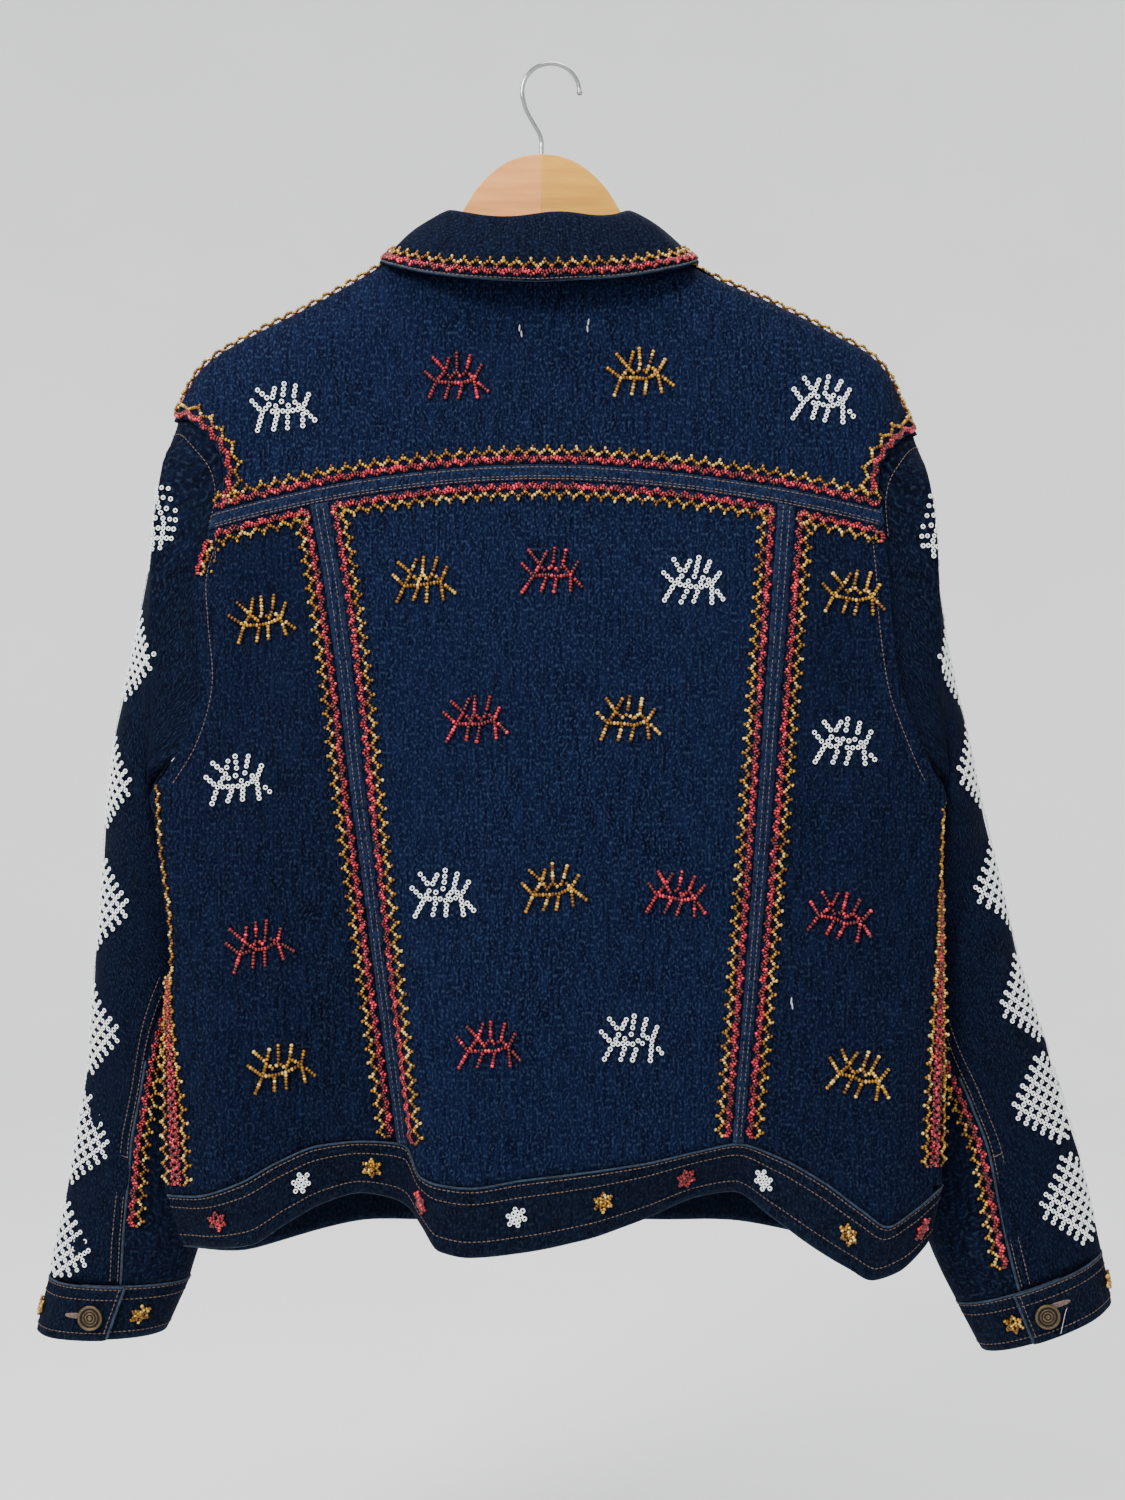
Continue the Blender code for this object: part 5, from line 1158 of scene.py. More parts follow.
# Each bead colour runs dark, mid, then a bright painted glint: painted highlights standing in for the sparkle of
# glass.
RED_GLASS, GOLD_GLASS = (glass_material(*row, 0.28, metallic) for *row, metallic in (
    ("red_glass_bead", (0.045, 0.0, 0.001), (0.30, 0.0015, 0.010), (0.95, 0.045, 0.09), 0.3),
    ("gold_glass_bead", (0.11, 0.040, 0.001), (0.55, 0.27, 0.010), (1.0, 0.76, 0.26), 0.6),
))
WHITE_BEAD = speckled_material("white_bead", (0.80, 0.81, 0.83), (0.90, 0.91, 0.92), 0.35, size=300, coat=0.3)
BRONZE = bronze_material()
WOOD_PINK = wood_material("wood_pinkish_brown", (0.68, 0.285, 0.075), (0.52, 0.185, 0.038))
WOOD_PALE = wood_material("wood_pale_yellow", (0.56, 0.275, 0.020), (0.42, 0.170, 0.010))
CHROME = speckled_material("chrome_wire", (0.30, 0.30, 0.31), (0.42, 0.42, 0.43), 0.16, 1.0, size=60)


# Cloth of the back.
BACK_ROWS = np.linspace(0, 1, 91)
STRIP_ROWS = np.linspace(0, 1, 341)
STRIP_COLUMNS = 5
YOKE_STRIP_STOPS = 381
NECK_STOPS = 51
CENTRE_STOPS = (0, 0.03, 0.075, 0.14, 0.22, 0.31, 0.42, 0.54, 0.66, 0.78, 0.88, 0.95, 1)
SIDE_STOPS = (0, 0.012, 0.06, 0.14, 0.25, 0.37, 0.5, 0.63, 0.76, 0.88, 1)
STRIP_ROLL = STRIP_RISE + 0.5
STRIP_WEAR = 0.5


def yoke_level(x, offset):
    """Points beside the middle of the yoke's seam."""
    return np.stack([x, yoke_line(x) + offset], -1)


def hem_line(x):
    return np.stack([x, smooth(HEM, "x", "top", x)], -1)


def yoke_grid():
    left_end, right_end = yoke_end(-1, YOKE_HALF_STRIP), yoke_end(1, YOKE_HALF_STRIP)
    stops = finer(SHOULDER_STOPS, 5)
    neck_left, neck_right = NECK_X - NECK_HALF_WIDTH, NECK_X + NECK_HALF_WIDTH
    left_xs = RIDGE_LEFT[-1].x + (neck_left - RIDGE_LEFT[-1].x) * stops[:-1]
    right_xs = (RIDGE_RIGHT[-1].x + (neck_right - RIDGE_RIGHT[-1].x) * stops)[::-1]
    turn = math.pi * (np.linspace(0, 1, NECK_STOPS)[:-1] - 0.5)
    neck_z = float(shoulder_ridge(neck_left)[0])
    neck = np.stack([NECK_X + NECK_HALF_WIDTH * np.sin(turn), neck_z - NECK_BACK_DROP * np.cos(turn) ** 2], -1)
    top = np.concatenate([
        np.stack([left_xs, shoulder_ridge(left_xs)[0]], -1),
        neck,
        np.stack([right_xs, shoulder_ridge(right_xs)[0]], -1),
    ])
    f = 0.5 * np.linspace(0, 1, len(top)) + 0.5 * (top[:, 0] - top[0, 0]) / (top[-1, 0] - top[0, 0])
    bottom = yoke_level(left_end[1][0] + (right_end[1][0] - left_end[1][0]) * f, YOKE_HALF_STRIP)
    bottom[0], bottom[-1] = left_end[1], right_end[1]
    rows = finer(YOKE_ROWS, 4)
    left = at_fractions(armhole(-1), rows * left_end[0])
    right = at_fractions(armhole(1), rows * right_end[0])
    return fill(top, bottom, left, right)


def strip_grid():
    rows = []
    for offset in np.linspace(YOKE_HALF_STRIP, -YOKE_HALF_STRIP, STRIP_COLUMNS):
        left, right = yoke_end(-1, offset)[1], yoke_end(1, offset)[1]
        row = yoke_level(np.linspace(left[0], right[0], YOKE_STRIP_STOPS), offset)
        row[0], row[-1] = left, right
        rows.append(row)
    return np.array(rows)


def puckers_along(way):
    """Uneven puckers between rows of topstitching."""
    uneven = 0.65 + 0.35 * np.sin(way / 23)
    return 0.26 * np.sin(way * 1.19 + 1.3 * np.sin(way / 11)) * uneven + 0.1 * np.sin(way * 0.37)


def seam_roll(columns, rise):
    """Height across a strip whose folded edges roll down."""
    return rise * (1 - 0.55 * np.abs(np.linspace(-1, 1, columns)) ** 3)


def on_strip(grid, roll, way):
    """A seam strip's points, rolled across and puckered along."""
    points = on_back(grid)
    return points + grid_normals(points, True) * (roll + puckers_along(grid[..., way, None]))


def build_back():
    grid = yoke_grid()
    shell("back_yoke_cloth", on_back(grid), DENIM, DENIM_CLOTH, True, grid, "back_yoke")
    wall = DENIM + STRIP_RISE
    roll = seam_roll(STRIP_COLUMNS, STRIP_ROLL)[:, None]
    points = on_strip(strip_grid(), roll[:, None], 0)
    run = run_of(points)
    shell("yoke_seam_strip_cloth", points, wall, DENIM_CLOTH, True, run, "yoke_seam_strip", wear=STRIP_WEAR)
    left, right = strip_edge(-1, 1, BACK_ROWS), strip_edge(1, -1, BACK_ROWS)
    f = finer(CENTRE_STOPS, 5)
    top = yoke_level(left[0, 0] + (right[0, 0] - left[0, 0]) * f, -YOKE_HALF_STRIP)
    grid = fill(top, hem_line(left[-1, 0] + (right[-1, 0] - left[-1, 0]) * f), left, right)
    shell("back_centre_cloth", on_back(grid), DENIM, DENIM_CLOTH, True, grid, "back_centre_panel")
    share = np.linspace(0, 1, STRIP_COLUMNS)[None, :, None]
    for side, word in SIDES:
        left, right = strip_edge(side, -1, STRIP_ROWS), strip_edge(side, 1, STRIP_ROWS)
        grid = left[:, None] * (1 - share) + right[:, None] * share
        name = f"princess_strip_{word}"
        shell(name + "_cloth", on_strip(grid, roll, 1), wall, DENIM_CLOTH, True, grid, name, wear=STRIP_WEAR)
        start, spot = yoke_end(side, -YOKE_HALF_STRIP)
        outer = outer_border(side, start + (1 - start) * np.linspace(0, 1, 46), 5)
        inner = strip_edge(side, side, BACK_ROWS)
        f = finer(SIDE_STOPS, 4)
        top = yoke_level(spot[0] + (inner[0, 0] - spot[0]) * f, -YOKE_HALF_STRIP)
        top[0] = spot
        grid = fill(top, hem_line(outer[-1, 0] + (inner[-1, 0] - outer[-1, 0]) * f), outer, inner)
        shell(f"back_side_{word}_cloth", on_back(grid), DENIM, DENIM_SIDE_PAINTED_SHADE, side < 0, grid, f"back_side_panel_{word}")


# Cloth of the front, plain.
FRONT_BAND_SHAPE = (111, 13)
FRONT_BAND_ROLL = 0.4
# How far inwards and forwards a front's first columns stand as its side edge turns to the front.
EDGE_TURN = ((0, 2.0), (2.5, 5.5))


def upsample_rows(points, count):
    """A finer grid through a coarse one's rows, by smooth lines down it."""
    steps = np.linalg.norm(np.diff(points, axis=0), axis=-1).mean(axis=tuple(range(1, points.ndim - 1)))
    stops = np.concatenate([[0], np.cumsum(np.maximum(steps, 1e-6))])
    gaps = np.diff(stops).reshape((-1,) + (1,) * (points.ndim - 1))
    slopes = np.diff(points, axis=0) / gaps
    inner = (slopes[:-1] * gaps[1:] + slopes[1:] * gaps[:-1]) / (gaps[1:] + gaps[:-1])
    tangents = np.concatenate([slopes[:1], inner, slopes[-1:]])
    out = []
    for i, gap in enumerate(gaps):
        rise = points[i + 1] - points[i]
        a, b = tangents[i] * gap, tangents[i + 1] * gap
        for step in range(count):
            t = step / count
            out.append(points[i] + t * a + t * t * (3 * rise - 2 * a - b) + t**3 * (a + b - 2 * rise))
    return np.array(out + [points[-1]])


def upsample(grid, count_rows, count_columns):
    return upsample_rows(upsample_rows(grid, count_rows).transpose(1, 0, 2), count_columns).transpose(1, 0, 2)


def front_grid(side):
    centre = NECK_X - side * FRONT_LAP
    neck_edge = NECK_X + side * NECK_HALF_WIDTH
    tip = (RIDGE_LEFT if side < 0 else RIDGE_RIGHT)[-1]
    neck_z = float(shoulder_ridge(neck_edge)[0])
    fraction = np.array(FRONT_ROWS)
    outer = outer_border(side, fraction, 1)
    outer[-1, 1] = hem_end(side).top
    x = tip.x + (neck_edge - tip.x) * np.array(SHOULDER_STOPS[:-1])
    count = len(FRONT_COLUMNS) - len(SHOULDER_STOPS)
    turn = math.pi / 2 * np.arange(count + 1) / count
    neck = np.stack([
        neck_edge + (NECK_X - neck_edge) * (1 - np.cos(turn)), neck_z - NECK_FRONT_DROP * np.sin(turn)
    ], -1)
    top = np.concatenate([np.stack([x, shoulder_ridge(x)[0]], -1), neck])
    top[-1] = centre, neck_z - NECK_FRONT_DROP
    x = outer[-1, 0] + (centre - outer[-1, 0]) * np.array(FRONT_COLUMNS)
    bottom = np.stack([x, front_hem(side, x)], -1)
    bottom[0] = outer[-1]
    share = lengths(outer) / lengths(outer)[-1]
    inner = np.stack([np.full(len(outer), centre), top[-1, 1] + (bottom[-1, 1] - top[-1, 1]) * share], -1)
    grid = on_front(fill(top, bottom, outer, inner))
    grid[..., 1] += lap_rise(side, grid[..., 0])
    place = at_fractions(armhole(side), fraction)
    close = smoothstep((fraction - ARMHOLE_CLOSE) / (1 - ARMHOLE_CLOSE))
    ahead, behind = front_y(place[:, 0], place[:, 1]), back_y(place[:, 0], place[:, 1])
    grid[:len(fraction), 0] = np.stack([place[:, 0], ahead + (behind - ahead) * close, place[:, 1]], -1)
    for row in grid[len(fraction) - 1:]:
        z = row[0, 2]
        seam, limit = side_seam(side, z), body_side(side, z)
        for column, part in enumerate(WRAP_STOPS):
            x = seam + (limit - seam) * part
            row[column] = x, back_y(x, z), z
        for column, (inwards, ahead_of) in enumerate(EDGE_TURN, len(WRAP_STOPS)):
            row[column] = limit - side * inwards, smooth(BODY, "z", "edge_back", z) + ahead_of, z
    return grid


def build_front():
    for side, word in SIDES:
        grid = upsample(front_grid(side), 4, 3)
        shell(f"front_{word}_cloth", grid, DENIM, DENIM_SIDE_PAINTED_SHADE, side > 0, grid[..., ::2], f"front_panel_{word}")
    rows, columns = FRONT_BAND_SHAPE
    top = float(shoulder_ridge(NECK_X - NECK_HALF_WIDTH)[0]) - NECK_FRONT_DROP - SEAM_GAP
    across, down = np.meshgrid(np.linspace(0, 1, columns), np.linspace(0, 1, rows))
    x = NECK_X + FRONT_LAP - FRONT_BAND_WIDTH + FRONT_BAND_WIDTH * across
    z = top + (FRONT_HEM + SEAM_GAP - top) * down
    y = front_y(x, z) + lap_rise(-1, x) + SEAM_GAP + DENIM
    grid = np.stack([x, y + seam_roll(columns, FRONT_BAND_ROLL)[None], z], -1)
    shell("front_band_cloth", grid, DENIM - SEAM_GAP, DENIM_BAND_DARKER_PAINTED_SHADE, False, grid[..., ::2], "front_band")


# Waistband, sleeves, cuffs and collar.
BAND_WEAR, LEAF_WEAR = 0.45, 0.12
SLEEVE_AT = np.concatenate([np.linspace(0, 2, 19)[:-1], np.linspace(2, LAST_RING, 71)])


def ridge_at(down, centre, reach):
    return np.exp(-(((down - centre) / reach) ** 2))


def build_waistband():
    grid = waist_grid(WAIST_ROWS)
    run = run_of(grid)
    down = np.linspace(0, 1, WAIST_ROWS + 1)[:, None]
    ripples = 0.22 * np.sin(run[..., 0] * 0.62 + down * 3) * (ridge_at(down, 0.12, 0.15) + ridge_at(down, 0.8, 0.15))
    bulge = 0.5 * np.sin(down * math.pi) ** 0.5
    grid = grid + grid_normals(grid, True) * (ripples + bulge)[..., None]
    shell("waistband_cloth", grid, DOUBLED_DENIM, DENIM_BAND_DARKER_PAINTED_SHADE, True, run, "waistband", wear=BAND_WEAR)


def build_sleeve(side, word):
    at = SLEEVE_AT[:, None]
    seam = smooth(rings_of(side), "number", "seam", at)
    for part, columns, start, end in (
        ("upper", 61, UNDERARM_SEAM, 360 + seam), ("under", 31, seam, UNDERARM_SEAM)
    ):
        share = np.linspace(0, 1, columns)[None]
        grid = sleeve_point(side, at * np.ones_like(share), start + (end - start) * share)
        name = f"sleeve_{part}_{word}"
        shell(name + "_cloth", grid, DENIM, DENIM_DARKER_PAINTED_SHADE, side < 0, run_of(grid), name)


def build_cuff(side, word):
    turned = np.linspace(0, 360 + CUFF_LAP_ANGLE, 111)[None]
    down = np.linspace(0.012, 1, 9)[:, None]
    puckers = 0.25 * np.sin(turned * 0.9) * ridge_at(down, 0.15, 0.2) + 0.4 * np.sin(down * math.pi) ** 0.5
    grid = cuff_point(side, down, cuff_lap(side) - turned, cuff_over(turned) + puckers)
    name = f"cuff_{word}"
    shell(name + "_cloth", grid, DOUBLED_DENIM, DENIM_BAND_DARKER_PAINTED_SHADE, side > 0, run_of(grid), name, wear=BAND_WEAR)


def build_collar():
    position = np.linspace(-COLLAR_END, COLLAR_END, 129)[None]
    grid = leaf_point(position, np.linspace(0, 1, 17)[:, None])
    shell("collar_leaf_cloth", grid, COLLAR_WALL, DENIM_DARKER_PAINTED_SHADE, True, run_of(grid), "collar_leaf", wear=LEAF_WEAR)
    position = np.linspace(-COLLAR_END + 0.6, COLLAR_END - 0.6, 101)
    fold, _ = collar_lines(position)
    inward = unit(np.stack([NECK_X - fold[:, 0], -fold[:, 1], np.zeros(len(fold))], -1))
    head = fold + inward * (COLLAR_WALL + 1.0) - np.array([0, 0, 0.6])
    share = np.linspace(0, 1, 9)[:, None, None]
    grid = head[None] * (1 - share) + neck_seam(position)[None] * share
    shell("collar_stand_cloth", grid, DENIM, DENIM_BAND_DARKER_PAINTED_SHADE, True, run_of(grid), "collar_stand")


# Bead edgings.
# Down each side seam: a single row of gold beads and, below it, a band of edging.
SideEdging = namedtuple("SideEdging", "side breadth inset band row")
SIDE_EDGINGS = (
    SideEdging(
        -1, 1.4, 2.0, spots(-256, -618, -255, -650, -253.5, -690, -252, -725, -250.5, -757),
        spots(-262.0, -490, -260, -530, -254.5, -570, -252.5, -600, -253, -622),
    ),
    SideEdging(
        1, 1.2, 1.0, spots(261, -560, 260.5, -600, 259.5, -650, 258, -700, 256, -745),
        spots(262.5, -500, 261.5, -530, 260.5, -560),
    ),
)
LEAF_BEADS_UP = 2.2
OVER_YOKE, UNDER_YOKE, BESIDE_PRINCESS, BESIDE_ARMHOLE = 0.4, 0.5, 0.4, 0.8
SLEEVE_EDGINGS = ((-1, 7.2, 11.15), (1, 7.2, 11.6))
SHOULDER_START = 100
SHOULDER_ENDS = ((-1, -256.0), (1, 246.0))
RIDGE_BEADS_AHEAD = 6.6


def edge_yoke():
    """Over the yoke's seam, under it, beside the princess seams and along the armholes."""
    ends = [[yoke_end(side, offset)[1][0] for side in (-1, 1)] for offset in (YOKE_HALF_STRIP, -YOKE_HALF_STRIP)]
    x = np.linspace(ends[0][0] + 1, ends[0][1] - 1, 200)
    place, length = beside(yoke_level(x, YOKE_HALF_STRIP + OVER_YOKE), 1)
    scallops("yoke_beads", place, 1, length - 1, backwards)
    edges = [[strip_edge(side, edge, BACK_ROWS)[0, 0] for edge in (-1, 1)] for side in (-1, 1)]
    for start, end in (
        (ends[1][0] + 3, edges[0][0] - 1), (edges[0][1] + 1, edges[1][0] - 1), (edges[1][1] + 1, ends[1][1] - 3)
    ):
        place, length = beside(yoke_level(np.linspace(start, end, 120), -YOKE_HALF_STRIP - UNDER_YOKE), -1)
        scallops("panel_beads", place, 0.5, length - 0.5, backwards)
    for side in (-1, 1):
        for edge in (-1, 1):
            line = strip_edge(side, edge, BACK_ROWS)
            line[:, 0] += edge * BESIDE_PRINCESS
            place, length = beside(line, edge)
            scallops("princess_beads", place, 3, length - 4, backwards)
        line = at_fractions(armhole(side), np.linspace(0, yoke_end(side, YOKE_HALF_STRIP)[0], 60))
        line[:, 0] -= side * BESIDE_ARMHOLE
        place, length = beside(line, -side)
        scallops("armhole_beads", place, 1, length - 9, backwards)
        start = yoke_end(side, -YOKE_HALF_STRIP)[0]
        line = at_fractions(armhole(side), np.linspace(start + 0.02, start + (0.11 if side < 0 else 0.05), 30))
        place, length = beside(line, -side)
        scallops("armhole_beads", place, 0, length, backwards, squeeze=0.7)


def edge_shoulders():
    """Along the shoulder seams, just over the ridge."""
    for side, reach in SHOULDER_ENDS:
        x = np.linspace(NECK_X + side * SHOULDER_START, reach, 200)
        line = np.stack([x, shoulder_ridge(x)[0]], -1)

        def ridge_place(s, h):
            spot = walk(line, s)
            ahead = RIDGE_BEADS_AHEAD - h
            deep = np.clip(ahead / 27, -0.95, 0.95)
            drop = SHOULDER_ROUND * (1 - np.sqrt(1 - deep**2)) / shoulder_ridge(spot[..., 0])[1]
            rise = 1.9 * np.clip((1.0 - ahead) / 3.3, 0, 1)
            return np.stack([spot[..., 0], ahead * np.ones_like(spot[..., 0]), spot[..., 1] - drop + rise], -1)

        scallops("shoulder_beads", ridge_place, 1, lengths(line)[-1] - 1, upwards)


def edge_collar():
    """Round the collar's leaf, above its edge."""
    position = np.linspace(-COLLAR_END + 0.05, COLLAR_END - 0.05, 400)
    along = lengths(leaf_point(position, np.ones(400)))
    fold, edge = collar_lines(position)
    tall = np.linalg.norm(edge - fold, axis=1)

    def collar_place(s, h):
        return leaf_point(np.interp(s, along, position), 1 - (h + LEAF_BEADS_UP) / np.interp(s, along, tall))

    scallops("collar_beads", collar_place, 3, along[-1] - 3, from_neck)


def edge_sides():
    """Down the side seams: a single row, then a band on both sides of the seam that widens to the hem."""
    for one in SIDE_EDGINGS:
        centre = curve_through(one.band)
        band, _ = beside(centre, one.side)
        length = lengths(centre)[-1]

        def band_place(s, h):
            wide = 0.25 + 0.75 * smoothstep(s / length * 1.15)
            return band(s, ((h - BOTH_MIDDLE) * one.breadth - one.inset) * wide)

        scallops("side_beads", band_place, 0, length, backwards, BOTH_SIDED)
        line = curve_through(one.row)
        row, _ = beside(line, one.side)
        s = np.linspace(0, lengths(line)[-1], 60)
        string_beads("side_beads_gold", row, s, 1.2 * np.sin(s * 0.7), backwards, SEED_PITCH, 0.8)


def edge_sleeves():
    """Beside the back seams of the sleeves."""
    for side, first, last in SLEEVE_EDGINGS:
        at = np.linspace(first, last, 120)
        seam = smooth(rings_of(side), "number", "seam", at)
        line = sleeve_point(side, at, seam)
        step = np.linalg.norm(sleeve_point(side, at, seam + 4) - line, axis=1) / 4
        along = lengths(line)

        def sleeve_place(s, h):
            angle = np.interp(s, along, seam) + (h + 1.0) / np.interp(s, along, step)
            return sleeve_point(side, np.interp(s, along, at), angle)

        scallops("sleeve_beads", sleeve_place, 0, along[-1], backwards)


# Sprigs, stars and diamonds of beads, placed by their pixels in the photograph.
# A branch: two rows that cross as a chain of eyelets, then its spikes, each from a node outwards.
SPRIG = (
    ((-11.3, -3), (-6, 4.2), (-1.8, -0.6), (1.8, 3.8), (5.6, -1), (8.6, 4), (14.2, -1.5)),
    ((-11.3, -3), (-1.8, -3.4), (5, -3.9), (14.2, -1.5)),
    ((-6, 4.2), (-13.5, 12.6)), ((-6, 4.2), (-2.6, 13)), ((1.8, 3.8), (3, 15.3)), ((8.6, 4), (11.2, 13.6)),
    ((14.2, -1.5), (18.6, 7)), ((-11.3, -3), (-18.6, 4.6)), ((-11.3, -3), (-17, -14)),
    ((-1.8, -3.4), (-5.4, -13.6)), ((5, -3.9), (3.2, -14.2)), ((14.2, -1.5), (14.8, -13.4)),
    ((14.2, -1.5), (22.4, -10)),
)
Motif = namedtuple("Motif", "colour px py turn")
SPRIGS = tuple(Motif(*row) for row in (
    ("white", 280, 407, 4), ("red", 453, 377, 2), ("gold", 637, 373, 4), ("white", 821, 399, -6),
    ("gold", 420, 580, 3), ("red", 549, 571, -2), ("white", 691, 581, -4), ("gold", 260, 619, 10),
    ("gold", 851, 593, -4), ("red", 472, 719, 2), ("gold", 625, 719, 0), ("white", 234, 780, 8),
    ("white", 842, 742, -4), ("white", 440, 894, 0), ("gold", 550, 888, 4), ("red", 674, 893, -8),
    ("red", 255, 945, 12), ("red", 838, 915, -12), ("red", 486, 1045, 0), ("white", 629, 1039, -2),
    ("gold", 277, 1068, 10), ("gold", 857, 1073, -14),
))
STARS = tuple(Motif(*row) for row in (
    ("red", 218, 1218, 0), ("white", 300, 1177, 5), ("gold", 369, 1171, 0), ("red", 421, 1199, 20),
    ("white", 516, 1205, 10), ("gold", 602, 1198, 0), ("red", 686, 1185, 10), ("white", 765, 1179, 0),
    ("gold", 846, 1227, 15), ("red", 922, 1233, 0),
))
FRONT_STARS = (-215, -160, -105, -50, 60, 115, 170, 220)
CUFF_STARS = ((-1, 12.0), (-1, 123.0), (1, 12.0), (1, 118.0))
SPRIG_UNEVEN, STAR_UNEVEN = 0.9, 0.25
# The camera, and the photograph's frame: its middle, and its pixels for a millimetre at the camera's reach.
CAMERA = np.array([8.0, -1300.0, -467.0])
CAMERA_REACH = 1270
FRAME_MIDDLE = Spot(562, 750)
FRAME_SCALE = 1.5
# How deep the back, the waistband and the sleeves stand where the photograph's pixels are read.
BACK_Y, BAND_Y, SLEEVE_Y = -33.0, -35.0, 15.0


def pixel_size(y):
    return (y - CAMERA[1]) / CAMERA_REACH / FRAME_SCALE


def seen_at(px, py):
    """Where a pixel of the view lies on the back."""
    x, z, y = 0.0, 0.0, BACK_Y
    for _ in range(4):
        scale = pixel_size(y)
        x, z = CAMERA[0] + (px - FRAME_MIDDLE.x) * scale, CAMERA[2] + (FRAME_MIDDLE.z - py) * scale
        y = float(back_y(x, z))
    return x, z


def sleeve_rows_seen(z):
    """The rows of the view in which heights of a sleeve show."""
    return FRAME_MIDDLE.z - (z - CAMERA[2]) * FRAME_SCALE / ((SLEEVE_Y - CAMERA[1]) / CAMERA_REACH)


def motif(kind, place, lines, turn, outward, uneven=STAR_UNEVEN, size=1.0):
    """Lines of beads round a point of a surface, none on another."""
    cosine, sine = math.cos(math.radians(turn)), math.sin(math.radians(turn))
    dice = random.Random(kind + str(turn) + str(np.round(place(0.0, 0.0)[..., 0], 1)))
    white = kind.endswith("white")
    pitch, clear = (DONUT_PITCH, DONUT_CLEAR) if white else (SEED_PITCH, SEED_CLEAR)
    bend = {}
    spots_taken, ways = [], []
    for line in lines:
        line = np.array([
            np.array(spot) + bend.setdefault(spot, (dice.uniform(-uneven, uneven), dice.uniform(-uneven, uneven)))
            for spot in line
        ]) * size
        along = lengths(line)
        count = max(1, int(round(along[-1] / pitch)))
        path = walk(line, np.arange(count + 1) / count * along[-1])
        path = np.stack([path[:, 0] * cosine - path[:, 1] * sine, path[:, 0] * sine + path[:, 1] * cosine], -1)
        for spot, way in zip(path, unit(np.gradient(path, axis=0))):
            if all(np.hypot(*(spot - taken)) > clear for taken in spots_taken):
                spots_taken.append(spot)
                ways.append(way)
    s, h = np.array(spots_taken).T
    dx, dz = np.array(ways).T
    points, _, normals = frames_at(place, s, h, outward)
    along = place(s + STEP * dx, h + STEP * dz) - place(s - STEP * dx, h - STEP * dz)
    if white:
        gather(kind, points + normals * DONUT_LIFT, normals, along)
    else:
        gather(kind, points + normals * SEED_RADIUS * 0.75, along, normals)


def star_lines(white):
    """Six points round a middle: white beads one by one, glass ones as a full outline."""
    lines = [((0, 0), (0.1, 0))]
    tip_reach, knee_reach, middle_reach = (5.7, 3.1, 0) if white else (6.3, 3.5, 1.9)
    for i in range(6):
        turn = math.radians(60 * i + 30)
        tip = (math.cos(turn) * tip_reach, math.sin(turn) * tip_reach)
        knees = [
            (round(math.cos(turn + lean) * knee_reach, 3), round(math.sin(turn + lean) * knee_reach, 3))
            for lean in (-math.pi / 6, math.pi / 6)
        ]
        if white:
            lines += [(spot, (spot[0] + 0.05, spot[1])) for spot in (knees[0], tip)]
        else:
            middle = (math.cos(turn) * middle_reach, math.sin(turn) * middle_reach)
            lines += [(knees[0], tip), (tip, knees[1]), (middle, (middle[0] + 0.05, middle[1]))]
    return tuple(lines)


def star(colour, place, turn, outward, size=1.0):
    motif(f"stars_{colour}", place, star_lines(colour == "white"), turn, outward, size=size)


def build_sprigs():
    for one in SPRIGS:
        x, z = seen_at(one.px, one.py)

        def place(s, h):
            return on_back(np.stack([x + np.asarray(s, float), z + np.asarray(h, float)], -1))

        motif(f"sprigs_{one.colour}", place, SPRIG, one.turn, backwards, SPRIG_UNEVEN)


def build_stars():
    columns = [i for i, stop in enumerate(waist_stops()) if stop[1] == "back"]
    grid = waist_grid(WAIST_ROWS)[:, columns]
    middle = grid[WAIST_ROWS // 2]
    along = lengths(middle)
    for one in STARS:
        start = float(np.interp(CAMERA[0] + (one.px - FRAME_MIDDLE.x) * pixel_size(BAND_Y), middle[:, 0], along))

        def band_place(s, h):
            s, h = np.broadcast_arrays(np.asarray(s, float), np.asarray(h, float))
            upper = np.stack([np.interp(start + s, along, grid[0, :, i]) for i in range(3)], -1)
            lower = np.stack([np.interp(start + s, along, grid[-1, :, i]) for i in range(3)], -1)
            tall = np.maximum(np.linalg.norm(lower - upper, axis=-1), 1)
            return upper + (lower - upper) * (0.5 - h / tall)[..., None] + np.array([0, -0.6, 0])

        star(one.colour, band_place, one.turn, backwards)
    for side, turned in CUFF_STARS:
        step = np.linalg.norm(cuff_point(side, 0.5, turned + 2.0) - cuff_point(side, 0.5, turned - 2.0)) / 4

        def cuff_place(s, h):
            s, h = np.broadcast_arrays(np.asarray(s, float), np.asarray(h, float))
            return cuff_point(side, 0.55 - h / CUFF_TALL, turned + s / step, 0.6)

        star("gold", cuff_place, 8, from_wrist(side), 0.95)
    for i, x in enumerate(FRONT_STARS):
        def front_place(s, h):
            at = x + np.asarray(s, float)
            points = on_front(np.stack([at, front_hem(-1 if x < NECK_X else 1, at)], -1))
            points[..., 1] += lap_rise(-1, at) * BAND_LAP + 0.6 - 2 + h * 0.09
            points[..., 2] += h - BAND_HEIGHT / 2
            return points

        star(("gold", "white", "red")[i % 3], front_place, 10 * i, forwards)


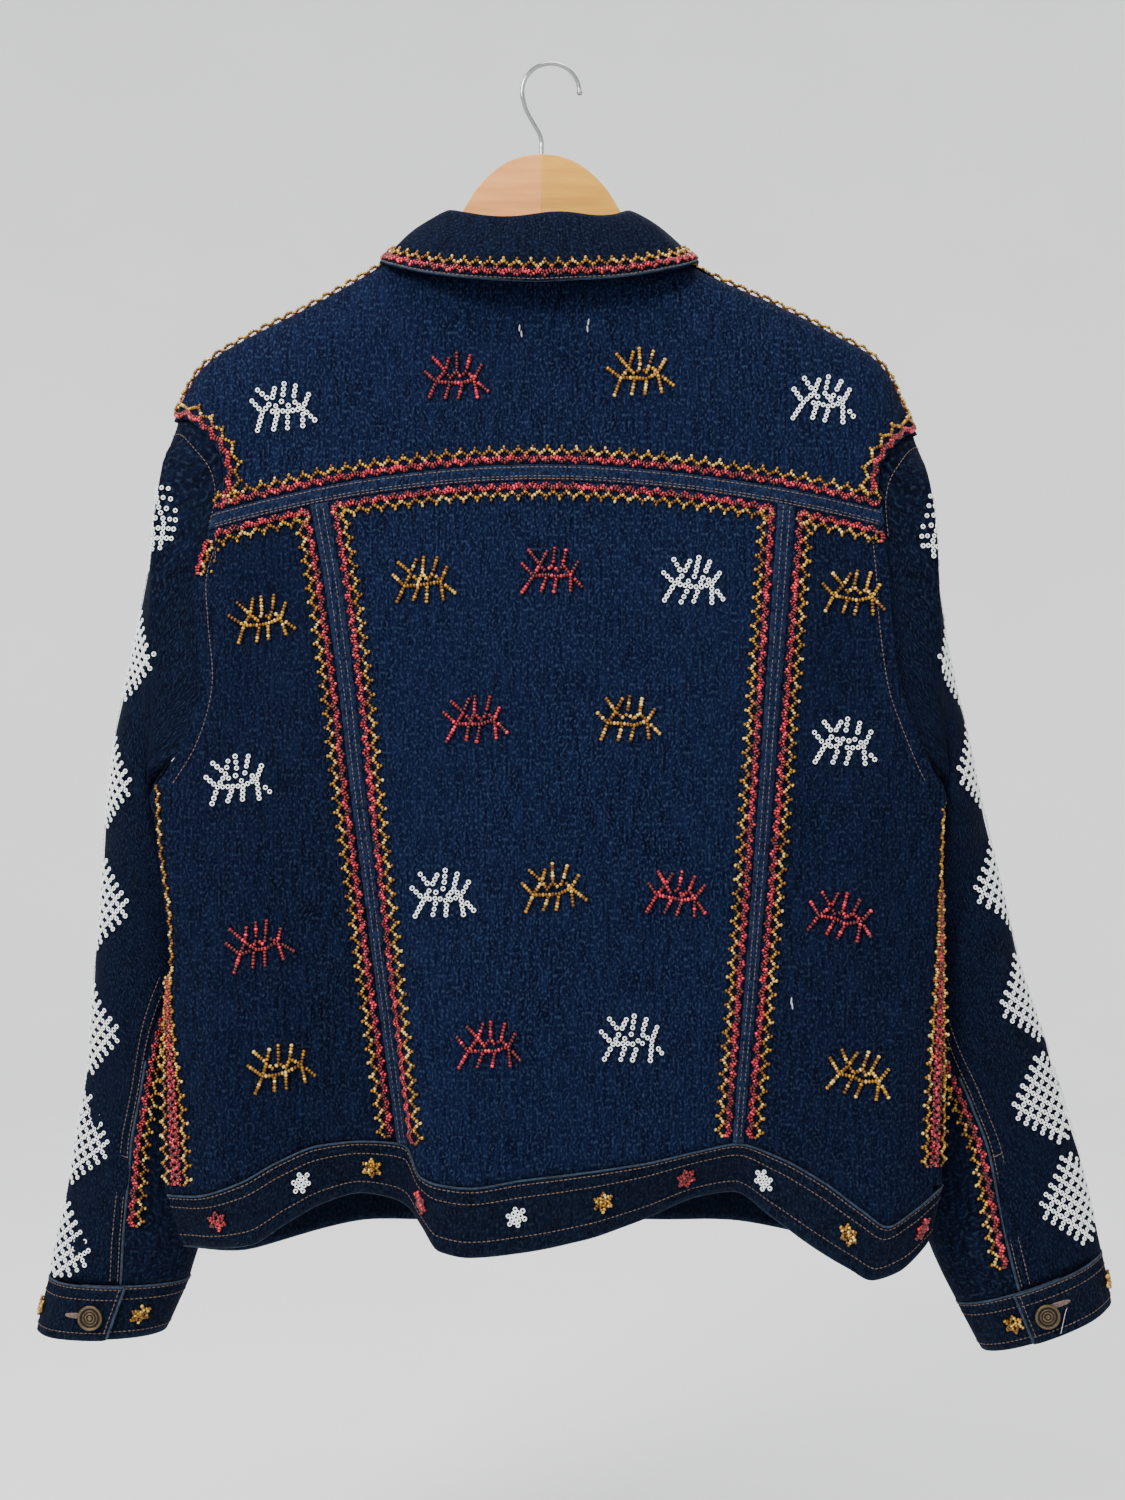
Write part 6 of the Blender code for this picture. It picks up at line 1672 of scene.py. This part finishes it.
# The diamonds: their rows in the photograph, and the degrees round the sleeve at which their middles lie.
Diamonds = namedtuple("Diamonds", "side rows turns")
DIAMONDS = (
    Diamonds(-1, (512, 645, 775, 898, 1023, 1133, 1241), (26, 24, 22, 21, 22, 22, 23)),
    Diamonds(1, (530, 655, 765, 880, 990, 1086, 1188), (20, 17, 16, 17, 24, 34, 38)),
)
DIAMOND_ROWS = 5
DIAMOND_REACH = 7
DIAMOND_RISE = 2.5
DIAMOND_RUN = 2.25
DIAMOND_GAP = 24
DIAMOND_SPAN = 29
JOIN_ANGLE = 9
JOIN_STEP = 2.0
LATTICE = np.array([
    ((i + j) * DIAMOND_RISE, (i - j) * DIAMOND_RUN)
    for i in range(-DIAMOND_REACH, DIAMOND_REACH + 1) for j in range(-DIAMOND_REACH, DIAMOND_REACH + 1)
    if i % 2 and abs(i) <= DIAMOND_ROWS or j % 2 and abs(j) <= DIAMOND_ROWS
])


def square_place(side, at, along, start, turn):
    """A surface of a sleeve round one spot: s runs down the sleeve and h goes round it, square to s."""
    stops = {}
    for sign in (-1, 1):
        s, angle = start, turn
        for step in range(DIAMOND_SPAN + 1):
            near = sleeve_point(
                side, np.interp([s + 1, s - 1, s, s], along, at), np.array([angle, angle, angle + 1, angle - 1.0])
            )
            run, around = (near[0] - near[1]) / 2, (near[2] - near[3]) / 2
            stops[sign * step] = (s, angle)
            slant = around @ unit(run)
            turned = sign / np.linalg.norm(around - slant * unit(run))
            angle, s = angle + turned, s - slant * turned / np.linalg.norm(run)
    way = np.arange(-DIAMOND_SPAN, DIAMOND_SPAN + 1)
    spots_down, angles = np.array([stops[step] for step in way]).T
    lines = sleeve_point(side, at[None], angles[:, None])
    arcs = [lengths(line) for line in lines]
    starts = [np.interp(spot, along, arc) for spot, arc in zip(spots_down, arcs)]

    def place(s, h):
        low = np.clip(np.floor(h).astype(int), -DIAMOND_SPAN, DIAMOND_SPAN - 1)
        first, second = (
            np.array([np.interp(starts[k] + one, arcs[k], at) for one, k in zip(s, rows + DIAMOND_SPAN)])
            for rows in (low, low + 1)
        )
        return sleeve_point(side, first + (h - low) * (second - first), np.interp(h, way, angles))

    return place


def build_diamonds():
    """White lattices down the outer side of each sleeve, joined by a row of beads."""
    for side, rows, turns in DIAMONDS:
        kind, outward = f"diamond_beads_{word_of(side)}", towards(side, -0.3, 0)
        at = np.linspace(0.6, LAST_RING - 0.05, 500)
        edge = sleeve_point(side, at, np.zeros_like(at))
        along = lengths(edge)
        starts = [float(np.interp(row, sleeve_rows_seen(edge[:, 2]), along)) for row in rows]
        for start, turn in zip(starts, turns):
            place = square_place(side, at, along, start, turn)
            points, way, normals = frames_at(place, *LATTICE.T, outward)
            gather(kind, points + normals * DONUT_LIFT, normals, way)

        def edge_place(s, h):
            return sleeve_point(side, np.interp(s, along, at), JOIN_ANGLE + h * 1.9)

        s = np.arange(starts[0], starts[-1], JOIN_STEP)
        far = np.min([np.abs(s - one) for one in starts], axis=0) > DIAMOND_GAP
        for run in np.split(np.arange(len(s)), np.where(np.diff(far.astype(int)) != 0)[0] + 1):
            if far[run[0]] and len(run) > 2:
                string_beads(kind, edge_place, s[run], np.zeros(len(run)), outward, DONUT_PITCH, DONUT_LIFT, True)


# Topstitching: how far each row lies from its seam or edge, in millimetres, degrees or shares of a height.
YOKE_STITCHES = (3.6, -2.4, -4.2)
PRINCESS_STITCHES = (-2.2, 2.2)
ARMHOLE_STITCHES = {"back": 8.7, "front": 8.0}
SLEEVE_STITCHES = (3.0, 9.0)
TACK_STITCHES = (3.4, 5.4, 7.4)
CAP_STITCHES = 0.24
CUFF_STITCHES = (0.06, 0.25, 0.86)
CUFF_END_STITCHES = 3.5
BAND_STITCHES = (0.07, 0.24, 0.78)
COLLAR_STITCHES = 1.4
FRONT_BAND_STITCHES = 4
FRONT_STITCHES = (0, 5)
TACK_ROW = 1151
TackBar = namedtuple("TackBar", "px py length lean")
TACK_BARS = (TackBar(211, 555, 3.0, 90), TackBar(207, 555, 2.4, 0), TackBar(215, 555, 2.4, 0))
ThreadMark = namedtuple("ThreadMark", "px py lean")
THREAD_MARKS = (
    ThreadMark(519, 328, 3), ThreadMark(521, 334, -4), ThreadMark(588, 322, 8), ThreadMark(587, 329, -4),
    ThreadMark(791, 1001, 5), ThreadMark(792, 1006, -6),
)


def leaning(lean):
    return np.array([math.sin(math.radians(lean)), 0, math.cos(math.radians(lean))])


def on_raised(flat):
    return on_back(flat, 0.7)


def stitch_back():
    x = np.linspace(yoke_end(-1, 0)[1][0] + 2, yoke_end(1, 0)[1][0] - 2, 300)
    place, length = beside(yoke_level(x, 0), 1, on_raised)
    for h in YOKE_STITCHES:
        stitch("stitches_back", place, np.linspace(0, length, 300), h, backwards, 0.3)
    for side in (-1, 1):
        place, length = beside((strip_edge(side, -1, BACK_ROWS) + strip_edge(side, 1, BACK_ROWS)) / 2, 1, on_raised)
        s = np.linspace(0, length - 1, 300)
        for h in PRINCESS_STITCHES:
            stitch("stitches_back", place, s, h * (1 - 0.3 * s / length), backwards, 0.3)
        start = yoke_end(side, -YOKE_HALF_STRIP)[0]
        place, length = beside(at_fractions(armhole(side), np.linspace(start + 0.03, 0.97, 120)), -side)
        stitch("stitches_back", place, np.linspace(0, length, 200), ARMHOLE_STITCHES["back"], backwards)
    for one in TACK_BARS:
        way = leaning(one.lean)
        for step in (-0.6, 0.6):
            point = on_back(seen_at(one.px, one.py), 0.3) + way * step * one.length
            gather("stitches_back", point, way[None], backwards(point))
    for one in THREAD_MARKS:
        point = on_back(seen_at(one.px, one.py), 0.25)
        gather("thread_marks", point, leaning(one.lean), backwards(point))


def stitch_sleeve(side):
    """Beside the sleeve's seam, across its vent, round its cap, and on its cuff."""
    position = np.linspace(1.6, LAST_RING - 0.05, 260)
    steps = np.arange(260.0)
    seam = smooth(rings_of(side), "number", "seam", position)
    for shift in SLEEVE_STITCHES:
        def seam_place(s, h):
            return sleeve_point(side, np.interp(s, steps, position), np.interp(s, steps, seam) - shift + h)

        stitch("stitches_sleeves", seam_place, steps, 0, backwards)
    tack = float(np.interp(TACK_ROW, sleeve_rows_seen(sleeve_point(side, position, seam)[:, 2]), position))
    for shift in TACK_STITCHES:
        angle = float(np.interp(tack, position, seam)) - shift
        ends = sleeve_point(side, np.array([tack, tack]), angle + np.array([-1.0, 1.0]))
        point = ends.mean(axis=0) + [0, -0.4, 0]
        gather("stitches_tacks", point, ends[1] - ends[0], backwards(point))
    stitch(
        "stitches_sleeves", lambda s, h: sleeve_point(side, CAP_STITCHES + h, s), np.linspace(-150, 56, 140), 0,
        towards(side, 0, 0.3),
    )
    lap = cuff_lap(side)
    for down in CUFF_STITCHES:
        def cuff_place(s, h):
            return cuff_point(side, down + h / 40, lap - s, cuff_over(s) + CUFF_STITCH_RISE)

        stitch("stitches_sleeves", cuff_place, np.linspace(1.5, 360, 300), 0, from_wrist(side))

    def end_place(s, h):
        over = cuff_over(np.full_like(s, CUFF_END_STITCHES)) + CUFF_STITCH_RISE
        return cuff_point(side, s, lap - CUFF_END_STITCHES + h, over)

    stitch("stitches_sleeves", end_place, np.linspace(0.05, 0.86, 30), 0, backwards)


def stitch_waistband():
    grid = waist_grid(WAIST_ROWS)
    along = lengths(grid[WAIST_ROWS // 2])
    for down in BAND_STITCHES:
        line = grid[0] * (1 - down) + grid[-1] * down

        def band_place(s, h):
            base = np.stack([np.interp(s, along, line[:, i]) for i in range(3)], -1)
            return base + np.array([0, 0, 1.0]) * np.asarray(h)[..., None]

        def band_out(points):
            return (points - np.array([0, 2, 0])) * np.array([1, 12, 0])

        stitch("stitches_band", band_place, np.linspace(2, along[-1] - 2, 900), 0, band_out, 0.75)


def stitch_collar():
    position = np.linspace(-COLLAR_END + 0.1, COLLAR_END - 0.1, 400)
    steps = np.arange(400.0)
    fold, edge = collar_lines(position)
    tall = np.linalg.norm(edge - fold, axis=1)

    def leaf_place(s, h):
        return leaf_point(np.interp(s, steps, position), 1 - (COLLAR_STITCHES + h) / np.interp(s, steps, tall))

    stitch("stitches_collar", leaf_place, steps, 0, from_neck)


def stitch_front():
    for side in (-1, 1):
        place, length = beside(at_fractions(armhole(side), np.linspace(0.02, 0.98, 160)), -side, on_front)
        stitch("stitches_front", place, np.linspace(0, length, 240), ARMHOLE_STITCHES["front"], forwards)
    edge = NECK_X + FRONT_LAP
    for x in (edge - FRONT_BAND_STITCHES, edge - FRONT_BAND_WIDTH + FRONT_BAND_STITCHES):
        def band_place(s, h):
            at = (x + h) * np.ones_like(s)
            return np.stack([at, front_y(at, s) + lap_rise(-1, at) + SEAM_GAP + DENIM + 0.4, s], -1)

        stitch("stitches_front", band_place, np.linspace(-204, FRONT_HEM + 3, 200), 0, forwards)
    for side, low in ((-1, 118), (1, 100)):
        x = side * np.linspace(70, low, 60) + NECK_X
        place, length = beside(np.stack([x, np.linspace(-330, FRONT_HEM + 4, 60)], -1), 1, on_front)
        for h in FRONT_STITCHES:
            stitch("stitches_front", place, np.linspace(0, length, 150), h, forwards)


def worn_tube(name, line, radius):
    tube(name, line, radius, WORN_EDGE)


def build_edges():
    """Worn, paler edges of folded seams."""
    grid = waist_grid(WAIST_ROWS)
    normals = grid_normals(grid, True)
    worn_tube("waistband_top_edge", grid[0] + normals[0] * 0.2 + np.array([0, 0, -0.6]), 0.75)
    worn_tube("waistband_low_edge", grid[-1] - normals[-1] * 0.9, 0.8)
    edge = leaf_point(np.linspace(-COLLAR_END, COLLAR_END, 260), np.ones(260))
    outward = edge - np.array([NECK_X, 0, 0])
    outward[:, 2] = 0
    worn_tube("collar_edge", edge - unit(outward) * 0.9 + np.array([0, 0, 0.4]), 0.85)
    for side, word in SIDES:
        lap = cuff_lap(side)
        turned = np.linspace(0, 360 + CUFF_LAP_ANGLE, 150)
        over = cuff_over(turned)
        worn_tube(f"cuff_{word}_top_edge", cuff_point(side, 0.02, lap - turned, over + 0.1), 0.75)
        worn_tube(f"cuff_{word}_low_edge", cuff_point(side, 0.995, lap - turned, over - 0.9), 0.8)
        down = np.linspace(0.02, 0.99, 30)
        worn_tube(f"cuff_{word}_lap_edge", cuff_point(side, down, lap, cuff_over(np.zeros(30)) - 0.2), 1.0)
        position = np.linspace(8.5, LAST_RING, 90)
        seam = smooth(rings_of(side), "number", "seam", position)
        worn_tube(f"sleeve_{word}_vent_edge", sleeve_point(side, position, seam - 0.4), 0.95)


# Buttons, buttonholes and hanger.
# A button's outline from its middle to its rim and round its back. Rub is how far its patina is gone.
Turn = namedtuple("Turn", "reach height rub")
BUTTON = tuple(Turn(*row) for row in (
    (0, 2.9, 1), (0.15, 2.9, 1), (0.2, 2.4, 0), (0.27, 2.4, 0), (0.31, 2.75, 1), (0.38, 2.75, 1), (0.42, 2.3, 0),
    (0.5, 2.3, 0.1), (0.54, 2.6, 0.8), (0.6, 2.6, 0.8), (0.64, 2.2, 0), (0.76, 2.2, 0.05), (0.84, 2.9, 0.9),
    (0.92, 3.05, 1), (1.0, 2.5, 0.6), (1.0, 1.4, 0.2), (0.94, 0.3, 0), (0.4, 0.1, 0),
))
BUTTON_SIDES = 40
BUTTON_SMALLEST = 0.01
BUTTON_BACK_DEPTH = 0.3
# A cuff's buttonhole: how far round it goes, how much it is lifted, and how it leans.
Hole = namedtuple("Hole", "side reach lift lean")
HOLES = (Hole(-1, 22.0, 0.0, 0.0), Hole(1, 18.0, 0.14, 1 / 420))
HOLE_START = 1.5
LYING_THREAD = DOUBLED_DENIM + 0.9


def button_piece(name, stands_for, centre, outward):
    """A shank button: domed middle, plain rings and a rolled rim, on the node's own place."""
    turns = np.linspace(0, 2 * math.pi, BUTTON_SIDES, endpoint=False)
    outward = unit(outward)
    across = unit(np.cross(outward, np.array([0.1, 0.2, 1.0])))
    up = np.cross(outward, across)
    points = np.array([
        centre + outward * one.height
        + (across * math.cos(turn) + up * math.sin(turn)) * (max(one.reach, BUTTON_SMALLEST) * BUTTON_RADIUS)
        for one in BUTTON for turn in turns
    ])
    mesh = mesh_of(name, points, ring_faces(len(BUTTON), BUTTON_SIDES))
    mark(mesh, "rub", np.repeat([one.rub for one in BUTTON], BUTTON_SIDES))
    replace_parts(place_piece(name, mesh, BRONZE), stands_for)


def button_back(name):
    """Where a button's node starts on the cloth, and the way it faces."""
    points = np.array([v.co[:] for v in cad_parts[name].data.vertices]) / MM
    centre = points.mean(axis=0)
    _, _, axes = np.linalg.svd(points - centre, full_matrices=False)
    outward = axes[-1] * np.sign(axes[-1][1]) * (1 if name.startswith("front") else -1)
    away = (points - centre) @ outward
    low = away.min()
    flat = (points - centre)[np.abs(away - low) < BUTTON_BACK_DEPTH]
    return centre + outward * low + (flat - np.outer(flat @ outward, outward)).mean(axis=0), outward


def build_buttons():
    for name in sorted(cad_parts):
        if "button" in name:
            button_piece(name + "_shank", name, *button_back(name))
    turn = np.linspace(0, 2 * math.pi, 60)
    for side, reach, lift, lean in HOLES:
        along = HOLE_START + (reach - HOLE_START) * (1 - np.cos(turn)) / 2
        angle = cuff_lap(side) - CUFF_BUTTON_INSET - along
        for number, height in (("0_0", 1.35), ("0_5", 0.5)):
            down = CUFF_BUTTON_DOWN - lift + along * lean + np.sin(turn) * height / CUFF_TALL
            tube(f"buttonhole_{side + 1}_{number}", cuff_point(side, down, angle, LYING_THREAD), 0.6, THREAD,
                 5)
    loose = np.linspace(0, 1, 24)
    angle = cuff_lap(1) - CUFF_BUTTON_INSET - 14.5 + 10.5 * loose**0.8
    line = cuff_point(1, 0.56 + 0.4 * loose, angle, LYING_THREAD + 0.8 * np.sin(loose * 2.6))
    tube("loose_thread", line, 0.2, PALE_THREAD, 5)


def outline_of_wood(side):
    hump = curve_through([(WOOD_JOINT_X + side * spot.x, spot.z) for spot in WOOD_HUMP], 6)
    reach = WOOD_JOINT_X + side * WOOD_ARM_END
    xs = np.linspace(NECK_X + side * (NECK_HALF_WIDTH + 6), reach, 50)
    arm = np.stack([xs, shoulder_ridge(xs)[0] - WOOD_CLEARANCE], -1)
    f = np.linspace(1, 0, 50)
    tip = float(shoulder_ridge(reach)[0]) - WOOD_CLEARANCE - WOOD_ARM_HEIGHT
    middle = WOOD_TOP - WOOD_CENTRE_HEIGHT
    lower = np.stack([WOOD_JOINT_X + (reach - WOOD_JOINT_X) * f, middle + (tip - middle) * f**1.25], -1)
    half = (arm[-1, 1] - lower[0, 1]) / 2
    turn = math.pi * np.arange(1, 12) / 12
    nose = np.stack([
        reach + side * half * 0.7 * np.sin(turn), (arm[-1, 1] + lower[0, 1]) / 2 + half * np.cos(turn)
    ], -1)
    return np.concatenate([hump, arm, nose, lower])


def polyline(name, dimensions, points):
    """A Blender curve of straight steps, its points in millimetres."""
    curve = bpy.data.curves.new(name, "CURVE")
    curve.dimensions = dimensions
    spline = curve.splines.new("POLY")
    spline.points.add(len(points) - 1)
    for point, place in zip(spline.points, points):
        point.co = (*(value * MM for value in place), 1)
    return curve, spline


WOOD_BEVEL = 4.0
HOOK_ARC = (197, 4)
HOOK_STEPS = 40
HOOK_BALL = 2.1
BALL_STEPS = 13


def build_wood(side, word, finish):
    curve, spline = polyline("outline", "2D", [(x, z, 0) for x, z in outline_of_wood(side)])
    curve.fill_mode = "BOTH"
    curve.extrude = WOOD_THICKNESS / 2 * MM
    spline.use_cyclic_u = True
    flat = link("outline", curve)
    bpy.context.view_layer.update()
    mesh = bpy.data.meshes.new_from_object(flat.evaluated_get(bpy.context.evaluated_depsgraph_get()))
    bpy.data.objects.remove(flat)
    mesh.transform(Matrix.Rotation(math.pi / 2, 4, "X"))
    built = bmesh.new()
    built.from_mesh(mesh)
    bmesh.ops.remove_doubles(built, verts=built.verts, dist=0.00001)
    bmesh.ops.recalc_face_normals(built, faces=built.faces)
    built.to_mesh(mesh)
    built.free()
    mesh.materials.clear()
    made = place_piece(f"hanger_{word}_wood", mesh, finish)
    rounded = made.modifiers.new("rounded", "BEVEL")
    rounded.width = WOOD_BEVEL * MM
    rounded.segments = 4
    rounded.limit_method = "ANGLE"
    rounded.angle_limit = math.radians(60)
    mesh.shade_smooth()
    mesh.set_sharp_from_angle(angle=math.radians(40))
    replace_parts(made, f"hanger_arm_{word}")


def build_hook():
    """One wire: up out of the wood, round the hook, and a ball at its end."""
    foot = [(WOOD_JOINT_X, WOOD_TOP - 2), (WOOD_JOINT_X, -55), (WOOD_JOINT_X, -52), (WOOD_JOINT_X - 1.2, -47)]
    foot += [(WOOD_JOINT_X - 4, -42), (-16.4, -31)]
    first, last = HOOK_ARC
    turns = [math.radians(first + (last - first) * i / HOOK_STEPS) for i in range(HOOK_STEPS + 1)]
    centre = WIRE_RADIUS - HOOK_RADIUS
    arc = [(HOOK_RADIUS * math.cos(turn), centre + HOOK_RADIUS * math.sin(turn)) for turn in turns]
    route = list(curve_through(foot + arc, 6))
    way = unit(route[-1] - route[-2])
    widths = [1.0] * len(route)
    tip = route[-1]
    for i in range(BALL_STEPS + 1):
        turn = math.pi * (0.25 + 0.72 * i / BALL_STEPS)
        route.append(tip + way * (HOOK_BALL * math.cos(math.pi / 4) - HOOK_BALL * math.cos(turn) + 0.3))
        widths.append(HOOK_BALL * math.sin(turn) / WIRE_RADIUS)
    curve, spline = polyline("hook", "3D", [(x, 0, z) for x, z in route])
    curve.bevel_depth = WIRE_RADIUS * MM
    curve.bevel_resolution = 5
    curve.use_fill_caps = True
    for point, width in zip(spline.points, widths):
        point.radius = width
    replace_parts(place_piece("hanger_hook_wire", curve, CHROME), "hanger_hook")


def build_beads_and_stitches():
    """The gathered places, one piece for each kind."""
    for kind in sorted(gathered):
        colour = kind.split("_")[-1]
        if colour in ("red", "gold"):
            size = SEED_RADIUS * (SPRIG_SEED if kind.startswith("sprigs") else 1.0)
            strew(kind, SEED, (size,) * 3, RED_GLASS if colour == "red" else GOLD_GLASS)
        elif kind == "thread_marks":
            strew(kind, STITCH, MARK_HALF, PALE_THREAD)
        elif kind.startswith("stitches"):
            strew(kind, STITCH, STITCH_HALF, THREAD)
        else:
            strew(kind, DONUT, (DONUT_RADIUS,) * 3, WHITE_BEAD)


# Camera, light and backdrop, in metres.
Light = namedtuple("Light", "name place size power target")
LIGHTS = (
    Light("key", (-1.15, -1.45, 0.85), 0.7, 66, (0, 0, -0.36)),
    Light("fill", (1.9, -1.9, 0.0), 1.6, 6, (0, 0, -0.5)),
    Light("top", (0.1, -0.6, 1.3), 0.8, 22, (0, 0.1, -0.4)),
    Light("front", (0.5, 1.8, 1.45), 1.2, 34, (0, 0, -0.4)),
)
SENSOR = 36
FRAME_TALL = 1000
FLOOR_Z, FLOOR_FLAT, FLOOR_BEND = -1.15, 2.5, 0.8
WALL_TOPS = (1.0, 2.6)
WORLD_COLOUR, WORLD_STRENGTH = (0.9, 0.93, 1.0, 1), 0.9


def build_floor():
    """A round floor that bends up into a wall."""
    turns = np.linspace(0, 2 * math.pi, 97)[:-1]
    profile = [(0.0004, FLOOR_Z), (1.0, FLOOR_Z)]
    profile += [
        (FLOOR_FLAT + FLOOR_BEND * math.sin(t), FLOOR_Z + FLOOR_BEND - FLOOR_BEND * math.cos(t))
        for t in np.linspace(0, math.pi / 2, 16)
    ]
    profile += [(FLOOR_FLAT + FLOOR_BEND, top) for top in WALL_TOPS]
    points = np.array([(r * math.cos(t), r * math.sin(t), z) for r, z in profile for t in turns]) / MM
    floor = link("floor", mesh_of("floor", points, ring_faces(len(profile), len(turns))[:, ::-1]))
    pale = speckled_material("pale_floor", (0.88, 0.89, 0.865), (0.905, 0.915, 0.89), 0.9, size=3)
    floor.data.materials.append(pale)


def build_stage():
    camera = bpy.data.cameras.new("camera")
    camera.sensor_width = SENSOR
    camera.lens = SENSOR * CAMERA_REACH / FRAME_TALL
    camera.clip_start, camera.clip_end = 0.05, 20
    seen = link("camera", camera)
    seen.location = CAMERA * MM
    seen.rotation_euler = (math.pi / 2, 0, 0)
    bpy.context.scene.camera = seen
    build_floor()
    for one in LIGHTS:
        light = bpy.data.lights.new(one.name, "AREA")
        light.size = one.size
        light.energy = one.power
        lamp = link(one.name, light)
        lamp.location = one.place
        lamp.rotation_euler = (Vector(one.target) - Vector(one.place)).to_track_quat("-Z", "Y").to_euler()
    world = bpy.data.worlds.new("studio")
    world.use_nodes = True
    background = world.node_tree.nodes["Background"]
    background.inputs["Color"].default_value = WORLD_COLOUR
    background.inputs["Strength"].default_value = WORLD_STRENGTH
    bpy.context.scene.world = world


build_back()
build_front()
build_waistband()
for side, word in SIDES:
    build_sleeve(side, word)
    build_cuff(side, word)
build_collar()
edge_yoke()
edge_shoulders()
edge_collar()
edge_sides()
edge_sleeves()
build_sprigs()
build_stars()
build_diamonds()
stitch_back()
for side, _ in SIDES:
    stitch_sleeve(side)
stitch_waistband()
stitch_collar()
stitch_front()
build_edges()
build_buttons()
for side, word, finish, slot in ((-1, "left", WOOD_PINK, "wood_pinkish"), (1, "right", WOOD_PALE, "wood_pale")):
    build_wood(side, word, finish)
build_hook()
build_beads_and_stitches()
build_stage()
